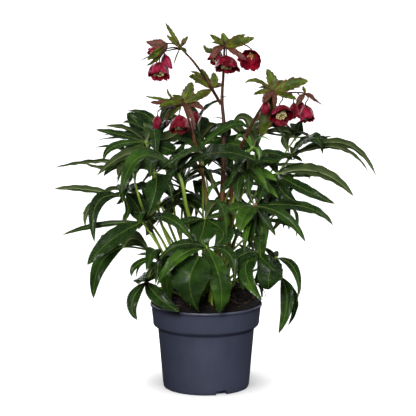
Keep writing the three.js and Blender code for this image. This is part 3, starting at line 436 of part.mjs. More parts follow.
// the envelope of the stamens and carpels in an open bell
function centre(top, axis, d, l) {
  const [X, Y, A] = basis(axis), O = V(top), rings = [[O.clone().addScaledVector(A, 2.6)]];
  for (const [z, r] of [[2.9, 1.6], [7, 3.0], [l * 0.62, 6.2], [l * 0.78, 5.2]]) {
    const ring = [];
    for (let k = 0; k < 9; k++) {
      const th = 2 * Math.PI * k / 9;
      ring.push(O.clone().addScaledVector(A, z).addScaledVector(X, r * Math.cos(th)).addScaledVector(Y, r * Math.sin(th)));
    }
    rings.push(ring);
  }
  rings.push([O.clone().addScaledVector(A, l * 0.82)]);
  return loft(rings);
}

// ---------------------------------------------------------------- bract whorls
function whorl(hub, axis, stemR, blades, stalks) {
  const [X, Y, A] = basis(axis), O = V(hub), rin = (stemR + 0.4) / Math.cos(Math.PI / 8), rout = rin + 1.9;
  const ring = new THREE.LatheGeometry([[rin, -1.6], [rout, -1.6], [rout, 1.6], [rin, 1.6], [rin, -1.6]].map((p) => new THREE.Vector2(p[0], p[1])), 8);
  ring.applyMatrix4(new THREE.Matrix4().makeBasis(X, A, X.clone().cross(A)).setPosition(O));
  let s0 = solid(ring);
  if (s0.volume() < 0) { const i = ring.index.array; for (let k = 0; k < i.length; k += 3) { const t = i[k + 1]; i[k + 1] = i[k + 2]; i[k + 2] = t; } s0 = solid(ring); }
  const list = [s0];
  for (const [M, T, w, roll, fold, kind] of blades) {
    const m = V(M), d = m.clone().sub(O); d.addScaledVector(A, -d.dot(A)).normalize();
    const S = O.clone().addScaledVector(d, rin + 0.75);
    list.push(blade(S, m, V(T), w, roll, fold, kind, 0.2));
  }
  // clearance for the stalks that leave the stem beside the whorl
  const near = stalks.filter(([, pts]) => pts.some((p, i) => i && new THREE.Line3(V(pts[i - 1]), V(p)).closestPointToPoint(O, true, new THREE.Vector3()).distanceTo(O) < 16));
  return near.reduce((a, [, pts, r0, r1]) => a.subtract(tube(pts, r0 + 0.3, r1 + 0.3, 8)), unite(list)).simplify(CLEAN);
}

// ---------------------------------------------------------------- assembly
const plant = new THREE.Group();
const mats = {
  pot: new THREE.MeshStandardMaterial({ color: 0x41465a, roughness: 0.5, metalness: 0 }),
  soil: new THREE.MeshStandardMaterial({ color: 0x1d120c, roughness: 1, metalness: 0 }),
  leaf: new THREE.MeshStandardMaterial({ color: 0x24431f, roughness: 0.38, metalness: 0 }),
  young: new THREE.MeshStandardMaterial({ color: 0x5f8a2c, roughness: 0.45, metalness: 0 }),
  stem: new THREE.MeshStandardMaterial({ color: 0x5a2424, roughness: 0.5, metalness: 0 }),
  bract: new THREE.MeshStandardMaterial({ color: 0x5c6b33, roughness: 0.5, metalness: 0 }),
  sepal: new THREE.MeshStandardMaterial({ color: 0x8c1430, roughness: 0.45, metalness: 0 }),
  stamen: new THREE.MeshStandardMaterial({ color: 0xd8cf9a, roughness: 0.7, metalness: 0 }),
};
// fill the small pockets that touching blades close off between them
function whole(man) {
  const bodies = man.decompose();
  return bodies.length === 1 ? man : unite(bodies.filter((b) => b.volume() > 0));
}
function put(name, man, mat) {
  const mesh = new THREE.Mesh(geometryOf(whole(man)), mats[mat]);
  mesh.name = name;
  plant.add(mesh);
}
put('pot', makePot(), 'pot');
put('soil', makeSoil(), 'soil');
for (const [name, pts, [r0, r1], blades] of LEAVES) {
  const p = pts.slice(); p[0] = seat(p[0], p[1], r0);
  const H = V(p[p.length - 1]);
  const ball = new THREE.OctahedronGeometry(HUB_R, 0); ball.rotateY(0.6); ball.rotateZ(0.4); ball.translate(H.x, H.y, H.z);
  const list = [solid(ball), tube(p, r0, r1, 5)];
  for (const [M, T, w, roll, fold, kind] of blades) list.push(blade(H, V(M), V(T), w, roll, fold, kind, 2.4));
  put(name, unite(list), name === YOUNG_LEAF ? 'young' : 'leaf');
}
for (const [name, tubes] of Object.entries(STEMS)) {
  const list = tubes.map(([tag, pts, r0, r1]) => {
    const p = pts.slice(); if (tag === name) p[0] = seat(p[0], p[1], r0);
    return tube(p, r0, r1, tag === name || tag === 'branch_up_left' ? 7 : 5);
  });
  if (name === 'stem_tall') for (const f of FLOWERS) if (f[0] === 'bud_top_left') list.push(egg(f[2], f[3], f[4], f[5], 1.6));
  put(name, unite(list), 'stem');
}
const stalks = Object.values(STEMS).flat();
for (const [name, hub, axis, r, blades] of WHORLS) put(name, whorl(hub, axis, r, blades, stalks), 'bract');
for (const [name, kind, top, axis, d, l, flare, hasCentre, turn] of FLOWERS) {
  if (name === 'bud_top_left') continue;
  if (kind === 'bud') put(name, egg(top, axis, d, l), 'sepal');
  else put(name, bell(top, axis, d, l, flare, turn), 'sepal');
  if (hasCentre) put(name + '_stamens', centre(top, axis, d, l), 'stamen');
}

export default plant;
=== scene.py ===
"""A potted hellebore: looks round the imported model.

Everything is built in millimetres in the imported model's frame and written in metres.
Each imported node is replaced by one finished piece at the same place.
"""
import json
import math

import bpy
import numpy as np
from mathutils import Matrix, Vector, noise as mnoise

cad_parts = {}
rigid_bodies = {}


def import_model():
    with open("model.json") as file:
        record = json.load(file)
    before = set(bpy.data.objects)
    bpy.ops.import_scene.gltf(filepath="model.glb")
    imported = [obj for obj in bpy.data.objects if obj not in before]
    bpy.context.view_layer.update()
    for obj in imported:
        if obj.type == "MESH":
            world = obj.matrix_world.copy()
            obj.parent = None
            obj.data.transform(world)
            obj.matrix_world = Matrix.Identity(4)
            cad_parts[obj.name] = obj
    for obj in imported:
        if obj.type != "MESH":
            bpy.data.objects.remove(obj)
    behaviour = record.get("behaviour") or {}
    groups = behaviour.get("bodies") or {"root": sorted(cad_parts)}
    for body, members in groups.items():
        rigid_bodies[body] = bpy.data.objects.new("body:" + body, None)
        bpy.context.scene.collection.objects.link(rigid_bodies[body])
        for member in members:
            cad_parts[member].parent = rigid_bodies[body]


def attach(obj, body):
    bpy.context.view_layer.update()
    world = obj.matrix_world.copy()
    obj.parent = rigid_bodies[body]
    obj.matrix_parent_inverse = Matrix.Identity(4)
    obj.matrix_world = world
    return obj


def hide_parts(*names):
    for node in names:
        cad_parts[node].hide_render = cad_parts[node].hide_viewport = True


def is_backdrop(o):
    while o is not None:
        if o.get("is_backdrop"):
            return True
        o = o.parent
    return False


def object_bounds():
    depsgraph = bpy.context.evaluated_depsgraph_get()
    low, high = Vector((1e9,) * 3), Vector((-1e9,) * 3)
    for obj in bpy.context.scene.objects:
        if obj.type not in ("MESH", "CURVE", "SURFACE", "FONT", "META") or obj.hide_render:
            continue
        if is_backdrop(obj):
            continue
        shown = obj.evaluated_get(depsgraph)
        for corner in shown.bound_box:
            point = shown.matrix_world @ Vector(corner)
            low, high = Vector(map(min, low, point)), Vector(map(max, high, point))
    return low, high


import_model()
CAD_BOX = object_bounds()
SEED = 8518

# name, petiole points from crown to knuckle, petiole radii, leaflets as
# [middle of spine, tip, width, roll, fold, kind], all in millimetres and degrees
LEAVES = [
    ["leaf_01",[[-3.7,-25.9,161.2],[-8.8,-35.7,189.6],[-13.9,-45.5,217.7],[-17.2,-55.3,247.3],[-22.2,-65.2,274.9],[-26.3,-78.0,302.6],[-31.5,-90.0,324.8],[-35.5,-98.0,344.5],[-38.4,-101.0,365.1],[-42.1,-100.0,378.5],[-47.6,-95.8,388.0]],[4.0,3.0],[[[-106.0,-126.1,419.8],[-138.3,-160.9,361.9],30.4,-40.6,12.0,0],[[-111.9,-74.3,421.7],[-185.2,-49.4,378.4],27.1,42.8,8.0,0],[[12.3,-164.1,428.8],[79.2,-219.1,422.9],36.3,36.8,12.0,0],[[-50.3,-40.0,406.2],[-36.8,20.0,426.8],25.7,-20.0,14.0,0],[[-80.1,-60.0,398.8],[-122.9,-20.0,381.7],23.3,-30.0,14.0,0],[[-55.3,-124.8,395.2],[-61.5,-148.0,373.0],20.5,16.1,14.0,0],[[-7.3,-82.0,396.9],[15.4,-65.4,354.6],22.7,3.0,14.0,0],[[-16.9,-123.2,421.5],[31.8,-139.0,396.2],28.0,-7.1,13.0,0]]],
    ["leaf_02",[[-13.8,-34.5,159.8],[-27.8,-42.5,189.7],[-41.8,-50.5,219.7],[-55.6,-58.7,249.6],[-68.3,-68.9,279.4],[-76.9,-85.9,307.3],[-79.6,-108.6,332.3],[-82.0,-124.9,361.9],[-83.7,-138.2,393.1]],[3.0,2.2],[[[-81.9,-168.0,368.1],[-95.7,-176.0,327.4],42.0,32.0,8.0,6],[[-91.3,-110.0,388.1],[-100.5,-90.0,380.6],11.0,-20.0,14.0,0],[[-107.4,-125.0,399.9],[-135.3,-100.0,378.8],18.8,-20.0,14.0,0],[[-62.6,-160.0,380.1],[-56.1,-166.0,356.3],16.2,18.0,14.0,0],[[-86.1,-184.7,420.1],[-88.5,-236.4,396.9],22.1,-18.8,14.0,0],[[-16.0,-133.7,431.5],[12.5,-61.8,409.6],23.8,10.3,14.0,0],[[-105.0,-158.7,415.6],[-116.0,-150.0,375.6],24.3,7.4,14.0,0],[[-128.4,-111.4,403.1],[-147.4,-83.0,381.0],22.2,17.1,13.0,0]]],
    ["leaf_03",[[-16.0,1.2,166.6],[-27.6,-1.3,195.5],[-39.3,-3.8,224.4],[-50.9,-6.2,253.4],[-62.4,-8.0,282.4],[-74.1,-7.1,311.3],[-84.6,-5.2,340.7],[-92.1,-7.0,370.9],[-97.7,-10.8,401.4],[-103.2,-14.8,431.9]],[2.5,1.7],[[[-150.4,5.0,443.0],[-190.3,0.0,451.7],19.8,-25.0,10.0,0],[[-135.8,41.9,449.1],[-177.6,61.2,452.6],18.3,43.7,8.0,0],[[-141.6,20.0,435.9],[-188.0,30.0,431.7],14.1,-20.0,10.0,0],[[-143.8,40.0,422.2],[-196.6,60.0,415.2],13.4,-20.0,10.0,0],[[-153.3,-50.0,429.2],[-172.3,-70.0,408.5],15.0,-42.0,12.0,0],[[-130.9,-30.0,420.7],[-159.1,-40.0,405.1],16.5,-30.0,14.0,0],[[-88.4,12.3,439.3],[-76.5,33.9,416.5],18.2,30.9,14.0,0],[[-89.1,-39.9,454.3],[-85.8,-63.8,407.1],23.8,-6.8,14.0,0],[[-63.4,-30.4,420.7],[-52.9,-68.4,422.8],24.3,61.8,13.0,0],[[-134.8,30.9,442.5],[-183.7,54.2,437.0],22.3,-4.4,13.0,0]]],
    ["leaf_04",[[-6.6,-3.5,165.6],[-19.3,7.1,195.1],[-31.9,17.6,224.5],[-43.9,26.2,254.7],[-53.1,26.0,286.3],[-56.6,12.8,316.6],[-62.5,16.2,348.4],[-70.1,32.3,376.9],[-77.7,51.1,403.8],[-85.4,70.0,430.6]],[2.5,1.7],[[[-117.5,107.2,450.8],[-142.0,114.4,471.5],35.6,-31.9,10.0,1],[[-103.6,106.7,465.9],[-144.3,147.3,472.6],16.2,-29.6,12.0,0],[[-126.6,80.0,454.8],[-148.0,80.0,456.0],12.7,-20.0,12.0,0],[[-100.6,60.8,443.1],[-111.1,75.4,456.6],23.3,46.0,14.0,0],[[-62.0,40.0,435.5],[-34.5,20.0,459.2],28.0,-40.0,12.0,0],[[-68.3,110.8,464.3],[-43.8,155.9,434.4],24.7,-11.5,14.0,0],[[-114.2,53.7,436.5],[-156.8,16.3,389.7],27.6,-3.1,14.0,0],[[-101.3,132.6,447.5],[-106.0,166.2,383.7],21.6,-14.7,14.0,0],[[-41.9,46.2,436.9],[1.7,22.4,401.9],26.0,44.7,13.0,0],[[-71.3,88.7,452.4],[-47.5,166.5,461.9],19.8,-15.8,13.0,0],[[-53.7,138.6,488.5],[-5.8,127.5,452.5],24.4,41.0,13.0,0]]],
    ["leaf_05",[[-38.6,-26.4,161.0],[-52.8,-23.4,190.7],[-67.0,-20.3,220.3],[-81.0,-19.3,250.1],[-93.7,-25.4,279.6],[-100.2,-49.7,301.0],[-104.6,-76.9,318.9],[-108.4,-104.4,336.2],[-114.5,-107.3,357.9],[-119.7,-77.0,369.7],[-122.9,-44.5,375.2],[-126.2,-12.1,380.6],[-129.4,20.3,386.1],[-132.7,52.7,391.6]],[2.5,1.7],[[[-205.2,40.0,391.2],[-264.1,30.0,382.7],18.8,30.0,8.0,0],[[-171.0,10.0,384.9],[-210.2,-10.0,395.2],16.1,30.0,8.0,0],[[-159.0,-10.0,388.0],[-175.3,-30.0,374.9],14.2,-20.0,14.0,0],[[-142.0,5.7,397.9],[-151.3,-41.4,364.2],12.3,-32.7,14.0,0],[[-139.7,95.5,401.9],[-147.1,149.6,386.8],23.4,-4.3,14.0,0],[[-86.8,81.9,424.5],[-55.6,158.7,394.8],22.5,-0.7,14.0,0],[[-161.6,66.0,415.6],[-185.4,90.3,383.8],21.6,-4.6,14.0,0]]],
    ["leaf_06",[[-43.9,-16.4,162.9],[-50.0,-15.7,192.4],[-58.4,-15.9,221.3],[-69.7,-17.2,249.2],[-84.3,-19.5,275.4],[-102.0,-22.8,299.5],[-122.6,-26.8,321.1],[-145.1,-31.3,340.6]],[2.5,1.7],[[[-209.4,-30.0,352.8],[-260.2,-30.0,352.7],16.6,48.0,8.0,0],[[-184.2,-80.0,333.7],[-187.1,-100.0,272.0],21.9,-48.0,14.0,0],[[-197.9,0.0,320.9],[-211.0,10.0,281.0],13.5,40.0,10.0,0],[[-132.5,-60.0,324.1],[-140.2,-80.0,301.0],11.6,5.0,20.0,0],[[-149.0,20.0,323.0],[-162.1,60.0,313.9],13.0,-20.0,14.0,0],[[-137.3,0.0,343.3],[-135.4,30.0,348.2],14.0,-40.0,14.0,0],[[-137.3,-106.9,369.7],[-137.0,-148.8,344.1],22.2,7.9,14.0,0],[[-117.9,-46.6,358.2],[-54.7,-99.4,353.2],28.0,21.9,13.0,0]]],
    ["leaf_07",[[-9.7,-14.6,163.2],[-26.3,-28.2,185.5],[-42.9,-41.7,207.8],[-59.5,-55.2,230.2],[-75.9,-67.9,253.1],[-91.6,-75.0,278.2],[-108.1,-60.9,300.0]],[2.5,1.7],[[[-183.6,-58.8,294.2],[-242.0,-85.3,281.5],11.5,-54.0,12.0,0],[[-157.9,-125.0,279.3],[-195.7,-145.0,241.2],29.4,-46.0,12.0,0],[[-61.9,-140.0,318.3],[-21.3,-150.0,280.6],22.3,36.0,12.0,0],[[-82.7,-86.9,326.3],[-41.3,-109.1,359.0],9.5,-6.3,14.0,0],[[-118.0,-38.2,324.0],[-136.5,-35.4,345.0],34.4,-31.0,14.0,1],[[-98.0,-50.3,288.1],[-104.2,-14.0,268.9],16.4,26.4,14.0,0],[[-108.6,-116.7,325.0],[-110.0,-157.2,311.0],23.9,3.9,14.0,0]]],
    ["leaf_08",[[-40.9,14.8,169.3],[-60.2,12.4,192.7],[-79.5,10.0,216.0],[-100.7,11.3,237.2],[-123.7,28.8,240.7],[-143.8,10.0,245.7]],[2.5,1.7],[[[-182.1,-30.0,222.7],[-194.3,-40.0,163.5],28.7,-52.0,22.0,0],[[-125.6,0.0,262.2],[-101.6,-10.0,245.6],37.7,-50.0,8.0,1],[[-160.9,25.0,243.8],[-172.9,40.0,244.9],13.5,-20.0,14.0,0],[[-164.8,-36.6,274.8],[-181.2,-86.3,248.1],23.5,16.8,14.0,0],[[-138.7,62.6,257.0],[-134.1,109.1,229.8],21.6,2.4,14.0,0],[[-118.9,0.5,249.3],[-99.1,7.7,237.2],11.0,11.8,13.0,0]]],
    ["leaf_09",[[-23.4,-9.6,164.3],[-32.7,-18.4,189.3],[-49.1,-33.9,206.5],[-66.9,-50.8,221.0],[-81.9,-65.0,240.3]],[2.5,1.7],[[[-116.1,-85.0,231.2],[-125.9,-90.0,211.4],13.5,-30.0,12.0,0],[[-109.5,-60.0,227.5],[-119.2,-50.0,203.2],10.1,-0.0,20.0,0],[[-98.0,-30.0,239.3],[-120.4,-10.0,234.4],15.8,-25.0,14.0,0],[[-67.1,-99.8,207.6],[-65.6,-58.3,154.2],22.2,17.5,14.0,0],[[-88.1,-106.3,259.2],[-98.3,-145.0,231.4],23.7,-7.7,14.0,0],[[-49.7,-118.4,262.1],[-15.6,-70.0,280.4],26.0,-4.0,14.0,0]]],
    ["leaf_10",[[-22.2,-22.6,161.7],[-36.8,-33.2,181.1],[-59.1,-49.4,185.1],[-81.6,-65.9,187.3],[-101.1,-80.0,199.9]],[2.5,1.7],[[[-123.5,-108.0,173.3],[-115.9,-112.0,141.4],19.9,-38.0,12.0,0],[[-79.5,-108.0,179.0],[-44.7,-112.0,155.1],26.6,35.0,12.0,0],[[-111.3,-60.0,202.1],[-124.3,-40.0,193.1],17.0,-30.0,14.0,0],[[-103.3,-45.0,203.6],[-107.8,-20.0,206.0],15.0,-30.0,14.0,0],[[-87.5,-46.9,213.5],[-62.6,-30.4,242.1],20.7,22.6,13.0,0],[[-82.0,-111.9,239.7],[-83.1,-156.3,210.6],18.1,0.6,13.0,0],[[-107.9,-124.9,211.8],[-109.8,-172.8,214.2],25.8,12.7,13.0,0]]],
    ["leaf_11",[[8.1,-32.2,160.1],[7.2,-42.3,189.5],[5.4,-60.1,215.0],[3.4,-81.0,238.1],[1.6,-100.0,262.7]],[3.0,2.2],[[[-26.5,-142.0,217.0],[-12.1,-122.0,157.8],70.6,-6.0,7.0,6],[[24.1,-130.0,207.9],[21.7,-117.0,154.2],40.1,6.0,8.0,1],[[-45.2,-152.0,255.7],[-80.5,-160.0,209.6],20.0,-30.0,12.0,0],[[-41.3,-138.0,274.2],[-78.0,-132.0,248.0],17.2,-48.0,12.0,0],[[38.8,-138.0,257.4],[46.5,-150.0,216.0],19.1,24.0,12.0,0],[[-4.1,-103.0,269.8],[-8.8,-105.0,277.6],7.6,-80.0,10.0,2],[[3.9,-108.0,271.0],[5.9,-106.6,278.6],6.7,80.0,10.0,2]]],
    ["leaf_12",[[1.1,-8.1,164.6],[0.7,-14.9,195.1],[0.3,-25.2,224.5],[-0.4,-38.5,252.7],[-1.1,-53.8,279.8],[-1.8,-70.0,306.5]],[2.5,1.7],[[[-5.6,-91.0,288.7],[-15.5,-101.0,267.5],44.6,-5.0,8.0,1],[[28.2,-101.4,289.4],[15.7,-121.4,270.1],37.5,16.0,12.0,1],[[-31.8,-101.0,307.4],[-49.6,-113.6,296.4],17.4,-30.0,14.0,0],[[25.5,-90.0,316.9],[54.2,-100.0,325.5],17.5,30.0,14.0,0],[[-44.5,-47.9,330.4],[-85.9,-55.3,290.6],25.1,19.0,14.0,0],[[26.3,-80.3,333.4],[44.6,-49.1,297.1],24.8,16.4,14.0,0],[[22.2,-110.9,340.4],[33.9,-132.1,288.9],26.3,-17.0,13.0,0]]],
    ["leaf_13",[[15.7,-24.4,161.4],[24.8,-31.2,190.8],[34.0,-38.1,220.2],[43.4,-45.3,249.5],[54.2,-55.1,277.4],[69.0,-69.9,300.4],[82.7,-70.0,328.7]],[3.0,2.2],[[[166.7,-75.0,327.9],[215.3,-70.0,295.5],20.0,40.0,10.0,0],[[130.4,-100.0,316.1],[166.1,-110.0,273.7],19.1,40.0,12.0,0],[[92.6,-60.0,287.2],[95.4,-92.2,241.8],23.9,-18.0,12.0,0],[[66.1,-128.0,323.6],[55.0,-150.0,298.7],32.5,-4.0,8.0,1],[[72.3,-40.0,357.0],[90.9,-20.0,360.7],12.9,-30.0,14.0,0],[[53.1,-100.0,330.9],[30.0,-110.0,321.5],21.2,-30.0,14.0,0],[[76.4,-118.0,298.6],[72.2,-126.0,262.9],15.3,22.0,14.0,0],[[101.9,-60.0,302.4],[117.9,-66.0,276.7],17.2,80.0,12.0,0],[[67.2,-140.0,298.7],[63.3,-150.0,264.5],11.5,14.0,12.0,0]]],
    ["leaf_14",[[31.2,-15.3,163.1],[36.0,-23.7,192.1],[40.7,-29.4,221.6],[46.3,-32.3,251.5],[53.7,-32.5,281.1],[64.6,-29.6,309.4],[79.8,-24.2,335.2],[99.3,-17.4,357.6],[122.4,-10.0,376.0]],[3.0,2.2],[[[194.7,-20.0,380.7],[253.9,-20.0,338.9],27.5,-48.0,8.0,0],[[167.3,-70.0,356.3],[217.2,-80.0,334.1],19.9,38.0,12.0,0],[[179.3,40.0,384.6],[223.4,60.0,356.1],17.3,-30.0,10.0,0],[[125.0,-83.9,360.1],[152.4,-82.8,335.9],28.0,45.2,12.0,0],[[167.1,11.4,380.7],[179.4,18.0,361.1],11.1,5.5,16.0,0],[[100.0,-80.0,365.5],[88.8,-110.0,345.9],28.1,-30.0,14.0,0],[[107.6,33.8,404.1],[98.5,80.1,383.5],27.6,-19.6,14.0,0],[[159.7,-12.6,392.1],[206.3,-23.2,373.1],15.7,7.4,13.0,0],[[165.8,10.4,369.8],[213.8,68.8,369.0],21.7,7.0,13.0,0]]],
    ["leaf_15",[[23.6,24.9,170.8],[30.8,22.7,203.3],[41.4,21.4,234.9],[55.0,21.0,265.3],[71.3,21.5,294.5],[89.5,22.8,322.4],[108.9,24.8,349.4],[128.8,27.3,376.1],[148.5,30.0,402.9]],[3.0,2.2],[[[238.0,20.0,427.0],[295.4,10.0,370.7],21.6,-42.0,8.0,0],[[223.9,-10.0,423.1],[278.1,-30.0,382.2],18.3,-38.0,8.0,0],[[182.2,-45.3,442.0],[199.4,-31.0,412.8],22.3,53.5,12.0,0],[[158.1,15.0,401.0],[165.9,0.0,396.6],10.0,10.0,14.0,0],[[158.0,72.6,410.1],[159.3,133.0,383.9],18.6,22.9,14.0,0],[[140.7,-38.9,411.9],[108.3,-58.2,398.8],19.8,-9.1,14.0,0],[[188.0,70.1,432.8],[239.5,112.3,403.5],22.0,-6.8,14.0,0]]],
    ["leaf_16",[[18.5,40.1,171.8],[24.6,44.3,204.7],[34.5,49.4,236.6],[47.8,55.3,267.0],[63.9,61.8,295.9],[82.1,68.6,323.6],[101.5,75.5,350.3],[121.6,82.4,376.5],[141.6,88.9,402.9],[160.8,95.0,430.0]],[2.5,1.7],[[[164.5,98.0,442.2],[169.6,100.0,459.5],20.6,30.0,14.0,0],[[135.8,85.0,443.3],[99.8,70.0,440.3],22.3,40.0,10.0,0],[[142.9,93.5,428.1],[148.4,101.7,402.5],22.4,40.4,10.0,0],[[198.0,105.0,427.2],[225.8,110.0,430.4],16.5,-30.0,10.0,0],[[163.2,147.3,449.3],[165.2,189.9,413.2],22.2,-17.3,14.0,0],[[113.2,132.8,464.9],[70.5,171.4,429.0],21.5,10.8,14.0,0],[[160.1,6.6,446.8],[202.4,-3.0,428.0],26.0,-20.1,14.0,0],[[110.1,127.5,447.0],[84.8,177.9,404.7],19.4,31.7,13.0,0],[[122.4,98.9,434.1],[92.9,103.4,440.1],13.8,-7.1,13.0,0]]],
    ["leaf_17",[[10.6,15.9,169.5],[16.4,18.9,200.5],[24.4,21.7,231.0],[34.3,24.2,261.0],[45.4,26.4,290.6],[57.1,28.2,319.9],[68.6,29.4,349.4],[78.9,30.0,379.4],[87.2,30.0,409.9]],[2.5,1.7],[[[69.5,35.0,468.4],[42.9,30.5,453.3],27.9,37.1,12.0,0],[[121.3,10.0,408.3],[150.9,0.0,399.3],20.5,30.0,14.0,0],[[80.6,80.0,432.5],[74.7,130.0,438.8],25.8,-20.0,12.0,0],[[60.5,48.4,419.8],[30.0,75.3,412.3],23.5,-28.8,14.0,0],[[118.1,55.3,458.0],[150.1,38.9,393.0],20.7,-10.8,14.0,0],[[106.5,-11.9,393.3],[151.3,-43.8,399.1],25.6,-22.4,14.0,0],[[54.6,-1.7,461.6],[-22.2,-39.0,411.7],23.4,-24.3,14.0,0],[[57.6,17.9,415.2],[39.5,87.7,373.6],20.8,5.7,14.0,0],[[33.6,27.1,424.6],[-5.7,9.0,404.5],26.3,-45.1,13.0,0],[[97.1,-9.3,414.6],[85.6,-40.0,384.8],23.7,-45.7,13.0,0]]],
    ["leaf_18",[[12.7,7.9,168.0],[21.0,4.9,197.9],[29.2,1.8,227.8],[37.5,-1.2,257.7],[45.6,-5.3,287.5],[53.5,-10.9,317.0],[58.3,-30.4,339.6],[61.1,-54.3,357.6],[67.4,-65.1,386.0]],[2.5,1.7],[[[92.8,-112.0,390.8],[116.9,-130.0,378.9],16.2,44.0,12.0,0],[[42.7,-82.0,372.0],[26.5,-112.0,358.2],17.2,-20.0,12.0,0],[[71.3,-112.0,378.3],[67.6,-128.0,353.7],17.2,-24.0,12.0,0],[[96.5,-48.4,403.0],[123.9,-54.4,395.3],23.2,18.5,14.0,0],[[53.6,-50.6,407.5],[34.4,-5.0,402.5],23.2,-13.6,14.0,0],[[54.2,-96.0,374.6],[52.3,-112.0,343.1],17.2,2.0,12.0,0],[[64.6,-99.9,413.0],[36.5,-115.1,369.3],26.3,12.3,14.0,0],[[96.5,-104.0,370.6],[119.8,-126.0,349.2],15.3,26.0,12.0,0],[[82.4,-124.0,396.4],[103.4,-142.0,360.5],13.4,28.0,12.0,0]]],
    ["leaf_19",[[-41.0,38.2,171.8],[-43.0,44.0,204.8],[-44.2,48.7,238.0],[-44.1,52.8,271.3],[-42.4,57.5,304.5],[-38.6,63.7,337.2],[-32.0,73.2,368.7],[-22.7,86.8,397.9],[-11.1,104.7,423.7]],[2.5,1.7],[[[-7.8,99.2,471.8],[27.4,84.2,496.9],18.8,28.6,14.0,0],[[-10.5,150.6,451.0],[-7.0,169.8,460.5],35.2,9.0,12.0,1],[[15.8,108.0,435.2],[44.2,85.9,427.6],18.8,28.0,14.0,0],[[-33.4,93.4,421.8],[-60.1,101.2,416.7],18.7,-25.9,14.0,0],[[-26.0,147.6,436.4],[-46.9,110.4,453.2],23.5,-22.7,14.0,0],[[-12.4,137.0,416.3],[0.1,172.4,372.3],20.6,-19.0,14.0,0],[[-59.1,147.0,426.7],[-85.4,123.0,416.9],20.9,8.8,14.0,0],[[28.1,163.0,437.4],[40.6,208.7,416.8],26.3,-4.3,14.0,0],[[20.7,61.9,456.3],[31.5,43.6,411.7],26.9,-9.7,14.0,0]]],
    ["leaf_20",[[37.3,-8.2,164.6],[48.1,-18.9,188.2],[71.2,-23.9,203.8],[97.2,-23.6,215.6],[121.1,-20.0,230.6]],[2.5,1.7],[[[153.9,-45.0,215.9],[155.7,-60.0,161.5],9.4,20.0,12.0,0],[[149.3,-70.0,222.3],[158.1,-90.0,180.7],15.0,30.0,12.0,0],[[122.2,5.0,233.3],[126.9,30.0,234.3],10.0,20.0,14.0,0],[[106.3,-103.7,219.0],[106.1,-102.4,191.5],44.7,-15.8,8.0,1],[[97.6,-88.6,221.1],[80.1,-88.6,194.0],18.8,-20.3,12.0,0],[[87.5,74.7,221.6],[53.4,93.4,238.4],25.4,-3.8,14.0,0],[[110.9,6.0,236.7],[102.2,10.0,244.0],9.5,-24.0,12.0,0]]],
    ["leaf_21",[[23.2,-3.8,165.6],[42.5,-9.1,185.6],[72.7,-7.8,185.7],[102.7,-3.9,184.9],[131.1,1.8,193.0]],[2.5,1.7],[[[140.6,-25.0,155.3],[126.2,-30.0,99.7],23.4,30.0,12.0,0],[[155.5,15.0,148.3],[145.0,20.0,102.2],15.3,80.0,12.0,0],[[123.6,30.0,184.0],[119.7,60.0,171.0],13.0,-20.0,14.0,0]]],
    ["leaf_22",[[23.2,-32.2,160.1],[33.2,-40.3,188.8],[51.0,-54.9,210.6],[70.8,-71.1,229.5],[87.7,-85.0,252.4]],[2.5,1.7],[[[66.5,-125.0,236.7],[62.1,-120.0,194.0],29.2,-20.0,12.0,0],[[59.8,-115.0,253.0],[41.6,-120.0,231.7],26.0,-30.0,14.0,0],[[93.4,-37.6,196.9],[97.0,-56.1,168.2],8.2,17.3,14.0,0],[[97.1,-105.0,242.4],[116.2,-110.0,224.2],18.8,30.0,14.0,0],[[88.0,-136.5,286.1],[88.3,-193.2,262.2],21.7,8.3,14.0,0],[[84.5,-37.9,261.0],[81.5,4.4,238.4],17.8,-9.0,14.0,0],[[47.1,-76.0,284.1],[-6.2,-65.7,271.6],21.5,-8.1,14.0,0],[[65.6,-132.9,230.8],[92.0,-164.4,185.3],27.8,9.5,13.0,0]]],
    ["leaf_23",[[46.1,12.1,168.8],[52.1,24.6,196.4],[63.1,33.0,224.0],[79.2,35.6,250.3],[98.3,33.1,274.5],[118.3,27.0,297.3],[138.0,18.8,319.7]],[2.5,1.7],[[[156.4,0.0,305.0],[154.9,-25.0,266.2],7.2,10.0,12.0,0],[[131.7,10.0,299.4],[114.6,10.0,271.9],11.5,-20.0,12.0,0],[[118.4,45.0,334.7],[95.0,60.0,332.3],21.1,-20.0,12.0,0],[[159.9,46.1,311.1],[189.1,53.3,297.5],16.4,-34.5,10.0,0],[[152.6,-31.1,356.4],[194.3,-67.2,341.6],27.0,10.8,14.0,0],[[141.9,66.1,361.8],[159.3,124.0,333.9],23.2,-7.1,14.0,0]]],
    ["leaf_24",[[23.4,-19.2,162.3],[27.2,-21.4,192.2],[30.7,-23.4,222.2],[34.2,-25.4,252.2],[38.0,-27.5,282.1],[42.6,-30.1,311.9],[48.4,-33.4,341.4],[56.0,-37.6,370.3],[65.7,-43.1,398.4],[77.9,-50.0,425.2]],[2.5,1.7],[[[90.5,-60.0,444.2],[109.2,-60.0,438.3],7.0,20.0,10.0,2],[[60.5,-65.0,448.7],[49.0,-70.0,439.2],8.1,-20.0,10.0,2],[[67.7,-66.0,416.6],[64.8,-76.4,401.6],8.2,-20.0,10.0,2],[[87.5,-65.0,423.4],[89.1,-70.0,407.0],7.0,20.0,10.0,2],[[74.7,-40.0,436.1],[73.5,-20.0,444.5],7.0,-20.0,10.0,2]]],
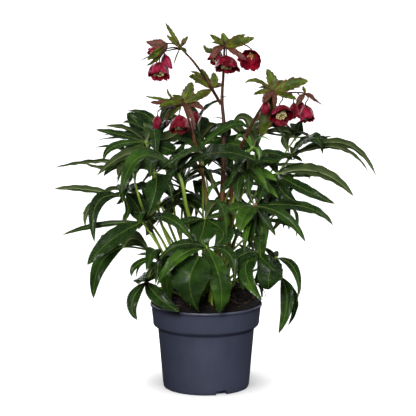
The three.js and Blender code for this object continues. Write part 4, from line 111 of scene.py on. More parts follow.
    ["leaf_25",[[-29.8,24.8,170.8],[-36.4,27.8,199.2],[-47.2,32.7,226.1],[-61.0,38.9,251.3],[-76.2,45.8,275.5],[-90.9,52.5,300.0]],[2.5,1.7],[[[-100.1,100.3,330.0],[-114.5,150.8,304.6],25.9,-11.0,14.0,0],[[-154.5,50.2,342.6],[-219.6,39.8,297.3],26.9,20.9,14.0,0],[[-124.5,14.1,318.4],[-146.5,-36.2,275.1],22.6,18.7,14.0,0],[[-73.0,60.8,339.5],[-38.7,5.7,308.3],25.2,28.6,14.0,0],[[-135.0,93.1,326.6],[-209.0,126.5,311.2],22.0,7.6,14.0,0],[[-96.2,87.8,346.7],[-26.1,105.2,329.4],26.3,5.3,14.0,0],[[-119.4,140.0,313.0],[-154.5,128.0,263.1],25.9,-0.6,14.0,0],[[-104.8,38.4,296.2],[-118.7,24.2,273.2],26.7,-6.0,14.0,0],[[-74.9,95.2,312.2],[-66.0,135.7,276.5],22.5,-33.5,13.0,0],[[-91.0,82.8,289.1],[-108.6,85.2,262.5],19.1,23.6,13.0,0]]],
    ["leaf_26",[[-16.8,27.9,171.2],[-19.3,33.0,201.6],[-22.6,39.6,231.7],[-26.8,48.0,261.2],[-31.9,58.3,290.0],[-37.8,70.3,318.0],[-44.6,83.9,345.0]],[2.5,1.7],[[[-89.4,98.3,395.1],[-149.3,116.6,329.4],27.9,19.6,14.0,0],[[-44.4,131.5,351.7],[-43.3,178.9,308.2],19.4,2.4,14.0,0],[[7.4,82.2,367.2],[90.6,3.5,384.9],22.7,22.2,14.0,0],[[-84.1,40.6,354.0],[-102.7,5.0,281.5],28.2,-15.7,14.0,0],[[-78.9,136.5,370.2],[-120.8,185.2,332.1],26.1,-8.6,14.0,0],[[-33.6,132.9,378.9],[-9.5,185.1,349.9],21.4,-17.3,14.0,0],[[-11.2,97.3,371.0],[28.1,129.1,307.1],24.0,-13.2,14.0,0],[[-93.2,57.0,390.7],[-159.7,26.0,361.6],21.6,19.0,14.0,0]]],
    ["leaf_27",[[-1.6,37.8,171.8],[-1.0,45.5,198.7],[0.0,58.9,223.3],[1.3,75.8,245.6],[2.6,93.6,267.2],[3.8,109.9,290.0]],[2.5,1.7],[[[78.0,122.3,340.8],[132.3,148.5,297.9],27.5,6.4,14.0,0],[[-40.8,132.8,317.5],[-85.3,155.6,304.6],23.1,-25.1,14.0,0],[[-9.6,176.5,313.2],[-19.6,225.8,262.0],20.1,3.1,14.0,0],[[6.1,141.4,297.6],[8.0,166.7,274.2],22.7,-27.7,14.0,0],[[46.4,97.3,321.7],[96.3,86.0,281.8],28.6,-18.6,14.0,0],[[-41.8,150.1,324.5],[-69.2,179.5,258.3],22.5,16.3,14.0,0],[[29.9,169.2,304.9],[52.4,204.9,239.8],21.3,-17.1,14.0,0],[[73.7,130.7,299.0],[87.9,171.5,235.4],23.2,18.5,14.0,0],[[-16.2,151.3,345.1],[-14.3,185.8,290.9],16.0,-16.9,13.0,0],[[-25.9,128.1,310.5],[-33.4,140.1,250.8],27.3,32.4,13.0,0]]],
    ["leaf_28",[[7.4,47.0,171.8],[11.1,50.9,202.7],[15.6,55.6,233.5],[21.1,61.4,263.8],[28.1,68.6,293.5],[36.6,77.5,322.4],[46.9,88.3,350.0]],[2.5,1.7],[[[-11.2,136.5,363.8],[-53.2,177.7,319.0],22.7,8.0,14.0,0],[[77.5,132.4,390.6],[102.4,147.4,349.7],21.8,-5.6,14.0,0],[[76.5,110.2,366.2],[125.9,54.9,389.1],26.0,-2.5,14.0,0],[[42.0,151.4,356.1],[37.6,208.7,328.7],23.4,-16.6,14.0,0],[[98.6,99.6,389.4],[146.7,108.3,329.0],29.0,-9.8,14.0,0],[[80.4,92.9,365.7],[98.8,76.7,322.9],24.0,-5.3,14.0,0],[[86.1,50.0,368.0],[106.3,29.5,309.4],22.7,8.9,14.0,0],[[29.0,134.9,396.2],[2.8,191.5,364.9],26.0,8.9,14.0,0],[[18.4,140.0,388.1],[-13.5,110.1,362.1],21.2,-31.9,13.0,0],[[11.3,80.1,340.8],[-0.9,69.5,308.9],22.6,-3.7,13.0,0]]],
    ["leaf_29",[[10.4,32.9,171.6],[20.2,32.2,199.3],[36.9,35.4,223.4],[57.4,41.2,243.9],[78.3,48.4,263.4],[97.0,56.0,285.0]],[2.5,1.7],[[[128.4,106.7,336.1],[154.8,164.3,294.3],25.3,17.7,14.0,0],[[129.8,36.4,299.3],[151.2,-13.4,283.3],24.5,0.3,14.0,0],[[77.1,124.8,329.6],[17.9,157.3,266.0],25.1,12.3,14.0,0],[[156.2,65.5,304.9],[207.9,61.3,292.0],26.8,-4.8,14.0,0],[[140.5,89.6,318.1],[140.7,132.7,258.3],25.7,-30.9,14.0,0],[[103.4,128.2,290.0],[113.8,171.8,232.0],27.8,-16.7,14.0,0],[[132.4,111.3,320.4],[152.4,146.0,252.7],26.6,-0.3,14.0,0],[[162.0,82.2,307.0],[217.8,89.4,289.3],26.2,18.3,14.0,0],[[137.2,50.0,282.1],[166.3,44.0,265.1],8.6,58.0,12.0,0]]],
    ["leaf_30",[[-5.1,22.9,170.6],[-5.2,27.3,202.4],[-5.3,30.8,234.2],[-5.4,34.1,266.2],[-5.5,37.8,298.0],[-5.6,42.7,329.8],[-5.8,50.0,361.0],[-6.1,60.5,391.3],[-6.5,74.7,420.0]],[2.5,1.7],[[[40.0,118.2,451.0],[81.6,157.5,402.6],27.6,-19.6,14.0,0],[[-73.7,90.6,434.0],[-118.5,131.1,400.8],27.6,10.3,14.0,0],[[19.6,59.9,427.2],[40.4,48.0,405.0],23.4,-27.4,14.0,0],[[28.5,75.9,428.4],[56.6,76.8,402.5],25.9,-4.2,14.0,0],[[11.7,98.7,394.3],[31.2,159.9,432.6],22.3,-7.8,14.0,0],[[-65.7,55.0,464.9],[-109.5,16.2,409.0],27.6,0.1,14.0,0],[[81.9,57.1,446.9],[117.5,52.0,501.8],24.1,18.3,14.0,0],[[-40.7,110.0,442.6],[-87.4,141.7,392.8],23.7,-9.6,14.0,0]]],
]
YOUNG_LEAF = "leaf_24"
# stem name: tubes as [name, points, start radius, end radius]
STEMS = {
    "stem_tall": [
        ["stem_tall",[[14.0,-8.0,164.7],[16.9,-7.1,196.6],[19.8,-6.1,228.6],[22.4,-5.0,259.7],[24.7,-3.5,288.7],[26.8,-1.7,316.9],[28.4,0.0,346.8],[29.7,1.7,382.2],[30.7,3.5,419.4],[30.9,5.0,450.8],[30.0,6.4,472.0],[28.4,7.5,487.4],[27.4,8.0,502.4],[27.9,7.3,519.2],[29.0,6.0,535.6],[29.9,5.0,550.8],[30.5,4.8,565.1],[30.9,4.9,578.2],[31.2,5.0,588.4],[31.4,5.0,594.3],[31.5,5.0,597.4],[31.6,5.0,600.4]],5.6,1.9],
        ["branch_up_left",[[25.7,8.0,495.5],[22.4,6.0,501.1],[19.2,4.0,506.7],[15.3,2.0,513.2],[10.8,-0.1,521.1],[5.7,-2.1,529.9],[-0.2,-4.0,539.3],[-7.4,-5.6,549.9],[-15.4,-6.9,561.0],[-22.4,-8.0,570.2],[-27.8,-8.9,576.5],[-32.2,-9.6,581.0],[-36.0,-10.0,584.8],[-39.1,-10.2,588.1],[-41.6,-10.1,590.7],[-43.6,-10.0,593.3],[-45.3,-9.9,595.9],[-46.6,-9.7,598.4],[-47.9,-9.5,600.9]],3.0,1.5],
        ["ped_flower_upper_left",[[-40.4,-10.2,589.4],[-44.4,-11.2,591.0],[-48.4,-12.3,592.6],[-52.9,-14.0,593.4],[-58.5,-17.0,593.2],[-64.6,-20.7,592.2],[-69.7,-24.0,590.4],[-73.4,-26.8,587.2],[-76.1,-29.2,583.2],[-78.0,-30.0,579.7],[-78.9,-27.9,577.0],[-78.9,-24.3,574.8],[-78.9,-21.8,572.8],[-79.0,-21.7,571.2],[-79.0,-22.7,569.9],[-79.1,-23.7,568.7]],1.35,1.0],
        ["ped_flower_upper_left_b",[[-40.4,-10.2,589.4],[-43.7,-9.9,592.7],[-47.0,-9.7,595.9],[-51.0,-9.0,598.2],[-56.5,-7.7,599.5],[-62.6,-5.9,599.8],[-67.5,-4.0,599.6],[-70.5,-1.7,598.7],[-72.3,0.8,597.3],[-73.7,2.5,595.8],[-74.8,2.6,594.8],[-75.5,2.0,593.8],[-76.1,1.3,592.7]],1.35,1.0],
        ["ped_flower_upper_left_c",[[-40.4,-10.2,589.4],[-43.4,-8.2,589.9],[-46.5,-6.2,590.4],[-50.0,-4.0,590.5],[-54.8,-1.2,589.8],[-60.2,1.8,588.7],[-64.6,4.0,587.6],[-67.5,4.6,587.0],[-69.5,4.4,586.4],[-70.8,4.2,585.6],[-71.4,4.3,584.3],[-71.2,4.5,582.7],[-71.0,4.7,581.1]],1.35,1.0],
        ["ped_flower_top_left",[[31.3,5.0,590.5],[29.3,3.6,591.2],[27.3,2.2,591.8],[25.5,1.0,592.0],[23.8,-0.0,591.5],[22.2,-0.8,590.6],[21.4,-1.0,589.9],[22.0,-0.2,589.5],[23.3,1.3,589.4],[24.2,2.2,589.1],[24.2,2.3,588.6],[23.7,1.9,588.0],[23.3,1.5,587.4]],1.35,1.0],
        ["ped_flower_top",[[31.3,5.0,590.5],[32.3,0.0,591.5],[33.2,-4.9,592.4],[34.0,-10.0,592.4],[34.4,-15.9,590.8],[34.5,-21.8,588.4],[34.6,-26.0,586.3],[34.7,-27.0,585.1],[34.6,-26.3,584.3],[34.6,-25.7,583.4],[34.6,-26.0,582.3],[34.6,-26.5,581.2],[34.6,-27.0,580.1]],1.35,1.0],
        ["ped_flower_top_right",[[31.3,5.0,590.5],[33.3,5.6,592.6],[35.2,6.2,594.7],[39.1,8.0,596.3],[46.8,12.2,597.3],[56.4,17.7,597.6],[64.8,22.0,597.1],[70.5,24.3,595.0],[75.0,25.5,591.9],[78.3,26.0,588.9],[80.4,26.0,586.2],[81.4,25.3,583.6],[81.7,24.4,581.5],[81.4,23.4,580.6],[80.3,22.1,580.3],[79.7,21.3,580.1]],1.35,1.0],
        ["ped_bud_top_left",[[-43.8,-10.0,593.4],[-42.5,-10.0,594.9],[-41.2,-10.0,596.4],[-40.2,-10.0,597.5],[-39.5,-10.0,597.9],[-39.0,-10.0,597.9],[-38.7,-10.0,598.0],[-38.5,-10.0,598.4],[-38.5,-10.0,598.8],[-38.5,-10.0,599.3]],1.0,0.8],
    ],
    "stem_left": [
        ["stem_left",[[0.0,12.0,168.8],[0.6,13.3,198.6],[1.2,14.6,228.4],[1.5,15.0,256.4],[1.7,13.9,282.0],[1.7,12.0,305.7],[0.7,10.0,327.9],[-1.9,8.3,349.1],[-5.4,6.7,368.9],[-8.9,5.0,386.4],[-12.0,3.3,400.9],[-15.2,1.6,413.2],[-18.3,0.0,425.3],[-21.5,-1.4,437.9],[-24.6,-2.7,450.3],[-27.7,-4.0,462.0],[-31.2,-5.5,473.2],[-34.8,-7.0,483.7],[-37.4,-8.0,491.6],[-38.6,-8.3,495.3],[-38.9,-8.1,496.4],[-39.1,-8.0,497.6],[-39.5,-8.0,499.6],[-39.8,-8.0,501.6],[-40.1,-8.0,503.6]],4.6,1.9],
        ["ped_bud_left",[[-37.8,-8.1,492.8],[-42.2,-8.0,494.4],[-46.5,-7.9,495.9],[-51.6,-8.0,496.7],[-58.4,-8.6,496.4],[-65.8,-9.4,495.3],[-72.2,-10.0,493.4],[-76.8,-10.2,490.2],[-80.2,-10.2,486.2],[-82.5,-10.0,483.1],[-83.4,-9.5,481.7],[-83.2,-8.8,481.2],[-83.0,-8.4,480.6],[-83.1,-8.3,479.5],[-83.2,-8.5,478.2],[-83.3,-8.7,477.0]],1.0,0.8],
        ["ped_flower_left",[[-37.8,-8.1,492.8],[-39.3,-9.7,494.0],[-40.8,-11.3,495.3],[-42.1,-14.0,495.4],[-43.0,-19.3,493.6],[-43.8,-25.7,490.7],[-44.4,-30.0,488.1],[-45.0,-30.2,486.5],[-45.5,-28.2,485.2],[-45.8,-26.7,483.8],[-45.9,-27.0,482.4],[-45.8,-27.7,481.0],[-45.7,-28.5,479.6]],1.35,1.0],
        ["ped_bud_left_b",[[-37.8,-8.1,492.8],[-36.4,-6.2,494.2],[-35.0,-4.3,495.7],[-32.8,-2.0,496.3],[-29.0,1.3,495.4],[-24.3,5.0,493.8],[-20.9,8.0,492.1],[-19.7,9.8,490.7],[-19.7,10.9,489.2],[-19.8,11.5,487.7],[-19.6,11.6,486.2],[-19.5,11.3,484.7],[-19.4,11.0,483.2]],1.0,0.8],
    ],
    "stem_right": [
        ["stem_right",[[28.0,8.0,168.0],[32.3,9.6,197.7],[36.6,11.1,227.3],[40.1,12.0,256.9],[42.1,12.1,287.5],[43.3,11.5,318.0],[45.1,10.0,345.5],[47.7,7.2,368.9],[51.0,3.5,389.4],[55.2,0.0,407.9],[60.7,-2.9,424.3],[67.3,-5.6,438.6],[73.8,-8.0,452.0],[80.0,-10.2,464.6],[86.3,-12.2,476.2],[92.3,-14.0,486.9],[98.5,-15.6,497.2],[104.4,-17.0,506.7],[109.2,-18.0,513.7],[112.0,-18.3,516.8],[113.6,-18.1,517.5],[115.1,-18.0,517.9],[116.6,-18.0,518.9],[118.0,-18.0,519.7],[119.4,-18.0,520.5]],4.8,1.9],
        ["ped_bud_right",[[111.2,-18.3,516.1],[111.3,-19.2,515.8],[111.4,-20.2,515.5],[110.7,-22.0,514.8],[108.3,-25.6,513.5],[105.0,-30.0,511.9],[102.6,-33.0,510.5],[101.8,-33.4,509.4],[101.9,-32.3,508.5],[102.0,-31.5,507.4],[101.9,-31.6,506.1],[101.8,-31.9,504.7],[101.7,-32.2,503.2]],1.0,0.8],
        ["ped_flower_right",[[124.8,-22.3,514.2],[127.1,-29.0,512.8],[129.3,-35.6,511.3],[130.3,-40.0,509.2],[128.9,-40.4,505.9],[126.3,-38.6,501.9],[124.3,-37.4,498.7],[124.0,-38.0,497.0],[124.4,-39.3,496.1],[124.9,-40.5,495.3]],1.35,1.0],
        ["ped_flower_right_b",[[143.8,-20.8,517.1],[146.4,-16.9,513.6],[148.9,-13.0,510.0],[150.6,-10.0,507.1],[150.9,-8.3,505.4],[150.3,-7.6,504.2],[149.8,-7.2,503.0],[149.9,-7.2,501.6],[150.1,-7.5,500.0],[150.3,-7.9,498.5]],1.35,1.0],
        ["ped_bud_right_b",[[155.5,-22.9,517.5],[157.7,-25.6,514.9],[159.9,-28.3,512.4],[161.4,-30.0,510.2],[161.7,-30.1,508.9],[161.2,-29.3,508.0],[160.9,-28.6,507.0],[160.9,-28.6,505.6],[161.0,-28.9,504.1],[161.1,-29.1,502.6]],1.0,0.8],
        ["ped_flower_right_c",[[167.1,-29.8,516.4],[169.4,-35.0,514.1],[171.7,-40.2,511.9],[172.8,-44.0,509.5],[172.0,-45.3,506.8],[170.1,-45.1,504.0],[168.6,-45.0,501.7],[168.2,-45.5,500.0],[168.2,-46.1,498.7],[168.3,-46.6,497.4]],1.35,1.0],
        ["arm",[[109.7,-18.0,514.2],[112.8,-19.5,513.7],[115.9,-21.0,513.2],[119.2,-22.0,513.1],[122.9,-22.3,513.7],[126.8,-22.2,514.7],[131.1,-22.0,515.7],[136.0,-21.5,516.3],[141.2,-20.9,516.9],[146.5,-21.0,517.3],[152.4,-22.1,517.5],[158.4,-23.9,517.5],[163.3,-26.0,517.3],[166.2,-28.4,516.8],[167.9,-31.2,516.0],[169.6,-34.0,515.3]],1.7,1.2],
    ],
}
# name, point on the stem, stem direction, stem radius there, bracts as above
WHORLS = [
    ["bracts_top",[31.5,5.0,596.0],[0.024,0.0,1.0],1.94,[[[19.5,0.0,605.3],[6.7,-4.0,615.1],10.5,-76.0,11.0,3],[[21.2,-8.0,600.0],[10.1,-16.0,601.9],9.0,-30.0,11.0,3],[[31.1,9.0,606.2],[28.2,12.0,618.1],14.3,-20.0,11.0,3],[[52.8,-6.0,601.1],[82.4,-14.0,609.8],19.1,68.0,11.0,3],[[49.7,12.0,607.3],[67.8,16.0,614.6],13.0,35.0,11.0,3],[[7.6,14.0,586.1],[-4.0,17.6,597.2],10.5,-60.0,11.0,3],[[51.9,-12.0,584.0],[68.5,-16.0,572.6],11.5,38.0,11.0,4],[[18.9,-14.0,589.2],[10.9,-20.0,575.0],14.3,-26.0,11.0,4],[[22.3,24.0,603.2],[13.7,40.0,600.9],13.0,-20.0,11.0,3],[[41.3,28.0,603.1],[52.1,48.0,602.4],14.0,20.0,10.0,3]]],
    ["bracts_top_left",[-43.8,-10.0,593.5],[-0.565,0.04,0.824],1.6,[[[-57.2,-4.0,614.6],[-69.1,-7.0,634.7],10.0,-20.0,11.0,3],[[-56.3,-14.0,604.4],[-67.2,-1.0,614.2],8.0,-20.0,11.0,3],[[-51.0,-11.0,577.2],[-55.6,-12.0,563.6],4.5,-20.0,11.0,3],[[-37.9,6.0,602.1],[-31.2,20.0,611.9],8.0,10.0,14.0,3],[[-37.5,-24.0,589.6],[-33.9,-34.0,584.9],8.0,20.0,14.0,3]]],
    ["bracts_upper_left",[-66.8,-4.6,599.9],[-0.938,0.345,-0.024],1.12,[[[-79.5,-8.0,599.8],[-91.5,-4.0,606.0],16.2,-66.0,11.0,4],[[-83.6,-12.0,598.2],[-102.1,-10.0,603.9],15.3,-60.0,11.0,4],[[-89.5,-26.0,583.7],[-113.3,-20.0,571.1],8.5,-20.0,11.0,3],[[-83.3,-24.0,585.3],[-98.8,-40.0,573.4],13.4,-34.0,11.0,3],[[-81.7,-22.0,576.7],[-99.5,-42.8,564.2],9.0,-20.0,11.0,3],[[-77.5,-18.0,589.3],[-89.2,-26.0,577.0],17.2,-26.0,11.0,4]]],
    ["bracts_fork",[10.2,-0.3,522.1],[-0.49,-0.199,0.849],2.63,[[[-9.7,14.0,536.9],[-29.8,7.0,543.0],16.2,-70.0,11.0,3],[[-7.9,12.0,543.0],[-27.4,28.0,550.6],10.0,-30.0,11.0,3],[[-5.3,-8.0,533.6],[-19.8,-14.0,533.9],10.5,-66.0,11.0,3],[[14.0,6.0,537.0],[11.6,10.0,550.0],14.3,28.0,11.0,3],[[-10.4,-14.0,511.7],[-35.2,-20.0,499.3],16.0,-40.0,11.0,3],[[-1.1,20.0,544.0],[-9.2,30.0,555.0],9.0,-20.0,11.0,3],[[22.3,20.0,527.6],[31.2,40.0,528.1],12.0,20.0,10.0,3]]],
    ["bracts_left",[-39.1,-8.0,497.5],[-0.197,0.066,0.978],1.95,[[[-30.7,-3.0,515.2],[-24.6,2.0,533.8],21.0,38.0,11.0,3],[[-60.7,-2.0,509.2],[-66.7,2.0,523.0],9.5,-10.0,11.0,3],[[-75.6,-8.0,504.4],[-104.0,-6.0,509.8],10.0,-35.0,11.0,3],[[-61.5,-26.0,499.8],[-79.9,-36.0,492.8],15.0,-38.0,11.0,3],[[-74.5,-18.0,499.1],[-94.8,-24.0,500.4],13.0,-30.0,11.0,4],[[-19.0,-14.0,496.3],[-4.4,-18.0,487.2],16.0,38.0,11.0,4],[[-65.9,12.0,490.0],[-87.0,20.0,481.6],9.0,-25.0,11.0,3],[[-63.9,-2.0,482.5],[-67.4,-2.0,456.6],10.0,-10.0,11.0,4],[[-73.6,6.0,481.9],[-78.0,8.0,460.9],7.0,-10.0,11.0,4],[[-26.6,-22.0,480.7],[-18.9,-26.0,453.6],10.0,15.0,11.0,4],[[-51.6,-12.0,485.9],[-61.0,-16.0,471.6],12.0,-20.0,11.0,3],[[-24.5,8.4,506.1],[-9.8,42.9,503.7],13.0,22.6,10.0,3],[[-48.7,20.0,506.8],[-59.5,36.0,509.2],12.0,-20.0,10.0,3]]],
    ["bracts_right",[115.2,-18.0,518.0],[0.902,0.046,0.428],1.94,[[[113.0,-13.0,536.4],[103.5,-8.0,556.6],20.0,-44.0,11.0,3],[[87.2,-33.0,537.9],[65.8,-29.0,533.9],8.6,-62.0,11.0,3],[[97.2,-18.0,518.8],[81.3,-8.0,513.0],9.5,-62.0,11.0,3],[[145.4,-24.0,531.6],[173.6,-22.0,536.9],22.9,58.0,11.0,3],[[135.9,-46.0,513.7],[151.9,-62.0,508.3],10.5,46.0,11.0,3],[[104.1,-38.0,512.5],[96.0,-52.0,500.8],14.0,-25.0,11.0,4],[[116.5,-46.0,507.1],[114.9,-66.0,492.6],9.0,20.0,11.0,4],[[105.6,12.8,475.3],[96.3,-8.6,441.2],29.0,-2.4,8.0,5],[[125.2,0.0,530.5],[132.9,16.0,536.4],14.0,20.0,10.0,3],[[101.4,6.0,525.0],[90.0,24.0,522.1],13.0,-20.0,10.0,3]]],
    ["bracts_arm",[168.1,-31.6,515.9],[0.513,-0.829,-0.222],1.22,[[[180.8,-32.0,507.7],[197.2,-30.0,497.3],8.0,20.0,11.0,4],[[159.8,-42.0,508.5],[152.6,-52.0,496.6],11.0,-20.0,11.0,4],[[176.3,-48.0,514.0],[182.3,-60.0,504.8],9.0,20.0,11.0,4],[[179.1,-20.0,511.3],[188.5,-8.0,505.3],8.0,20.0,12.0,3],[[166.6,-26.0,522.7],[165.3,-20.0,528.3],6.0,-10.0,12.0,3]]],
]
# name, kind, stalk end, direction the mouth faces, diameter, length, flare, open centre, turn
FLOWERS = [
    ["flower_upper_left","open",[-79.1,-23.9,568.3],[-0.05,-0.422,-0.905],38,26.5,0.1,1,10],
    ["flower_upper_left_b","open",[-76.4,1.2,592.5],[-0.733,-0.254,-0.631],25,23,0.0,0,40],
    ["flower_upper_left_c","open",[-71.0,4.7,580.7],[0.151,0.1,-0.983],19,26,-0.05,0,0],
    ["flower_top_left","open",[23.1,1.4,587.1],[-0.451,-0.35,-0.821],23,23.0,0.0,0,20],
    ["flower_top","open",[34.6,-27.1,579.7],[0.0,-0.361,-0.933],44,24.5,0.22,1,36],
    ["flower_top_right","open",[79.1,20.5,579.8],[-0.2,-0.899,-0.39],42,23.5,0.3,1,8],
    ["bud_left","bud",[-83.3,-8.8,476.6],[-0.079,-0.099,-0.992],16,25,0,0,0],
    ["flower_left","open",[-45.7,-28.7,479.2],[0.03,-0.382,-0.924],34,28,0.08,0,30],
    ["bud_left_b","bud",[-19.3,11.0,482.8],[0.099,-0.099,-0.99],14.5,20,0,0,0],
    ["bud_right","bud",[101.7,-32.2,502.8],[-0.059,-0.148,-0.987],16,24,0,0,0],
    ["flower_right","open",[124.9,-40.7,495.0],[0.12,-0.661,-0.741],43,24.5,0.25,1,14],
    ["flower_right_b","open",[150.3,-8.0,498.1],[0.1,-0.151,-0.983],22,27,0.0,0,0],
    ["bud_right_b","bud",[161.1,-29.1,502.2],[0.05,-0.099,-0.994],13,18,0,0,0],
    ["flower_right_c","open",[168.3,-46.8,497.0],[0.12,-0.35,-0.929],24,26.5,0.02,0,50],
    ["bud_top_left","bud",[-38.5,-10.0,599.7],[0.148,0.0,0.989],9,11,0,0,0],
]


# ------------------------------------------------------------------ geometry
def unit(a):
    return a / np.maximum(np.linalg.norm(a, axis=-1, keepdims=True), 1e-9)


def smooth(x):
    x = np.clip(x, 0.0, 1.0)
    return x * x * (3 - 2 * x)


def wobble(seed, lo=-1.0, hi=1.0, n=None):
    return np.random.default_rng(SEED + seed).uniform(lo, hi, n)


class Build:
    """Closed pieces of one mesh object, in millimetres."""

    def __init__(self):
        self.v, self.f, self.m, self.leaf, self.tone, self.n = [], [], [], [], [], 0

    def add(self, verts, faces, mats, leaf, tone):
        verts = np.asarray(verts, float)
        self.v.append(verts)
        for face in faces:
            self.f.append(np.asarray(face) + self.n)
        self.m.append(np.asarray(mats, int))
        self.leaf.append(np.broadcast_to(np.asarray(leaf, float), verts.shape))
        self.tone.append(np.broadcast_to(np.asarray(tone, float), verts.shape))
        self.n += len(verts)

    def object(self, name, materials, sharp=50):
        faces = []
        for f in self.f:
            faces += f.tolist()
        me = bpy.data.meshes.new(name)
        me.from_pydata(np.concatenate(self.v) * 0.001, [], faces)
        for m in materials:
            me.materials.append(m)
        me.polygons.foreach_set("material_index", np.concatenate(self.m))
        me.polygons.foreach_set("use_smooth", np.ones(len(faces), bool))
        for key, rows in (("leaf", self.leaf), ("tone", self.tone)):
            a = me.attributes.new(key, "FLOAT_VECTOR", "POINT")
            a.data.foreach_set("vector", np.concatenate(rows).astype(np.float32).ravel())
        me.validate()
        me.update()
        if sharp:
            me.set_sharp_from_angle(angle=math.radians(sharp))
        ob = bpy.data.objects.new(name, me)
        bpy.context.scene.collection.objects.link(ob)
        return ob


def sheet(b, grid, thick, leaf, tone, over=0, under=1):
    """A thin closed sheet: grid (n, m, 3) is its upper face, thick (n, m) its thickness."""
    n, m = grid.shape[:2]
    nor = unit(np.cross(np.gradient(grid, axis=0), np.gradient(grid, axis=1)))
    low = grid - nor * np.asarray(thick)[..., None]
    top = np.arange(n * m).reshape(n, m)
    bot = top + n * m

    def quads(a, c, d, e):
        return np.stack([a, c, d, e], -1).reshape(-1, 4)

    up = quads(top[:-1, :-1], top[1:, :-1], top[1:, 1:], top[:-1, 1:])
    dn = quads(bot[:-1, 1:], bot[1:, 1:], bot[1:, :-1], bot[:-1, :-1])
    side = np.concatenate([
        quads(top[1:, 0], top[:-1, 0], bot[:-1, 0], bot[1:, 0]),
        quads(top[:-1, -1], top[1:, -1], bot[1:, -1], bot[:-1, -1]),
        quads(top[0, :-1], top[0, 1:], bot[0, 1:], bot[0, :-1]),
        quads(top[-1, 1:], top[-1, :-1], bot[-1, :-1], bot[-1, 1:]),
    ])
    verts = np.concatenate([grid.reshape(-1, 3), low.reshape(-1, 3)])
    two = np.concatenate([np.asarray(leaf, float).reshape(-1, 3)] * 2) if np.ndim(leaf) == 3 else leaf
    tn = np.concatenate([np.asarray(tone, float).reshape(-1, 3)] * 2) if np.ndim(tone) == 3 else tone
    b.add(verts, [up, dn, side], [over] * len(up) + [under] * len(dn) + [over] * len(side), two, tn)


def loft(b, rings, mat, leaf, tone):
    """A closed solid through rings (n, k, 3), its ends closed by fans."""
    rings = np.asarray(rings, float)
    n, k = rings.shape[:2]
    idx = np.arange(n * k).reshape(n, k)
    nxt = np.roll(idx, -1, axis=1)
    side = np.stack([idx[:-1], nxt[:-1], nxt[1:], idx[1:]], -1).reshape(-1, 4)
    verts = np.concatenate([rings.reshape(-1, 3), rings[0].mean(0)[None], rings[-1].mean(0)[None]])
    a = np.stack([nxt[0], idx[0], np.full(k, n * k)], -1)
    z = np.stack([idx[-1], nxt[-1], np.full(k, n * k + 1)], -1)
    lf = np.asarray(leaf, float)
    if lf.ndim == 3:
        lf = np.concatenate([lf.reshape(-1, 3), lf[0].mean(0)[None], lf[-1].mean(0)[None]])
    tn = np.asarray(tone, float)
    if tn.ndim == 3:
        tn = np.concatenate([tn.reshape(-1, 3), tn[0].mean(0)[None], tn[-1].mean(0)[None]])
    # outward faces
    tri = np.concatenate([side[:, [0, 1, 2]], side[:, [0, 2, 3]], a, z])
    p = verts[tri]
    if np.einsum("ij,ij->i", p[:, 0], np.cross(p[:, 1], p[:, 2])).sum() < 0:
        side, a, z = side[:, ::-1], a[:, ::-1], z[:, ::-1]
    b.add(verts, [side, a, z], [mat] * (len(side) + 2 * k), lf, tn)


def curve_through(pts, step):
    """Points about step apart on a smooth curve through pts."""
    p = np.asarray(pts, float)
    if len(p) == 2:
        n = max(2, int(np.linalg.norm(p[1] - p[0]) / step) + 1)
        return p[0] + (p[1] - p[0]) * np.linspace(0, 1, n)[:, None]
    q = np.concatenate([[2 * p[0] - p[1]], p, [2 * p[-1] - p[-2]]])
    out = []
    for i in range(1, len(q) - 2):
        a, c, d, e = q[i - 1], q[i], q[i + 1], q[i + 2]
        n = max(1, int(round(np.linalg.norm(d - c) / step)))
        t = (np.arange(n) / n)[:, None]
        out.append(0.5 * (2 * c + (d - a) * t + (2 * a - 5 * c + 4 * d - e) * t**2 + (3 * c - a - 3 * d + e) * t**3))
    out.append(p[-1][None])
    return np.concatenate(out)


def rails(p):
    """Tangents and two normals carried along a curve without twist."""
    t = unit(np.gradient(p, axis=0))
    n = np.zeros_like(p)
    ref = np.array([1.0, 0, 0]) if abs(t[0][0]) < 0.9 else np.array([0, 1.0, 0])
    n[0] = unit(ref - t[0] * (ref @ t[0]))
    for i in range(1, len(p)):
        n[i] = unit(n[i - 1] - t[i] * (n[i - 1] @ t[i]))
    return t, n, np.cross(t, n)


def stalk(b, pts, radius, sides, mat, tone, step=6.0, ribs=0.05, groove=0.0, seed=0):
    """A round stalk along pts; radius is one number for each end, or a function of 0..1."""
    p = curve_through(pts, step)
    t, n, c = rails(p)
    s = np.concatenate([[0], np.cumsum(np.linalg.norm(np.diff(p, axis=0), axis=1))])
    f = s / s[-1]
    r = radius(f) if callable(radius) else radius[0] + (radius[1] - radius[0]) * f
    a = 2 * math.pi * np.arange(sides) / sides
    ph = wobble(seed * 7 + 3, 0, 6.28)
    shape = 1 + ribs * np.sin(5 * a + ph)[None, :] * np.ones((len(p), 1))
    shape += 0.03 * np.sin(s / 9.0 + ph)[:, None]
    if groove:
        shape -= groove * np.exp(-((np.angle(np.exp(1j * (a - 1.2 - ph)))) / 0.45) ** 2)[None, :]
    rr = r[:, None] * shape
    rings = p[:, None] + rr[..., None] * (np.cos(a)[None, :, None] * n[:, None] + np.sin(a)[None, :, None] * c[:, None])
    leaf = np.stack(np.broadcast_arrays((a * 2.0)[None, :], s[:, None], r[:, None]), -1)
    tn = np.stack(np.broadcast_arrays(tone[0], tone[1], f[:, None] * np.ones(sides)), -1)
    loft(b, rings, mat, leaf, tn)


# a leaflet's spine, its frame and its outline
def spine(h, m, t, u):
    c = 2 * m - 0.5 * (h + t)
    u = u[:, None]
    return (1 - u) ** 2 * h + 2 * u * (1 - u) * c + u**2 * t


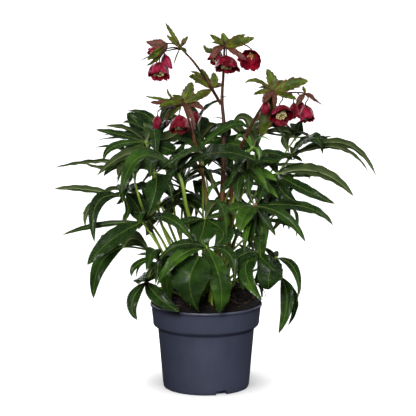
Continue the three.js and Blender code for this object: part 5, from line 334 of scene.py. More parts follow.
def spine_frame(p, roll):
    t = unit(np.gradient(p, axis=0))
    k = int(np.argmin(np.abs(t[:, 2]) + 1e-3 * np.linspace(0, 24, len(t))))
    n = np.zeros_like(p)
    n[k] = unit(np.array([0, 0, 1.0]) - t[k] * t[k][2])
    for i in range(k + 1, len(p)):
        n[i] = unit(n[i - 1] - t[i] * (n[i - 1] @ t[i]))
    for i in range(k - 1, -1, -1):
        n[i] = unit(n[i + 1] - t[i] * (n[i + 1] @ t[i]))
    c = np.cross(t, n)
    ca, sa = math.cos(math.radians(roll)), math.sin(math.radians(roll))
    n = ca * n + sa * c
    return t, n, np.cross(t, n)


def outline(u, kind):
    if kind == 6:
        # broad and ovate on a short stalk, drawn out to a fine point
        rise = np.sin(np.pi / 2 * np.clip((u - 0.14) / 0.28, 0, 1)) ** 0.45
        q = np.clip((u - 0.42) / 0.58, 0, 1)
        return np.where(u < 0.42, rise, np.cos(np.pi / 2 * q) ** 1.15 * (1 - 0.25 * q))
    s = np.sin(np.pi * np.clip(u, 0, 1) ** 0.85)
    e = 0.78 if kind in (1, 5) else 0.9 if kind in (0, 2) else 0.74
    # the blade keeps its width a little further before it runs out to the point
    return np.maximum(s, 0) ** (e - 0.16 * smooth((u - 0.6) / 0.35))


def leaflet(b, hub, mid, tip, width, roll, fold, kind, tone, seed, over, under, lift=0.55, teeth=1.0, foot=1.35, lobes=0.30):
    """One serrated blade with a sunk midrib above, a raised one below and quilting between side veins."""
    hub, mid, tip = (np.asarray(x, float) for x in (hub, mid, tip))
    rough = spine(hub, mid, tip, np.linspace(0, 1, 40))
    length = np.linalg.norm(np.diff(rough, axis=0), axis=1).sum()
    n = int(np.clip(length / (1.3 if kind in (3, 4, 5) else 2.0), 18, 70)) // 2 * 2 + 1
    u = np.linspace(0, 1, n)
    # even steps of arc length
    arc = np.concatenate([[0], np.cumsum(np.linalg.norm(np.diff(rough, axis=0), axis=1))])
    u = np.interp(np.linspace(0, arc[-1], n), arc, np.linspace(0, 1, 40))
    p = spine(hub, mid, tip, u)
    t, nn, bb = spine_frame(p, roll)
    s = np.concatenate([[0], np.cumsum(np.linalg.norm(np.diff(p, axis=0), axis=1))])
    f = s / s[-1]
    hw = np.maximum(0.5 * width * outline(u, kind), foot * (1 - smooth(f / (0.24 if kind == 6 else 0.14))))
    hw = np.maximum(hw, 0.18)
    mm = np.clip(1.15 / hw, 0.03, 0.24)
    cols = np.stack([np.ones(n), np.full(n, 0.76), np.full(n, 0.47), mm, np.zeros(n), -mm, np.full(n, -0.47), np.full(n, -0.76), -np.ones(n)], 1)
    x = cols * hw[:, None]
    if kind in (3, 4, 5):
        # a few coarse teeth that point towards the tip, different on each side
        q = wobble(seed + 9, 0, 1, 4)
        for sg, p0, p1 in ((1, q[0], q[1]), (-1, q[2], q[3])):
            saw = np.mod(f / (0.15 + 0.05 * p1) + p0, 1.0)
            lobe = 1 + lobes * smooth((f - 0.30) / 0.2) * (1 - smooth((f - 0.93) / 0.07)) * (saw ** 1.3 - 0.38)
            x = np.where(cols * sg > 0, x * (1 + (lobe[:, None] - 1) * np.abs(cols) ** 2.2), x)
    rise, fall = math.sin(math.radians(fold)), math.cos(math.radians(fold))
    y = np.abs(x) * rise
    y = y - 0.07 * hw[:, None] * np.abs(cols) ** 4
    # waves along each margin
    r = wobble(seed, 0, 6.28, 6)
    lam = 19 + 9 * wobble(seed + 1, 0, 1, 2)
    side = np.where(cols > 0, 0, 1)
    wave = np.where(side == 0, np.sin(2 * np.pi * s[:, None] / lam[0] + r[0]), np.sin(2 * np.pi * s[:, None] / lam[1] + r[1]))
    y = y + 0.085 * hw[:, None] * np.abs(cols) ** 2 * wave * smooth(f / 0.2)[:, None]
    # one half lies flatter than the other, and the blade leans over a little towards its tip
    lean = 0.16 * wobble(seed + 4) * smooth((f - 0.1) / 0.5)
    y = y + x * lean[:, None]
    # quilting between side veins
    gap = 6.2 if kind in (0, 1, 2, 6) else 4.6
    ph = (s[:, None] - 0.95 * np.abs(x)) / gap + np.where(side == 0, 0.0, 0.5) + r[2]
    env = np.clip(np.abs(cols) / 0.3, 0, 1) * np.clip((1 - np.abs(cols)) / 0.24 + 0.25, 0, 1)
    y = y + lift * 0.5 * (1 - np.cos(2 * np.pi * ph)) * env * np.clip(hw / 9, 0.15, 1)[:, None]
    y = y - 0.35 * np.exp(-(x / 0.8) ** 2) * np.clip(hw / 5, 0, 1)[:, None]
    grid = p[:, None] + bb[:, None] * (x * fall)[..., None] + nn[:, None] * y[..., None]
    # teeth that point towards the tip
    if teeth:
        ds = s[-1] / (n - 1)
        amp = teeth * 0.75 * np.clip(hw / 9, 0.3, 1.15) * smooth((f - 0.10) / 0.12) * (1 - smooth((f - 0.93) / 0.07))
        odd = (np.arange(n) % 2 == 1).astype(float)
        jag = amp * odd * (0.8 + 0.4 * wobble(seed + 2, 0, 1, n))
        for j, sg in ((0, 1.0), (-1, -1.0)):
            grid[:, j] += sg * bb * (jag * fall)[:, None] + t * (jag * 0.9 * ds)[:, None] * 0.5
    thick = np.full_like(x, 0.5)
    thick = thick + (0.95 * (1 - f) ** 0.7 + 0.1)[:, None] * np.exp(-(x / 0.75) ** 2)
    thick = thick + 1.3 * (1 - smooth(f / 0.12))[:, None] * np.exp(-(x / 1.6) ** 2)
    thick = np.where(np.abs(cols) > 0.95, 0.16, thick)
    thick = np.minimum(thick, 0.25 + 0.9 * hw[:, None])
    leaf = np.stack([x, np.broadcast_to(s[:, None], x.shape), np.broadcast_to(hw[:, None], x.shape)], -1)
    tn = np.stack([np.full_like(x, tone[0]), np.full_like(x, tone[1]), np.broadcast_to(f[:, None], x.shape)], -1)
    sheet(b, grid, thick, leaf, tn, over, under)


def knob(b, centre, axis, r, length, mat, tone, leafv=(0, 0, 3)):
    """A small rounded swelling."""
    a = unit(np.asarray(axis, float))
    ref = np.array([0, 1.0, 0]) if abs(a[1]) < 0.9 else np.array([1.0, 0, 0])
    x = unit(np.cross(ref, a))
    y = np.cross(a, x)
    k = 2 * math.pi * np.arange(10) / 10
    rings = []
    for q in np.linspace(-0.96, 0.96, 9):
        rr = r * math.sqrt(1 - q * q)
        rings.append(np.asarray(centre) + a * q * length + rr * (np.cos(k)[:, None] * x + np.sin(k)[:, None] * y))
    loft(b, np.array(rings), mat, leafv, tone)


def axes_of(axis):
    a = unit(np.asarray(axis, float))
    ref = np.array([0, 1.0, 0]) if abs(a[1]) < 0.9 else np.array([1.0, 0, 0])
    x = unit(np.cross(ref, a))
    return x, np.cross(a, x), a


def bell_radius(u, d, flare):
    r = d / 2 / (1 + max(flare, 0))
    return (2.6 + (r - 2.6) * np.sin(np.clip(u / 0.62, 0, 1) * np.pi / 2) ** 0.75) * (1 + flare * np.clip((u - 0.55) / 0.45, 0, 1) ** 1.3)


def bud_radius(u, d):
    return d / 2 * np.sin(np.pi * np.clip(u, 0.0, 1) ** 0.8) ** 0.65


def sepals(b, top, axis, d, length, flare, turn, seed, closed, tone, loose=0.0):
    """Five overlapping sepals of a bell or of a bud, outer face first; loose ones part into rounded lobes."""
    x, y, a = axes_of(axis)
    o = np.asarray(top, float)
    nu, nv = (24, 19)
    for k in range(5):
        r = wobble(seed * 31 + k * 5, -1, 1, 12)
        off = (0.0, 1.0, 0.4, 1.4, 0.7)[k] * (0.45 if closed else 0.75)
        u = np.linspace(0, 1, nu)[:, None] * np.ones(nv)
        v = np.linspace(1, -1, nv)[None, :] * np.ones((nu, 1))
        if closed:
            half = math.radians(52) * np.ones_like(u)
            shrink = 1 - 0.55 * np.clip((u - 0.75) / 0.25, 0, 1) ** 2
            z = 0.02 + u * 0.955
            rad = bud_radius(z, d) - 0.2 + off * 0.6 * (1 - u**4)
            rad = rad + 0.22 * np.cos(3 * np.pi * v + r[3]) * smooth((u - 0.3) / 0.5) * (1 - u**6)
            zz = z * length
        else:
            half = math.radians(46 + 5 * r[0]) * (0.72 + 0.28 * smooth(u / 0.35))
            # nearly full width down to the lip, then a rounded end with a small point
            end = np.clip((u - 0.52) / 0.48, 0, 1)
            shrink = np.sqrt(np.maximum(1 - 0.80 * end ** 3.4, 0.02)) - 0.16 * end ** 6
            half = half * (1 - 0.20 * loose * smooth((u - 0.3) / 0.6))
            long = 1.0 + (0.035 + 0.07 * loose) * r[1]
            zz = u * length * long
            rad = bell_radius(u, d, flare + 0.07 * r[2]) - 0.6 + off * smooth(u / 0.25)
            low = smooth((u - 0.45) / 0.5)
            # ruffles that deepen towards the lip, and a shallow keel down the middle
            rad = rad + 0.75 * np.sin(4.2 * v + r[3] * 3 + 1.3 * u) * low
            rad = rad + 0.55 * np.sin(8.5 * v + r[8] * 3 - 2.0 * u) * smooth((u - 0.62) / 0.38)
            rad = rad + 0.55 * np.exp(-((v * shrink) / 0.16) ** 2) * smooth(u / 0.2) * (1 - u)
            rad = rad + (1.2 * r[4] + 0.2) * np.abs(v) ** 3 * smooth((u - 0.3) / 0.5)
            # the lip rolls in or out at the very end
            rad = rad + 1.7 * r[5] * np.clip((u - 0.8) / 0.2, 0, 1) ** 2
            zz = zz + 0.7 * np.sin(6.0 * v + r[9] * 3) * smooth((u - 0.75) / 0.25)
        th = math.radians(72 * k + turn) + v * half * shrink
        grid = o + a * zz[..., None] + rad[..., None] * (np.cos(th)[..., None] * x + np.sin(th)[..., None] * y)
        thick = np.full_like(u, 0.55)
        thick[:, [0, -1]] = 0.2
        thick[-1] = 0.2
        wide = v * half * shrink * np.maximum(rad, 3)
        leaf = np.stack([wide, zz, np.maximum(half * shrink * np.maximum(rad, 3), 0.5)], -1)
        tn = np.stack([np.full_like(u, tone[0] + 0.10 * r[6]), np.full_like(u, 0.5 + 0.5 * r[7]), u], -1)
        sheet(b, grid, thick, leaf, tn, 0, 1)


def flower_centre(b, top, axis, d, length, seed, mats, deep=1.0, count=54):
    """Nectaries, a brush of stamens and five carpels."""
    fil, anther, green = mats
    x, y, a = axes_of(axis)
    o = np.asarray(top, float)
    small = 0.5 if deep < 0.5 else 1.0
    knob(b, o + a * 2.2, a, 3.0 * small, 2.4, green, (0.5, 0.5, 0.3))
    rg = np.random.default_rng(SEED + seed * 13)
    reach = min(d * 0.5 * 0.62, 9.8) * (0.35 + 0.65 * deep)
    length = length * deep
    for i in range(count):
        ang = i * 2.39996 + rg.uniform(-0.2, 0.2)
        q = math.sqrt((i + 0.5) / count)
        dirn = math.cos(ang) * x + math.sin(ang) * y
        h = length * (0.98 - 0.14 * (1 - q) + rg.uniform(-0.09, 0.05))
        end = o + a * h + dirn * (reach * (0.25 + 0.75 * q) + rg.uniform(-0.6, 0.6))
        start = o + a * 3.2 + dirn * (1.0 + 1.5 * q)
        bow = o + a * (h * 0.55) + dirn * (reach * (0.25 + 0.62 * q) + 0.6)
        stalk(b, [start, bow, end], (0.40, 0.32), 5, fil, (0.5, rg.uniform(0, 1)), step=5, ribs=0)
        knob(b, end + a * 0.2, unit(a + dirn * rg.uniform(-0.8, 0.8)), 0.78, 1.45, anther, (rg.uniform(0, 1), 0.5, 0.5))
    for i in range(5):
        ang = i * 2 * math.pi / 5 + 0.4
        dirn = math.cos(ang) * x + math.sin(ang) * y
        stalk(b, [o + a * 3.0 + dirn * 1.2, o + a * length * 0.5 + dirn * 1.9, o + a * length * 0.80 + dirn * 1.1, o + a * length * 0.93 + dirn * 2.6], lambda f: 1.25 - 0.95 * smooth((f - 0.35) / 0.5), 7, green, (0.5, 0.5), step=3, ribs=0)
    for i in range(14):
        ang = i * 2 * math.pi / 14
        dirn = math.cos(ang) * x + math.sin(ang) * y
        stalk(b, [o + a * 3.6 + dirn * 2.2 * small, o + a * 5.4 + dirn * 4.2 * small, o + a * (5.4 + 3.0 * small) + dirn * 5.0 * small], lambda f: 0.55 + 0.55 * smooth(f), 6, green, (0.5, 0.5), step=2, ribs=0)


# ------------------------------------------------------------------ materials
class Graph:
    def __init__(self, name):
        self.m = bpy.data.materials.new(name)
        self.m.use_nodes = True
        self.t = self.m.node_tree
        self.t.nodes.clear()
        out = self.t.nodes.new("ShaderNodeOutputMaterial")
        self.b = self.t.nodes.new("ShaderNodeBsdfPrincipled")
        self.t.links.new(self.b.outputs[0], out.inputs[0])

    def put(self, socket, value):
        if isinstance(value, bpy.types.NodeSocket):
            self.t.links.new(value, socket)
        elif value is not None:
            if socket.type == "RGBA" and len(value) == 3:
                value = (*value, 1.0)
            socket.default_value = value

    def attr(self, name):
        n = self.t.nodes.new("ShaderNodeAttribute")
        n.attribute_name = name
        return n.outputs["Vector"]

    def split(self, v):
        n = self.t.nodes.new("ShaderNodeSeparateXYZ")
        self.put(n.inputs[0], v)
        return n.outputs[0], n.outputs[1], n.outputs[2]

    def join(self, x=0.0, y=0.0, z=0.0):
        n = self.t.nodes.new("ShaderNodeCombineXYZ")
        for i, v in enumerate((x, y, z)):
            self.put(n.inputs[i], v)
        return n.outputs[0]

    def place(self, scale=1.0):
        n = self.t.nodes.new("ShaderNodeTexCoord")
        k = self.t.nodes.new("ShaderNodeVectorMath")
        k.operation = "SCALE"
        self.put(k.inputs[0], n.outputs["Object"])
        k.inputs["Scale"].default_value = 1000.0 * scale
        return k.outputs[0]

    def math(self, op, a, b=0.0, c=0.0):
        n = self.t.nodes.new("ShaderNodeMath")
        n.operation = op
        for i, v in enumerate((a, b, c)):
            self.put(n.inputs[i], v)
        return n.outputs[0]

    def ramp01(self, value, lo, hi, out=(0.0, 1.0), soft=True):
        n = self.t.nodes.new("ShaderNodeMapRange")
        n.interpolation_type = "SMOOTHSTEP" if soft else "LINEAR"
        for i, v in enumerate((value, lo, hi, out[0], out[1])):
            self.put(n.inputs[i], v)
        return n.outputs[0]

    def noise(self, vec, scale, detail=3.0, rough=0.5, distort=0.0):
        n = self.t.nodes.new("ShaderNodeTexNoise")
        self.put(n.inputs["Vector"], vec)
        n.inputs["Scale"].default_value = scale
        n.inputs["Detail"].default_value = detail
        n.inputs["Roughness"].default_value = rough
        n.inputs["Distortion"].default_value = distort
        return n.outputs["Fac"]

    def cells(self, vec, scale, feature="DISTANCE_TO_EDGE"):
        n = self.t.nodes.new("ShaderNodeTexVoronoi")
        n.feature = feature
        self.put(n.inputs["Vector"], vec)
        n.inputs["Scale"].default_value = scale
        return n.outputs["Distance"]

    def mix(self, fac, a, b, how="MIX"):
        n = self.t.nodes.new("ShaderNodeMix")
        n.data_type = "RGBA"
        n.blend_type = how
        self.put(n.inputs[0], fac)
        self.put(n.inputs[6], a)
        self.put(n.inputs[7], b)
        return n.outputs[2]

    def colours(self, fac, stops):
        n = self.t.nodes.new("ShaderNodeValToRGB")
        r = n.color_ramp
        while len(r.elements) > 1:
            r.elements.remove(r.elements[-1])
        r.elements[0].position, r.elements[0].color = stops[0][0], (*stops[0][1], 1)
        for p, c in stops[1:]:
            r.elements.new(p).color = (*c, 1)
        self.put(n.inputs[0], fac)
        return n.outputs[0]

    def bump(self, height, strength, distance, normal=None):
        n = self.t.nodes.new("ShaderNodeBump")
        n.inputs["Strength"].default_value = strength
        n.inputs["Distance"].default_value = distance
        self.put(n.inputs["Height"], height)
        if normal is not None:
            self.put(n.inputs["Normal"], normal)
        return n.outputs[0]

    def done(self, color=None, rough=None, normal=None, **more):
        self.put(self.b.inputs["Base Color"], color)
        self.put(self.b.inputs["Roughness"], rough)
        if normal is not None:
            self.put(self.b.inputs["Normal"], normal)
        for k, v in more.items():
            self.put(self.b.inputs[k.replace("_", " ")], v)
        return self.m


def vein_parts(g, gap, slant=0.95):
    """Distances from the midrib and the side veins, and the fine net between them."""
    x, s, hw = g.split(g.attr("leaf"))
    tone_a, tone_b, along = g.split(g.attr("tone"))
    ax = g.math("ABSOLUTE", x)
    rel = g.math("DIVIDE", ax, g.math("MAXIMUM", hw, 0.5))
    shift = g.math("MULTIPLY", g.math("GREATER_THAN", x, 0.0), 0.5)
    ph = g.math("ADD", g.math("DIVIDE", g.math("SUBTRACT", s, g.math("MULTIPLY", ax, slant)), gap), shift)
    wig = g.noise(g.join(x, s, 0.0), 0.12, 2.0)
    ph = g.math("ADD", ph, g.math("MULTIPLY", g.math("SUBTRACT", wig, 0.5), 0.7))
    saw = g.math("ABSOLUTE", g.math("SUBTRACT", g.math("FRACT", ph), 0.5))  # 0.5 on a vein
    side = g.ramp01(saw, 0.40, 0.5)
    side = g.math("MULTIPLY", side, g.ramp01(rel, 0.98, 0.55))
    rib = g.ramp01(ax, g.math("MULTIPLY_ADD", g.math("SUBTRACT", 1.0, along), 0.75, 0.45), 0.15)
    net = g.cells(g.join(g.math("MULTIPLY", x, 1.0), g.math("MULTIPLY", s, 0.8), tone_b), 0.62)
    net = g.ramp01(net, 0.10, 0.0)
    return dict(x=x, s=s, hw=hw, ax=ax, rel=rel, side=side, rib=rib, net=net, a=tone_a, b=tone_b, t=along)


def leaf_top():
    g = Graph("leaf upper side")
    v = vein_parts(g, 6.2)
    big = g.noise(g.place(), 0.028, 3.0, 0.6)
    small = g.noise(g.place(), 0.22, 4.0, 0.65)
    lie = g.math("MULTIPLY_ADD", g.math("SUBTRACT", big, 0.5), 1.15, g.math("MULTIPLY_ADD", v["a"], 0.72, 0.14))
    base = g.colours(lie,
                     [(0.15, (0.0036, 0.0115, 0.0036)), (0.42, (0.0070, 0.0240, 0.0040)), (0.66, (0.0180, 0.0560, 0.0055)), (0.97, (0.0640, 0.1600, 0.0100))])
    base = g.mix(g.ramp01(small, 0.42, 0.72, (0.0, 0.7)), base, (0.003, 0.0090, 0.0028))
    base = g.mix(g.math("MULTIPLY", v["net"], 0.22), base, (0.05, 0.10, 0.018))
    base = g.mix(g.math("MULTIPLY", v["side"], 0.45), base, (0.075, 0.135, 0.024))
    base = g.mix(g.math("MULTIPLY", v["rib"], 0.80), base, (0.15, 0.21, 0.040))
    base = g.mix(g.ramp01(v["rel"], 0.93, 1.0, (0.0, 0.35)), base, (0.07, 0.08, 0.02))
    rough = g.ramp01(small, 0.3, 0.8, (0.18, 0.38))
    h = g.math("ADD", g.math("MULTIPLY", v["side"], -0.55), g.math("MULTIPLY", v["net"], -0.30))
    h = g.math("ADD", h, g.math("MULTIPLY", g.noise(g.place(), 0.6, 2.0), 0.22))
    return g.done(base, rough, g.bump(h, 1.0, 0.0008), Specular_IOR_Level=0.20)


def leaf_under():
    g = Graph("leaf underside")
    v = vein_parts(g, 6.2)
    big = g.noise(g.place(), 0.04, 3.0, 0.6)
    base = g.colours(g.math("MULTIPLY_ADD", big, 0.8, g.math("MULTIPLY", v["a"], 0.3)),
                     [(0.2, (0.034, 0.056, 0.018)), (0.55, (0.058, 0.087, 0.027)), (0.9, (0.098, 0.130, 0.044))])
    base = g.mix(g.math("MULTIPLY", v["net"], 0.28), base, (0.05, 0.085, 0.025))
    base = g.mix(g.math("MULTIPLY", v["side"], 0.45), base, (0.14, 0.18, 0.080))
    base = g.mix(g.math("MULTIPLY", v["rib"], 0.85), base, (0.25, 0.29, 0.12))
    h = g.math("ADD", g.math("MULTIPLY", v["side"], 0.7), g.math("MULTIPLY", v["net"], 0.3))
    return g.done(base, g.ramp01(big, 0.2, 0.8, (0.5, 0.66)), g.bump(h, 0.6, 0.0004), Specular_IOR_Level=0.25)


def young_leaf(name, deep, bright, rib):
    g = Graph(name)
    v = vein_parts(g, 5.0)
    big = g.noise(g.place(), 0.05, 3.0, 0.6)
    base = g.mix(g.math("MULTIPLY_ADD", big, 0.8, g.math("MULTIPLY", v["a"], 0.2)), deep, bright)
    base = g.mix(g.math("MULTIPLY", v["side"], 0.3), base, rib)
    base = g.mix(g.math("MULTIPLY", v["rib"], 0.7), base, rib)
    h = g.math("ADD", g.math("MULTIPLY", v["side"], -0.5), g.math("MULTIPLY", v["net"], -0.2))
    return g.done(base, g.ramp01(big, 0.2, 0.8, (0.38, 0.5)), g.bump(h, 0.5, 0.0004), Specular_IOR_Level=0.45)


def bract(name, deep, bright, edge, rib):
    """tone b: 0 green bract, 1 brown-pink bract."""
    g = Graph(name)
    v = vein_parts(g, 4.6)
    big = g.noise(g.place(), 0.06, 3.0, 0.6)
    fine = g.noise(g.join(g.math("MULTIPLY", v["x"], 2.2), g.math("MULTIPLY", v["s"], 0.25), v["a"]), 0.8, 3.0)
    green = g.mix(g.ramp01(big, 0.3, 0.7), deep, bright)
    green = g.mix(g.ramp01(v["t"], 0.45, 0.0, (0.0, 0.55)), green, (0.17, 0.14, 0.018))
    pink = g.mix(g.ramp01(fine, 0.34, 0.66), (0.055, 0.011, 0.012), (0.25, 0.088, 0.078))
    pink = g.mix(g.ramp01(v["t"], 0.3, 1.0, (0.0, 0.6)), pink, (0.12, 0.02, 0.03))
    base = g.mix(g.ramp01(v["b"], 0.35, 0.65), green, pink)
    base = g.mix(g.math("MULTIPLY", v["net"], 0.2), base, deep)
    base = g.mix(g.math("MULTIPLY", v["side"], 0.30), base, bright)
    red = g.math("MAXIMUM", g.ramp01(v["rel"], 0.66, 0.96), g.math("MULTIPLY", v["rib"], g.ramp01(v["t"], 1.0, 0.1)))
    base = g.mix(g.math("MULTIPLY", red, 0.85), base, edge)
    base = g.mix(g.ramp01(g.noise(g.place(), 0.2, 4.0, 0.6), 0.40, 0.64, (0.0, 0.75)), base, (0.022, 0.026, 0.004))
    h = g.math("ADD", g.math("MULTIPLY", v["side"], rib), g.math("MULTIPLY", fine, 0.35))
    return g.done(base, g.ramp01(big, 0.2, 0.8, (0.42, 0.60)), g.bump(h, 1.0, 0.0007), Specular_IOR_Level=0.2)


def stalk_skin(name, stops, spots, rough=(0.34, 0.5), shine=0.5, mottle=0.45):
    """Fleshy stalk: colour by height above the compost, streaks along it."""
    g = Graph(name)
    around, s, r = g.split(g.attr("leaf"))
    a, c, t = g.split(g.attr("tone"))
    px, py, pz = g.split(g.place())
    streak = g.noise(g.join(g.math("MULTIPLY", around, 0.9), g.math("MULTIPLY", s, 0.035), a), 1.0, 4.0, 0.6)
    patch = g.noise(g.place(), 0.03, 3.0, 0.6)
    h = g.math("DIVIDE", g.math("SUBTRACT", pz, 150.0), 460.0)
    h = g.math("ADD", h, g.math("MULTIPLY", g.math("SUBTRACT", g.math("ADD", streak, patch), 1.0), 0.55))
    h = g.math("ADD", h, g.math("MULTIPLY", g.math("SUBTRACT", c, 0.5), 0.6))
    base = g.colours(h, stops)
    base = g.mix(g.ramp01(streak, 0.53, 0.66, (0.0, mottle)), base, spots)
    fleck = g.ramp01(g.noise(g.join(g.math("MULTIPLY", around, 2.0), g.math("MULTIPLY", s, 0.16), c), 1.0, 3.0, 0.6), 0.50, 0.64)
    base = g.mix(g.math("MULTIPLY", fleck, mottle), base, (0.030, 0.012, 0.006))
    bump = g.math("ADD", streak, g.math("MULTIPLY", g.noise(g.place(), 1.1, 2.0), 0.4))
    return g.done(base, g.ramp01(patch, 0.2, 0.8, rough), g.bump(bump, 0.4, 0.0004), Specular_IOR_Level=shine)


def sepal(name, inside):
    g = Graph(name)
    x, z, hw = g.split(g.attr("leaf"))
    a, c, t = g.split(g.attr("tone"))
    rel = g.math("DIVIDE", g.math("ABSOLUTE", x), g.math("MAXIMUM", hw, 0.5))
    vein = g.noise(g.join(g.math("MULTIPLY", x, 1.05), g.math("MULTIPLY", z, 0.11), c), 1.0, 4.0, 0.6, 0.3)
    cloud = g.ramp01(g.noise(g.place(), 0.085, 3.0, 0.55), 0.28, 0.72, soft=False)
    if inside:
        base = g.colours(g.math("MULTIPLY_ADD", cloud, 0.6, g.math("MULTIPLY", a, 0.35)),
                         [(0.2, (0.050, 0.0010, 0.004)), (0.45, (0.150, 0.0020, 0.009)), (0.8, (0.330, 0.006, 0.026))])
        base = g.mix(g.ramp01(t, 0.16, 0.0), base, (0.12, 0.07, 0.02))
        dots = g.ramp01(g.cells(g.join(g.math("MULTIPLY", x, 0.9), g.math("MULTIPLY", z, 0.7), a), 0.9, "F1"), 0.26, 0.12)
        base = g.mix(g.math("MULTIPLY", dots, g.ramp01(t, 0.95, 0.5, (0.0, 0.7))), base, (0.022, 0.0, 0.004))
    else:
        base = g.colours(g.math("MULTIPLY_ADD", cloud, 0.75, g.math("MULTIPLY", a, 0.30)),
                         [(0.18, (0.050, 0.0006, 0.003)), (0.42, (0.140, 0.0012, 0.008)), (0.64, (0.240, 0.003, 0.022)), (0.92, (0.390, 0.020, 0.082))])
        base = g.mix(g.ramp01(t, 0.16, 0.0, (0.0, 0.8)), base, (0.10, 0.05, 0.03))
    base = g.mix(g.ramp01(vein, 0.50, 0.64, (0.0, 0.80)), base, (0.055, 0.001, 0.006))
    if not inside:
        # pale pink streaks between the veins, stronger on the pinker flowers: partly the sepals' own pink flush, partly
        # a painted highlight standing in for their waxy sheen
        base = g.mix(g.math("MULTIPLY", g.ramp01(vein, 0.48, 0.34), g.ramp01(a, 0.3, 1.0, (0.02, 0.55))), base, (0.56, 0.075, 0.20))
    base = g.mix(g.ramp01(rel, 0.86, 1.0, (0.0, 0.5)), base, (0.09, 0.002, 0.012))
    h = g.math("ADD", vein, g.math("MULTIPLY", g.noise(g.place(), 0.5, 2.0), 0.6))
    return g.done(base, g.ramp01(cloud, 0.25, 0.75, (0.24, 0.42)), g.bump(h, 1.0, 0.0016), Specular_IOR_Level=0.15)


def flecked(name, dark, light, scale, rough, bump):
    g = Graph(name)
    f = g.noise(g.place(), scale, 4.0, 0.6)
    return g.done(g.mix(g.ramp01(f, 0.3, 0.7), dark, light), g.ramp01(f, 0.2, 0.8, rough), g.bump(f, 0.5, bump))


def pot_plastic():
    g = Graph("pot plastic")
    p = g.place()
    x, y, z = g.split(p)
    grain = g.noise(p, 1.6, 3.0, 0.6)
    cloud = g.noise(p, 0.02, 3.0, 0.5)
    ang = g.math("ARCTAN2", y, x)
    streak = g.noise(g.join(g.math("MULTIPLY", ang, 9.0), g.math("MULTIPLY", z, 0.012), 0.0), 1.0, 4.0, 0.6)
    base = g.mix(g.ramp01(g.math("MULTIPLY_ADD", streak, 0.35, g.math("MULTIPLY", cloud, 0.65)), 0.30, 0.70), (0.033, 0.037, 0.064), (0.040, 0.045, 0.077))
    dust = g.math("MULTIPLY", g.ramp01(g.noise(p, 0.35, 5.0, 0.7), 0.56, 0.78), g.ramp01(z, 26.0, 2.0, (0.10, 0.55)))
    base = g.mix(dust, base, (0.10, 0.095, 0.09))
    scuff = g.ramp01(g.noise(g.join(g.math("MULTIPLY", ang, 60.0), g.math("MULTIPLY", z, 0.35), 3.0), 1.0, 3.0, 0.5), 0.66, 0.74)
    base = g.mix(g.math("MULTIPLY", scuff, 0.10), base, (0.13, 0.14, 0.17))
    rough = g.ramp01(g.math("ADD", grain, g.math("MULTIPLY", cloud, 0.6)), 0.5, 1.1, (0.40, 0.54))
    h = g.math("ADD", g.math("MULTIPLY", grain, 0.35), g.math("MULTIPLY", streak, 0.8))
    return g.done(base, rough, g.bump(h, 0.25, 0.0004), Specular_IOR_Level=0.5)


def compost(name, dark, light):
    g = Graph(name)
    p = g.place()
    a, c, t = g.split(g.attr("tone"))
    f = g.noise(p, 0.16, 5.0, 0.7)
    k = g.noise(p, 0.9, 3.0, 0.6)
    base = g.mix(g.ramp01(g.math("ADD", g.math("MULTIPLY", f, 0.7), g.math("MULTIPLY", a, 0.5)), 0.4, 0.95), dark, light)
    base = g.mix(g.ramp01(k, 0.55, 0.8, (0.0, 0.6)), base, (0.004, 0.003, 0.002))
    return g.done(base, g.ramp01(f, 0.2, 0.8, (0.72, 0.95)), g.bump(g.math("ADD", f, k), 0.9, 0.0012), Specular_IOR_Level=0.16)


# ------------------------------------------------------------------ camera, floor, light
scene = bpy.context.scene
scene.view_settings.view_transform = "Standard"
scene.view_settings.look = "None"

cam = bpy.data.cameras.new("camera")
cam.sensor_width = 36.0
cam.lens = 130.77
cam.clip_end = 60
camera = bpy.data.objects.new("camera", cam)
camera.location = (0.00327, -2.6, 0.6881)
camera.rotation_euler = (math.radians(90 - 8.16), 0, 0)
scene.collection.objects.link(camera)
scene.camera = camera


KEY, TOP, SIDE, BACK, AMBIENT = 102.0, 5.0, 24.0, 34.0, 0.015


def area(name, place, aim, size, power, colour=(1, 1, 1)):
    light = bpy.data.lights.new(name, "AREA")
    light.shape = "RECTANGLE"
    light.size, light.size_y = size
    light.energy = power
    light.color = colour
    ob = bpy.data.objects.new(name, light)
    ob.location = place
    ob.rotation_euler = (Vector(aim) - Vector(place)).to_track_quat("-Z", "Y").to_euler()
    ob.visible_camera = False
    scene.collection.objects.link(ob)
    return ob


def stage_mesh(name, verts, faces, material):
    """A floor or backdrop that only the camera sees, so that it doesn't light the plant."""
    me = bpy.data.meshes.new(name)
    me.from_pydata(verts, [], faces)
    me.materials.append(material)
    ob = bpy.data.objects.new(name, me)
    ob.visible_diffuse = ob.visible_glossy = ob.visible_transmission = False
    ob.visible_shadow = False
    bpy.data.collections["stage"].objects.link(ob)
    ob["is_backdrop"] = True
    return ob


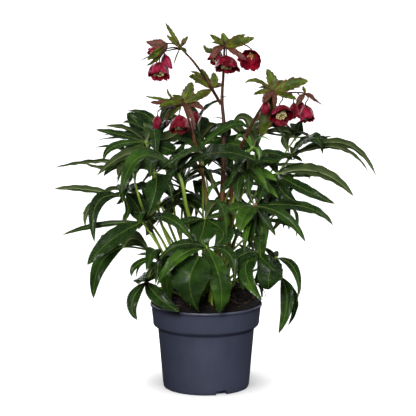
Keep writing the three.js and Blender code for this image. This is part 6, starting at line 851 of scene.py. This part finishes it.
def make_stage():
    stage = bpy.data.collections.new("stage")
    scene.collection.children.link(stage)
    g = Graph("pale floor")
    n = g.noise(g.place(0.001), 3.0, 2.0)
    white = g.done(g.mix(n, (0.90, 0.90, 0.90), (0.92, 0.92, 0.92)), 0.9, Specular_IOR_Level=0.0)
    far, k = 40.0, 48
    ring = [(far * math.cos(2 * math.pi * i / k), far * math.sin(2 * math.pi * i / k)) for i in range(k)]
    stage_mesh("floor", [(x, y, 0) for x, y in ring], [tuple(range(k))], white)
    # a plain white wall all round, far away
    m = bpy.data.materials.new("far wall")
    m.use_nodes = True
    m.node_tree.nodes.clear()
    out = m.node_tree.nodes.new("ShaderNodeOutputMaterial")
    em = m.node_tree.nodes.new("ShaderNodeEmission")
    em.inputs[0].default_value = (1, 1, 1, 1)
    em.inputs[1].default_value = 1.1
    m.node_tree.links.new(em.outputs[0], out.inputs[0])
    verts, faces = [], []
    for j in range(13):
        e = math.pi / 2 * j / 12.5
        verts += [(x * math.cos(e), y * math.cos(e), far * math.sin(e) - 0.02) for x, y in ring]
    for j in range(12):
        for i in range(k):
            faces.append((j * k + i, j * k + (i + 1) % k, (j + 1) * k + (i + 1) % k, (j + 1) * k + i))
    faces.append(tuple(12 * k + i for i in range(k)))
    stage_mesh("far_wall", verts, faces, m)
    # a soft lamp overhead that lights only the floor, and in which only the pot casts a shadow
    sun = bpy.data.lights.new("floor light", "SUN")
    sun.energy = FLOOR_LIGHT
    sun.angle = math.radians(62)
    ob = bpy.data.objects.new("floor light", sun)
    ob.rotation_euler = (math.radians(9), math.radians(-1.5), 0)
    scene.collection.objects.link(ob)
    ob.light_linking.receiver_collection = stage
    ob.light_linking.blocker_collection = bpy.data.collections.new("floor shadow")
    # the lamps on the plant leave the floor alone
    lit = bpy.data.collections.new("plant only")
    for piece in stage.objects:
        lit.objects.link(piece)
    for entry in lit.collection_objects:
        entry.light_linking.link_state = "EXCLUDE"
    for lamp in LAMPS:
        lamp.light_linking.receiver_collection = lit


FLOOR_LIGHT = 5.3
LAMPS = [area("key", (-0.5, -2.6, 1.30), (0, 0, 0.33), (0.8, 0.7), KEY, (1.0, 0.99, 0.96)),
         area("top", (0.15, 0.15, 2.0), (0, 0, 0.3), (1.3, 1.1), TOP, (0.93, 0.97, 1.0)),
         area("side", (2.0, -1.3, 1.1), (0, 0, 0.35), (0.9, 1.4), SIDE, (1.0, 1.0, 1.0)),
         area("back", (-1.3, 2.3, 1.0), (0, 0, 0.30), (1.4, 1.0), BACK, (1.0, 1.0, 1.0)),
         area("back right", (1.9, 1.7, 1.0), (0, 0, 0.30), (1.2, 1.0), 0.8 * BACK, (1.0, 1.0, 1.0))]
world = bpy.data.worlds.new("studio")
world.use_nodes = True
world.node_tree.nodes["Background"].inputs[0].default_value = (0.95, 0.98, 1, 1)
world.node_tree.nodes["Background"].inputs[1].default_value = AMBIENT
scene.world = world
make_stage()

# ------------------------------------------------------------------ pieces
LEAF = [leaf_top(), leaf_under()]
PETIOLE = stalk_skin("leaf stalk", [(0.0, (0.15, 0.21, 0.024)), (0.25, (0.19, 0.28, 0.030)), (0.6, (0.15, 0.25, 0.030)), (1.0, (0.11, 0.18, 0.026))], (0.26, 0.32, 0.06), (0.34, 0.5), 0.4, 0.28)
YOUNG = [young_leaf("young leaf upper side", (0.030, 0.095, 0.010), (0.090, 0.215, 0.018), (0.18, 0.30, 0.06)),
         young_leaf("young leaf underside", (0.09, 0.17, 0.035), (0.18, 0.30, 0.06), (0.26, 0.37, 0.11))]
BRACT = [bract("bract upper side", (0.024, 0.050, 0.004), (0.110, 0.165, 0.009), (0.13, 0.020, 0.012), -0.5),
         bract("bract underside", (0.040, 0.062, 0.008), (0.125, 0.160, 0.015), (0.14, 0.028, 0.018), 0.5)]
STEM = stalk_skin("flowering stem", [(0.0, (0.130, 0.190, 0.030)), (0.18, (0.115, 0.110, 0.020)), (0.30, (0.125, 0.050, 0.014)), (0.48, (0.070, 0.015, 0.008)), (0.66, (0.024, 0.0045, 0.004)), (1.0, (0.017, 0.0034, 0.0034))], (0.190, 0.075, 0.026), (0.40, 0.55), 0.2, 0.8)
SEPAL = [sepal("sepal outside", False), sepal("sepal inside", True)]
FILAMENT = flecked("stamen stalk", (0.26, 0.19, 0.060), (0.60, 0.50, 0.23), 0.8, (0.5, 0.6), 0.0002)
ANTHER = flecked("anther", (0.44, 0.34, 0.11), (0.86, 0.76, 0.42), 1.2, (0.7, 0.85), 0.0003)
RUST = flecked("old stamen", (0.26, 0.070, 0.018), (0.56, 0.26, 0.050), 1.0, (0.6, 0.75), 0.0003)
GREEN = flecked("nectary and carpel", (0.16, 0.17, 0.03), (0.36, 0.34, 0.10), 0.6, (0.35, 0.5), 0.0003)


def finish_piece(ob, slot, *nodes):
    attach(ob, "root")
    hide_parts(*nodes)


# how light each leaf is, given leaf by leaf: low values give a darker, bluer green, high ones a fresher green
LEAF_TONE = {1: 0.40, 2: 0.62, 3: 0.36, 4: 0.28, 5: 0.40, 6: 0.30, 7: 0.36, 8: 0.34, 9: 0.48, 10: 0.56, 11: 0.82, 12: 0.78, 13: 0.72, 14: 0.56, 15: 0.32,
             16: 0.12, 17: 0.50, 18: 0.80, 19: 0.16, 20: 0.24, 21: 0.26, 22: 0.32, 23: 0.50, 24: 0.50, 25: 0.50, 26: 0.50, 27: 0.52, 28: 0.38, 29: 0.62, 30: 0.26}


ROSY = flecked("reddish leaf node", (0.14, 0.028, 0.030), (0.40, 0.12, 0.12), 0.5, (0.35, 0.5), 0.0003)
PALE = flecked("pale thin stalk", (0.22, 0.27, 0.12), (0.46, 0.50, 0.30), 0.4, (0.35, 0.5), 0.0003)
ROSY_CURL = [[82.7, -72.0, 330.7], [76.0, -84.0, 342.6], [73.1, -94.0, 357.4], [77.5, -94.5, 369.3], [86.9, -88.5, 374.5], [97.2, -83.5, 374.6]]
# leaflets drawn a little further forward or back than their line, so that their wavy edges clear a neighbour
SHIFT = {("leaf_14", 6): 5.0, ("leaf_11", 5): -3.5, ("leaf_09", 5): 4.5, ("leaf_13", 6): 5.0, ("leaf_29", 1): 5.0}


def make_leaf(index, row):
    name, pts, (r0, r1), blades = row
    b = Build()
    pts = np.asarray(pts, float)
    hub = pts[-1]
    young = name == YOUNG_LEAF
    tone = LEAF_TONE[index]
    down = unit(pts[1] - pts[0])
    path = np.concatenate([[pts[0] - down * 9.0], pts])
    end = unit(pts[-1] - pts[-2])

    def girth(f):
        return r0 * 1.15 + (r1 - r0 * 1.15) * smooth(f * 1.15) + 0.35 * r1 * smooth((f - 0.965) / 0.035)

    stalk(b, path, girth, 12, 2, (tone, 0.5), step=7, ribs=0.04, groove=0.22, seed=index)
    rosy = name == "leaf_13"
    knob(b, hub, end, r1 * 1.5 + 0.4, r1 * 1.5 + 1.2, 5 if rosy else 2, (tone, 0.5, 0.9))
    if rosy:
        # a thin pale stalk that curls up out of the reddish leaf node
        knob(b, ROSY_CURL[0], (0.2, -0.6, 0.8), 3.0, 3.6, 5, (0.5, 0.5, 0.9))
        stalk(b, ROSY_CURL, (1.25, 0.7), 8, 6, (0.5, 0.5), step=3, ribs=0.04, seed=930)
    for k, (m, t, w, roll, fold, kind) in enumerate(blades):
        tb = float(wobble(index * 97 + k, 0, 1))
        fresh = kind == 2 and not young
        back = SHIFT.get((name, k), 0.0) * np.array([0.0, 1.0, -0.12])
        m, t = np.asarray(m, float) + back, np.asarray(t, float) + back
        leaflet(b, hub, m, t, w, roll, fold, kind, (np.clip(tone * 0.5 + tb * 0.5, 0, 1), tb), index * 50 + k, 3 if fresh else 0, 4 if fresh else 1,
                teeth=0.5 if young else 1.0, lift=0.45 if young else 0.75)
    mats = (YOUNG if young else LEAF) + [PETIOLE] + YOUNG + ([ROSY, PALE] if rosy else [])
    ob = b.object(name + "_detail", mats)
    finish_piece(ob, "young_leaf" if young else "leaf", name)


for i, row in enumerate(LEAVES):
    make_leaf(i + 1, row)


# how far along its colours each stem is: below 0.5 greener, above it darker and redder
STEM_TONE = {"stem_left": 0.18, "stem_tall": 0.55, "stem_right": 0.45, "branch_up_left": 0.45}
# dead leaf scars and hairs that stick out of the tall stem
SPIKES = [[(28.0, 7.0, 507.2), (33.5, 2.0, 508.6), (39.6, 0.0, 508.0)], [(28.4, 6.0, 470.6), (21.0, 3.5, 472.6), (14.0, 1.5, 473.2), (5.0, 0.0, 470.2)],
          [(30.6, 2.0, 452.0), (35.0, -1.0, 455.0), (37.4, -2.0, 458.0)]]


def make_stem(index, name, tubes):
    b = Build()
    for k, (tag, pts, r0, r1) in enumerate(tubes):
        pts = np.asarray(pts, float)
        main = tag == name
        if main:
            pts = np.concatenate([[pts[0] - unit(pts[1] - pts[0]) * 10.0], pts])
        thick = not tag.startswith("ped")

        def girth(f, r0=r0, r1=r1, thick=thick, main=main, tag=tag):
            r = (r0 + (r1 - r0) * f) * (1.26 - 0.26 * f if tag == "stem_tall" else 1.0)
            if not thick:
                r = r * (1 + 0.35 * smooth((f - 0.93) / 0.07) + 0.25 * smooth((0.08 - f) / 0.08))
            if main:
                r = r * (1 + 0.12 * smooth((0.06 - f) / 0.06))
            return r

        stalk(b, pts, girth, 14 if thick else 10, 0, (0.3 + 0.1 * k, STEM_TONE.get(tag, 0.5)), step=5 if thick else 3, ribs=0.05, seed=index * 20 + k)
        if thick:
            knob(b, pts[-1], unit(pts[-1] - pts[-2]), r1 * 1.2, r1 * 1.6, 0, (0.5, 0.5, 1))
    if name == "stem_tall":
        for i, path in enumerate(SPIKES):
            stalk(b, path, lambda f: 1.0 - 0.8 * smooth(f), 7, 0, (0.5, 0.62), step=2, ribs=0.1, seed=900 + i)
        for row in FLOWERS:
            if row[0] == "bud_top_left":
                _, _, top, axis, d, length, *_ = row
                closed = Build()
                x, y, a = axes_of(axis)
                k = 2 * math.pi * np.arange(12) / 12
                rings = [np.asarray(top) + a * (z * length - 1.0) + float(bud_radius(np.array(z), d)) * (1 + 0.05 * np.sin(5 * k)[:, None]) * (np.cos(k)[:, None] * x + np.sin(k)[:, None] * y) for z in np.linspace(0.03, 0.97, 11)]
                loft(b, np.array(rings), 1, (0, 0, 3), (0.5, 0.5, 0.5))
    if name == "stem_left":
        # two small fresh leaves that open from the side of the stem
        for i, (hub, mid, tip, w, roll) in enumerate((((4.4, 4.0, 336.0), (9.6, 0.0, 351.5), (22.0, -3.0, 358.4), 7.0, 60.0), ((3.2, 6.0, 344.0), (2.2, 4.0, 355.0), (-0.6, 3.0, 369.0), 6.0, -50.0))):
            leaflet(b, hub, mid, tip, w, roll, 12.0, 2, (0.5, 0.4), 8800 + i, 2, 3, lift=0.3, teeth=0.3)
    ob = b.object(name + "_detail", [STEM, BRACT[0]] + YOUNG)
    finish_piece(ob, "stem", name)


for i, (name, tubes) in enumerate(STEMS.items()):
    make_stem(i, name, tubes)


def make_whorl(index, row):
    name, hub, axis, r, blades = row
    b = Build()
    hub = np.asarray(hub, float)
    x, y, a = axes_of(axis)
    for k, (m, t, w, roll, fold, kind) in enumerate(blades):
        m, t = np.asarray(m, float), np.asarray(t, float)
        d = m - hub
        d = unit(d - a * (d @ a))
        start = hub + d * (r * 0.7)
        tb = float(wobble(index * 131 + k, 0, 1))
        pink = 1.0 if kind == 4 else 0.0
        leaflet(b, start, m, t, w, roll, fold, kind, (tb, pink), 4000 + index * 50 + k, 0, 1, lift=0.35, teeth=0.55, foot=2.1)
    # the swollen node that carries the bracts
    k = 2 * math.pi * np.arange(16) / 16
    rings = []
    for z, q in ((-2.6, 0.9), (-1.6, 1.12), (-0.2, 1.28), (1.2, 1.22), (2.4, 1.0), (3.0, 0.85)):
        rings.append(hub + a * z + (r * q + 0.15) * (1 + 0.06 * np.sin(len(blades) * k)[:, None]) * (np.cos(k)[:, None] * x + np.sin(k)[:, None] * y))
    loft(b, np.array(rings), 2, (0, 0, 3), (0.5, 0.5, 0.5))
    ob = b.object(name + "_detail", BRACT + [STEM])
    finish_piece(ob, "bract", name)


for i, row in enumerate(WHORLS):
    make_whorl(i, row)


LOOSE = {"flower_top_right": 1.0, "flower_top": 0.6, "flower_right": 0.5, "flower_upper_left": 0.5, "flower_upper_left_b": 0.8}
SEPAL_TONE = {"flower_upper_left": 0.85, "flower_top_right": 0.80, "flower_top": 0.18, "flower_right": 0.45, "flower_left": 0.42, "bud": 0.6}


def make_flower(index, row):
    name, kind, top, axis, d, length, flare, centre, turn = row
    if name == "bud_top_left":
        return
    b = Build()
    tone = next(v for key, v in SEPAL_TONE.items() if name.startswith(key)) + 0.08 * float(wobble(index * 17 + 2))
    sepals(b, top, axis, d, length, flare, turn, index + 1, kind == "bud", (tone, 0.5), LOOSE.get(name, 0.25))
    knob(b, np.asarray(top, float) + unit(np.asarray(axis, float)) * 0.3, axis, 2.6 if kind != "bud" else 1.7, 1.5, 2, (0.5, 0.5, 1))
    if kind != "bud" and not centre:
        flower_centre(b, top, axis, d, length, index + 1, (3, 4, 5), 0.85)
    ob = b.object(name + "_sepals", SEPAL + [STEM, FILAMENT, ANTHER, GREEN])
    finish_piece(ob, "sepal", name)
    if centre:
        c = Build()
        aside = name == "flower_top_right"
        flower_centre(c, top, axis, d, length, index + 1, (0, 1, 2), 0.24 if aside else 0.86, 11 if aside else 44)
        finish_piece(c.object(name + "_centre", [RUST, RUST, RUST] if aside else [FILAMENT, ANTHER, GREEN]), "stamen", name + "_stamens")


for i, row in enumerate(FLOWERS):
    make_flower(i, row)


# ------------------------------------------------------------------ pot
POT_OUT = [(0, 0.0), (19.6, 0.0), (20.3, 0.35), (21.8, 2.7), (23, 3.0), (61.2, 3.0), (62.4, 2.7), (63.8, 0.4), (64.4, 0.0), (73.5, 0.0), (74.4, 0.35), (75.0, 1.3), (75.5, 3.5), (76.0, 6.5),
           (76.3, 9.0), (78.5, 34.5), (80.65, 60.0), (82.85, 85.5), (84.3, 102.5), (84.6, 104.0), (85.3, 104.9), (86.4, 105.9), (89.2, 108.3), (91.2, 110.1), (92.2, 111.0), (92.7, 112.2), (92.9, 114.0),
           (93.6, 121.0), (94.3, 128.5), (95.0, 135.5), (95.7, 141.9), (96.0, 143.1), (96.9, 143.9), (97.6, 144.5), (98.0, 145.4), (98.05, 146.6), (97.9, 147.9), (97.5, 148.7), (96.8, 149.0)]
POT_IN = [(95.6, 149.0), (94.9, 148.7), (94.5, 147.9), (93.6, 142.0), (92.4, 129.0), (90.9, 114.2), (90.4, 112.6), (89.2, 111.0), (85.0, 107.2), (82.9, 105.2), (82.2, 103.3), (80.6, 85.0), (78.45, 60.0), (76.3, 34.0), (74.3, 9.6), (73.7, 7.2), (72.4, 5.9), (70.4, 5.5), (0, 5.5)]
SLOTS = [-69.0, 51.0, 171.0]


def make_pot():
    prof = np.array(POT_OUT + POT_IN)
    sides = 180
    a = 2 * math.pi * (np.arange(sides) + 0.5) / sides
    mid = prof[1:-1]
    ring = np.stack([mid[:, 0, None] * np.cos(a), mid[:, 0, None] * np.sin(a), np.broadcast_to(mid[:, 1, None], (len(mid), sides))], -1)
    verts = np.concatenate([ring.reshape(-1, 3), [[0, 0, prof[0, 1]], [0, 0, prof[-1, 1]]]])
    idx = np.arange(len(mid) * sides).reshape(len(mid), sides)
    nxt = np.roll(idx, -1, axis=1)
    side = np.stack([idx[:-1], nxt[:-1], nxt[1:], idx[1:]], -1).reshape(-1, 4)
    lo, hi = len(verts) - 2, len(verts) - 1
    c0 = np.stack([nxt[0], idx[0], np.full(sides, lo)], -1)
    c1 = np.stack([idx[-1], nxt[-1], np.full(sides, hi)], -1)
    b = Build()
    b.add(verts, [side, c0, c1], [0] * (len(side) + 2 * sides), (0, 0, 0), (0, 0, 0))
    # a small moulded rib above each drain notch
    for deg in SLOTS:
        t = math.radians(deg)
        e, f = np.array([math.cos(t), math.sin(t), 0]), np.array([-math.sin(t), math.cos(t), 0])
        path = [e * 76.85 * math.cos(q) + f * 76.85 * math.sin(q) + np.array([0, 0, 15.0]) for q in np.linspace(-0.11, 0.11, 7)]
        stalk(b, path, lambda s: 0.55 * np.sin(np.pi * np.clip(s, 0.04, 0.96)) ** 0.4, 8, 0, (0, 0), step=2, ribs=0)
    pot = b.object("pot_shell", [pot_plastic()], sharp=0)
    cutters = []
    for deg in SLOTS:
        t = math.radians(deg)
        e, f = np.array([math.cos(t), math.sin(t), 0]), np.array([-math.sin(t), math.cos(t), 0])
        c = Build()
        pts = []
        for rr in (65.4, 84.0):
            for w, z in ((-10, -6), (10, -6), (10, 6.4), (8.9, 7.5), (-8.9, 7.5), (-10, 6.4)):
                pts.append(e * rr + f * w + np.array([0, 0, z]))
        loft(c, np.array(pts).reshape(2, 6, 3), 0, (0, 0, 0), (0, 0, 0))
        cutters.append(c.object("notch", [], sharp=0))
    for c in cutters:
        mod = pot.modifiers.new("notch", "BOOLEAN")
        mod.operation, mod.solver, mod.object = "DIFFERENCE", "EXACT", c
    bpy.context.view_layer.update()
    done = bpy.data.meshes.new_from_object(pot.evaluated_get(bpy.context.evaluated_depsgraph_get()))
    pot.modifiers.clear()
    old = pot.data
    pot.data = done
    bpy.data.meshes.remove(old)
    for c in cutters:
        bpy.data.objects.remove(c)
    pot.data.polygons.foreach_set("use_smooth", np.ones(len(pot.data.polygons), bool))
    pot.data.set_sharp_from_angle(angle=math.radians(38))
    bpy.data.collections["floor shadow"].objects.link(pot)
    finish_piece(pot, "pot", "pot")


make_pot()


# ------------------------------------------------------------------ compost
def soil_level(x, y):
    r = np.hypot(x, y)
    dome = np.sqrt(np.maximum(1 - (np.maximum(r - 50, 0) / 45.5) ** 2, 0))
    return 146 + 32 * dome * (0.5 + 0.5 * smooth((y + 50) / 90))


def fbm(p, scale, octaves=4):
    return mnoise.fractal(Vector(p) * scale, 0.9, 2.1, octaves, noise_basis="PERLIN_ORIGINAL")


def make_soil():
    b = Build()
    sides, rs = 200, np.concatenate([np.linspace(1.5, 74, 40), np.linspace(75.5, 91.0, 13), [92.2, 93.2, 93.9]])
    a = 2 * math.pi * np.arange(sides) / sides
    xs, ys = rs[:, None] * np.cos(a), rs[:, None] * np.sin(a)
    z = soil_level(xs, ys)
    bumps = np.array([[fbm((x, y, 3.0), 0.035, 3) * 2.6 + fbm((x, y, 9.0), 0.17, 4) * 1.7 + abs(fbm((x, y, 20.0), 0.42, 2)) * 1.3 for x, y in zip(rx, ry)] for rx, ry in zip(xs, ys)])
    z = z + bumps * np.clip((94.5 - rs) / 5, 0.25, 1)[:, None] - 0.4
    top = np.stack([xs, ys, z], -1)
    below = [np.stack([r * np.cos(a), r * np.sin(a), np.full(sides, zz)], -1) for r, zz in ((93.1, 147.0), (92.3, 140.0), (90.2, 118.0), (88.0, 112.0), (81.0, 103.0), (73.2, 9.5), (72.0, 6.0))]
    loft(b, np.concatenate([top, np.array(below)]), 0, (0, 0, 0), (0.3, 0.5, 0.5))
    rg = np.random.default_rng(SEED)
    # bark chips and crumbs lying on it
    cube = np.array([[-1, -1, -1], [1, -1, -1], [1, 1, -1], [-1, 1, -1], [-1, -1, 1], [1, -1, 1], [1, 1, 1], [-1, 1, 1]], float)
    for i in range(1500):
        r = 93 * math.sqrt(rg.uniform(0.0, 0.985))
        t = rg.uniform(0, 2 * math.pi)
        x, y = r * math.cos(t), r * math.sin(t)
        big = rg.uniform() ** 3
        size = np.array([1.0 + 4.2 * big, 0.8 + 1.9 * big, 0.45 + 0.9 * big]) * rg.uniform(0.7, 1.3, 3)
        if math.hypot(x, y) + size[0] > 94.0:
            continue
        k = rings_of_chip(rg) * size
        yaw, tilt, rollx = rg.uniform(0, 6.28), rg.uniform(-0.5, 0.5), rg.uniform(-0.5, 0.5)
        rot = np.array(Matrix.Rotation(yaw, 3, "Z") @ Matrix.Rotation(tilt, 3, "Y") @ Matrix.Rotation(rollx, 3, "X"))
        zz = float(soil_level(np.array(x), np.array(y))) + fbm((x, y, 3.0), 0.035, 3) * 2.6 + size[2] * 0.35
        loft(b, k @ rot.T + np.array([x, y, zz]), 1 if rg.uniform() < 0.62 else 2, (0, 0, 0), (rg.uniform(0, 1), rg.uniform(0, 1), 0.5))
    # two withered stalks that hang over the edge on the right
    for path, r in (([(80, 22, 170), (86.5, 24, 176.5), (92.5, 24, 173), (96.6, 22, 164), (97.6, 20, 154), (96.4, 18, 149.9)], 1.15),
                    ([(89.5, 24, 175.6), (97.0, 24, 172.0), (102.0, 22, 164.5), (104.6, 21, 157.5), (105.0, 20, 153.4)], 0.95)):
        stalk(b, path, lambda f, r=r: r * (1 - 0.35 * f), 7, 3, (0.5, 0.5), step=2.5, ribs=0.1)
    # the cut end of an old leaf stalk that leans on the compost, and two small shoots coming up
    stalk(b, [(-70.0, 3.0, 171.5), (-58.0, -13.0, 169.6), (-46.0, -28.0, 167.0), (-32.0, -43.5, 164.4)], lambda f: 2.3 - 0.7 * f, 10, 4, (0.5, 0.5), step=4, ribs=0.06, seed=77)
    for x, y, high, lean in ((10.0, -78.0, 30.0, -2.0), (5.0, -60.0, 26.0, 3.0), (-26.0, -72.0, 13.0, 2.0)):
        z0 = float(soil_level(np.array(x), np.array(y)))
        stalk(b, [(x, y, z0 - 4), (x + lean * 0.4, y - 1, z0 + high * 0.5), (x + lean, y - 3, z0 + high)], lambda f: 2.2 - 1.2 * smooth((f - 0.6) / 0.4), 9, 4, (0.4, 0.5), step=3, ribs=0.08, seed=int(x) + 90)
    ob = b.object("compost_top", [compost("compost", (0.0026, 0.0018, 0.0014), (0.011, 0.007, 0.005)), compost("dark bark", (0.0045, 0.0029, 0.0021), (0.019, 0.011, 0.0065)), compost("pale bark", (0.018, 0.010, 0.006), (0.11, 0.062, 0.034)), flecked("withered stalk", (0.016, 0.014, 0.008), (0.050, 0.048, 0.024), 0.5, (0.6, 0.8), 0.0003), PETIOLE], sharp=35)
    finish_piece(ob, "compost", "soil")


def rings_of_chip(rg):
    """A lumpy chip as four rings of six points, about 2 across."""
    out = []
    for q, w in ((-1.0, 0.45), (-0.4, 1.0), (0.45, 0.95), (1.0, 0.4)):
        k = 2 * math.pi * np.arange(6) / 6 + rg.uniform(-0.15, 0.15, 6)
        rr = w * rg.uniform(0.75, 1.1, 6)
        out.append(np.stack([np.full(6, q) + rg.uniform(-0.12, 0.12, 6), rr * np.cos(k), rr * np.sin(k)], -1))
    return np.array(out)


make_soil()

bpy.context.view_layer.update()
VIS_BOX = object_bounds()


def plain(v):
    return [plain(x) for x in v] if hasattr(v, "__len__") else float(v)


{"cad": plain(CAD_BOX), "visual": plain(VIS_BOX)}
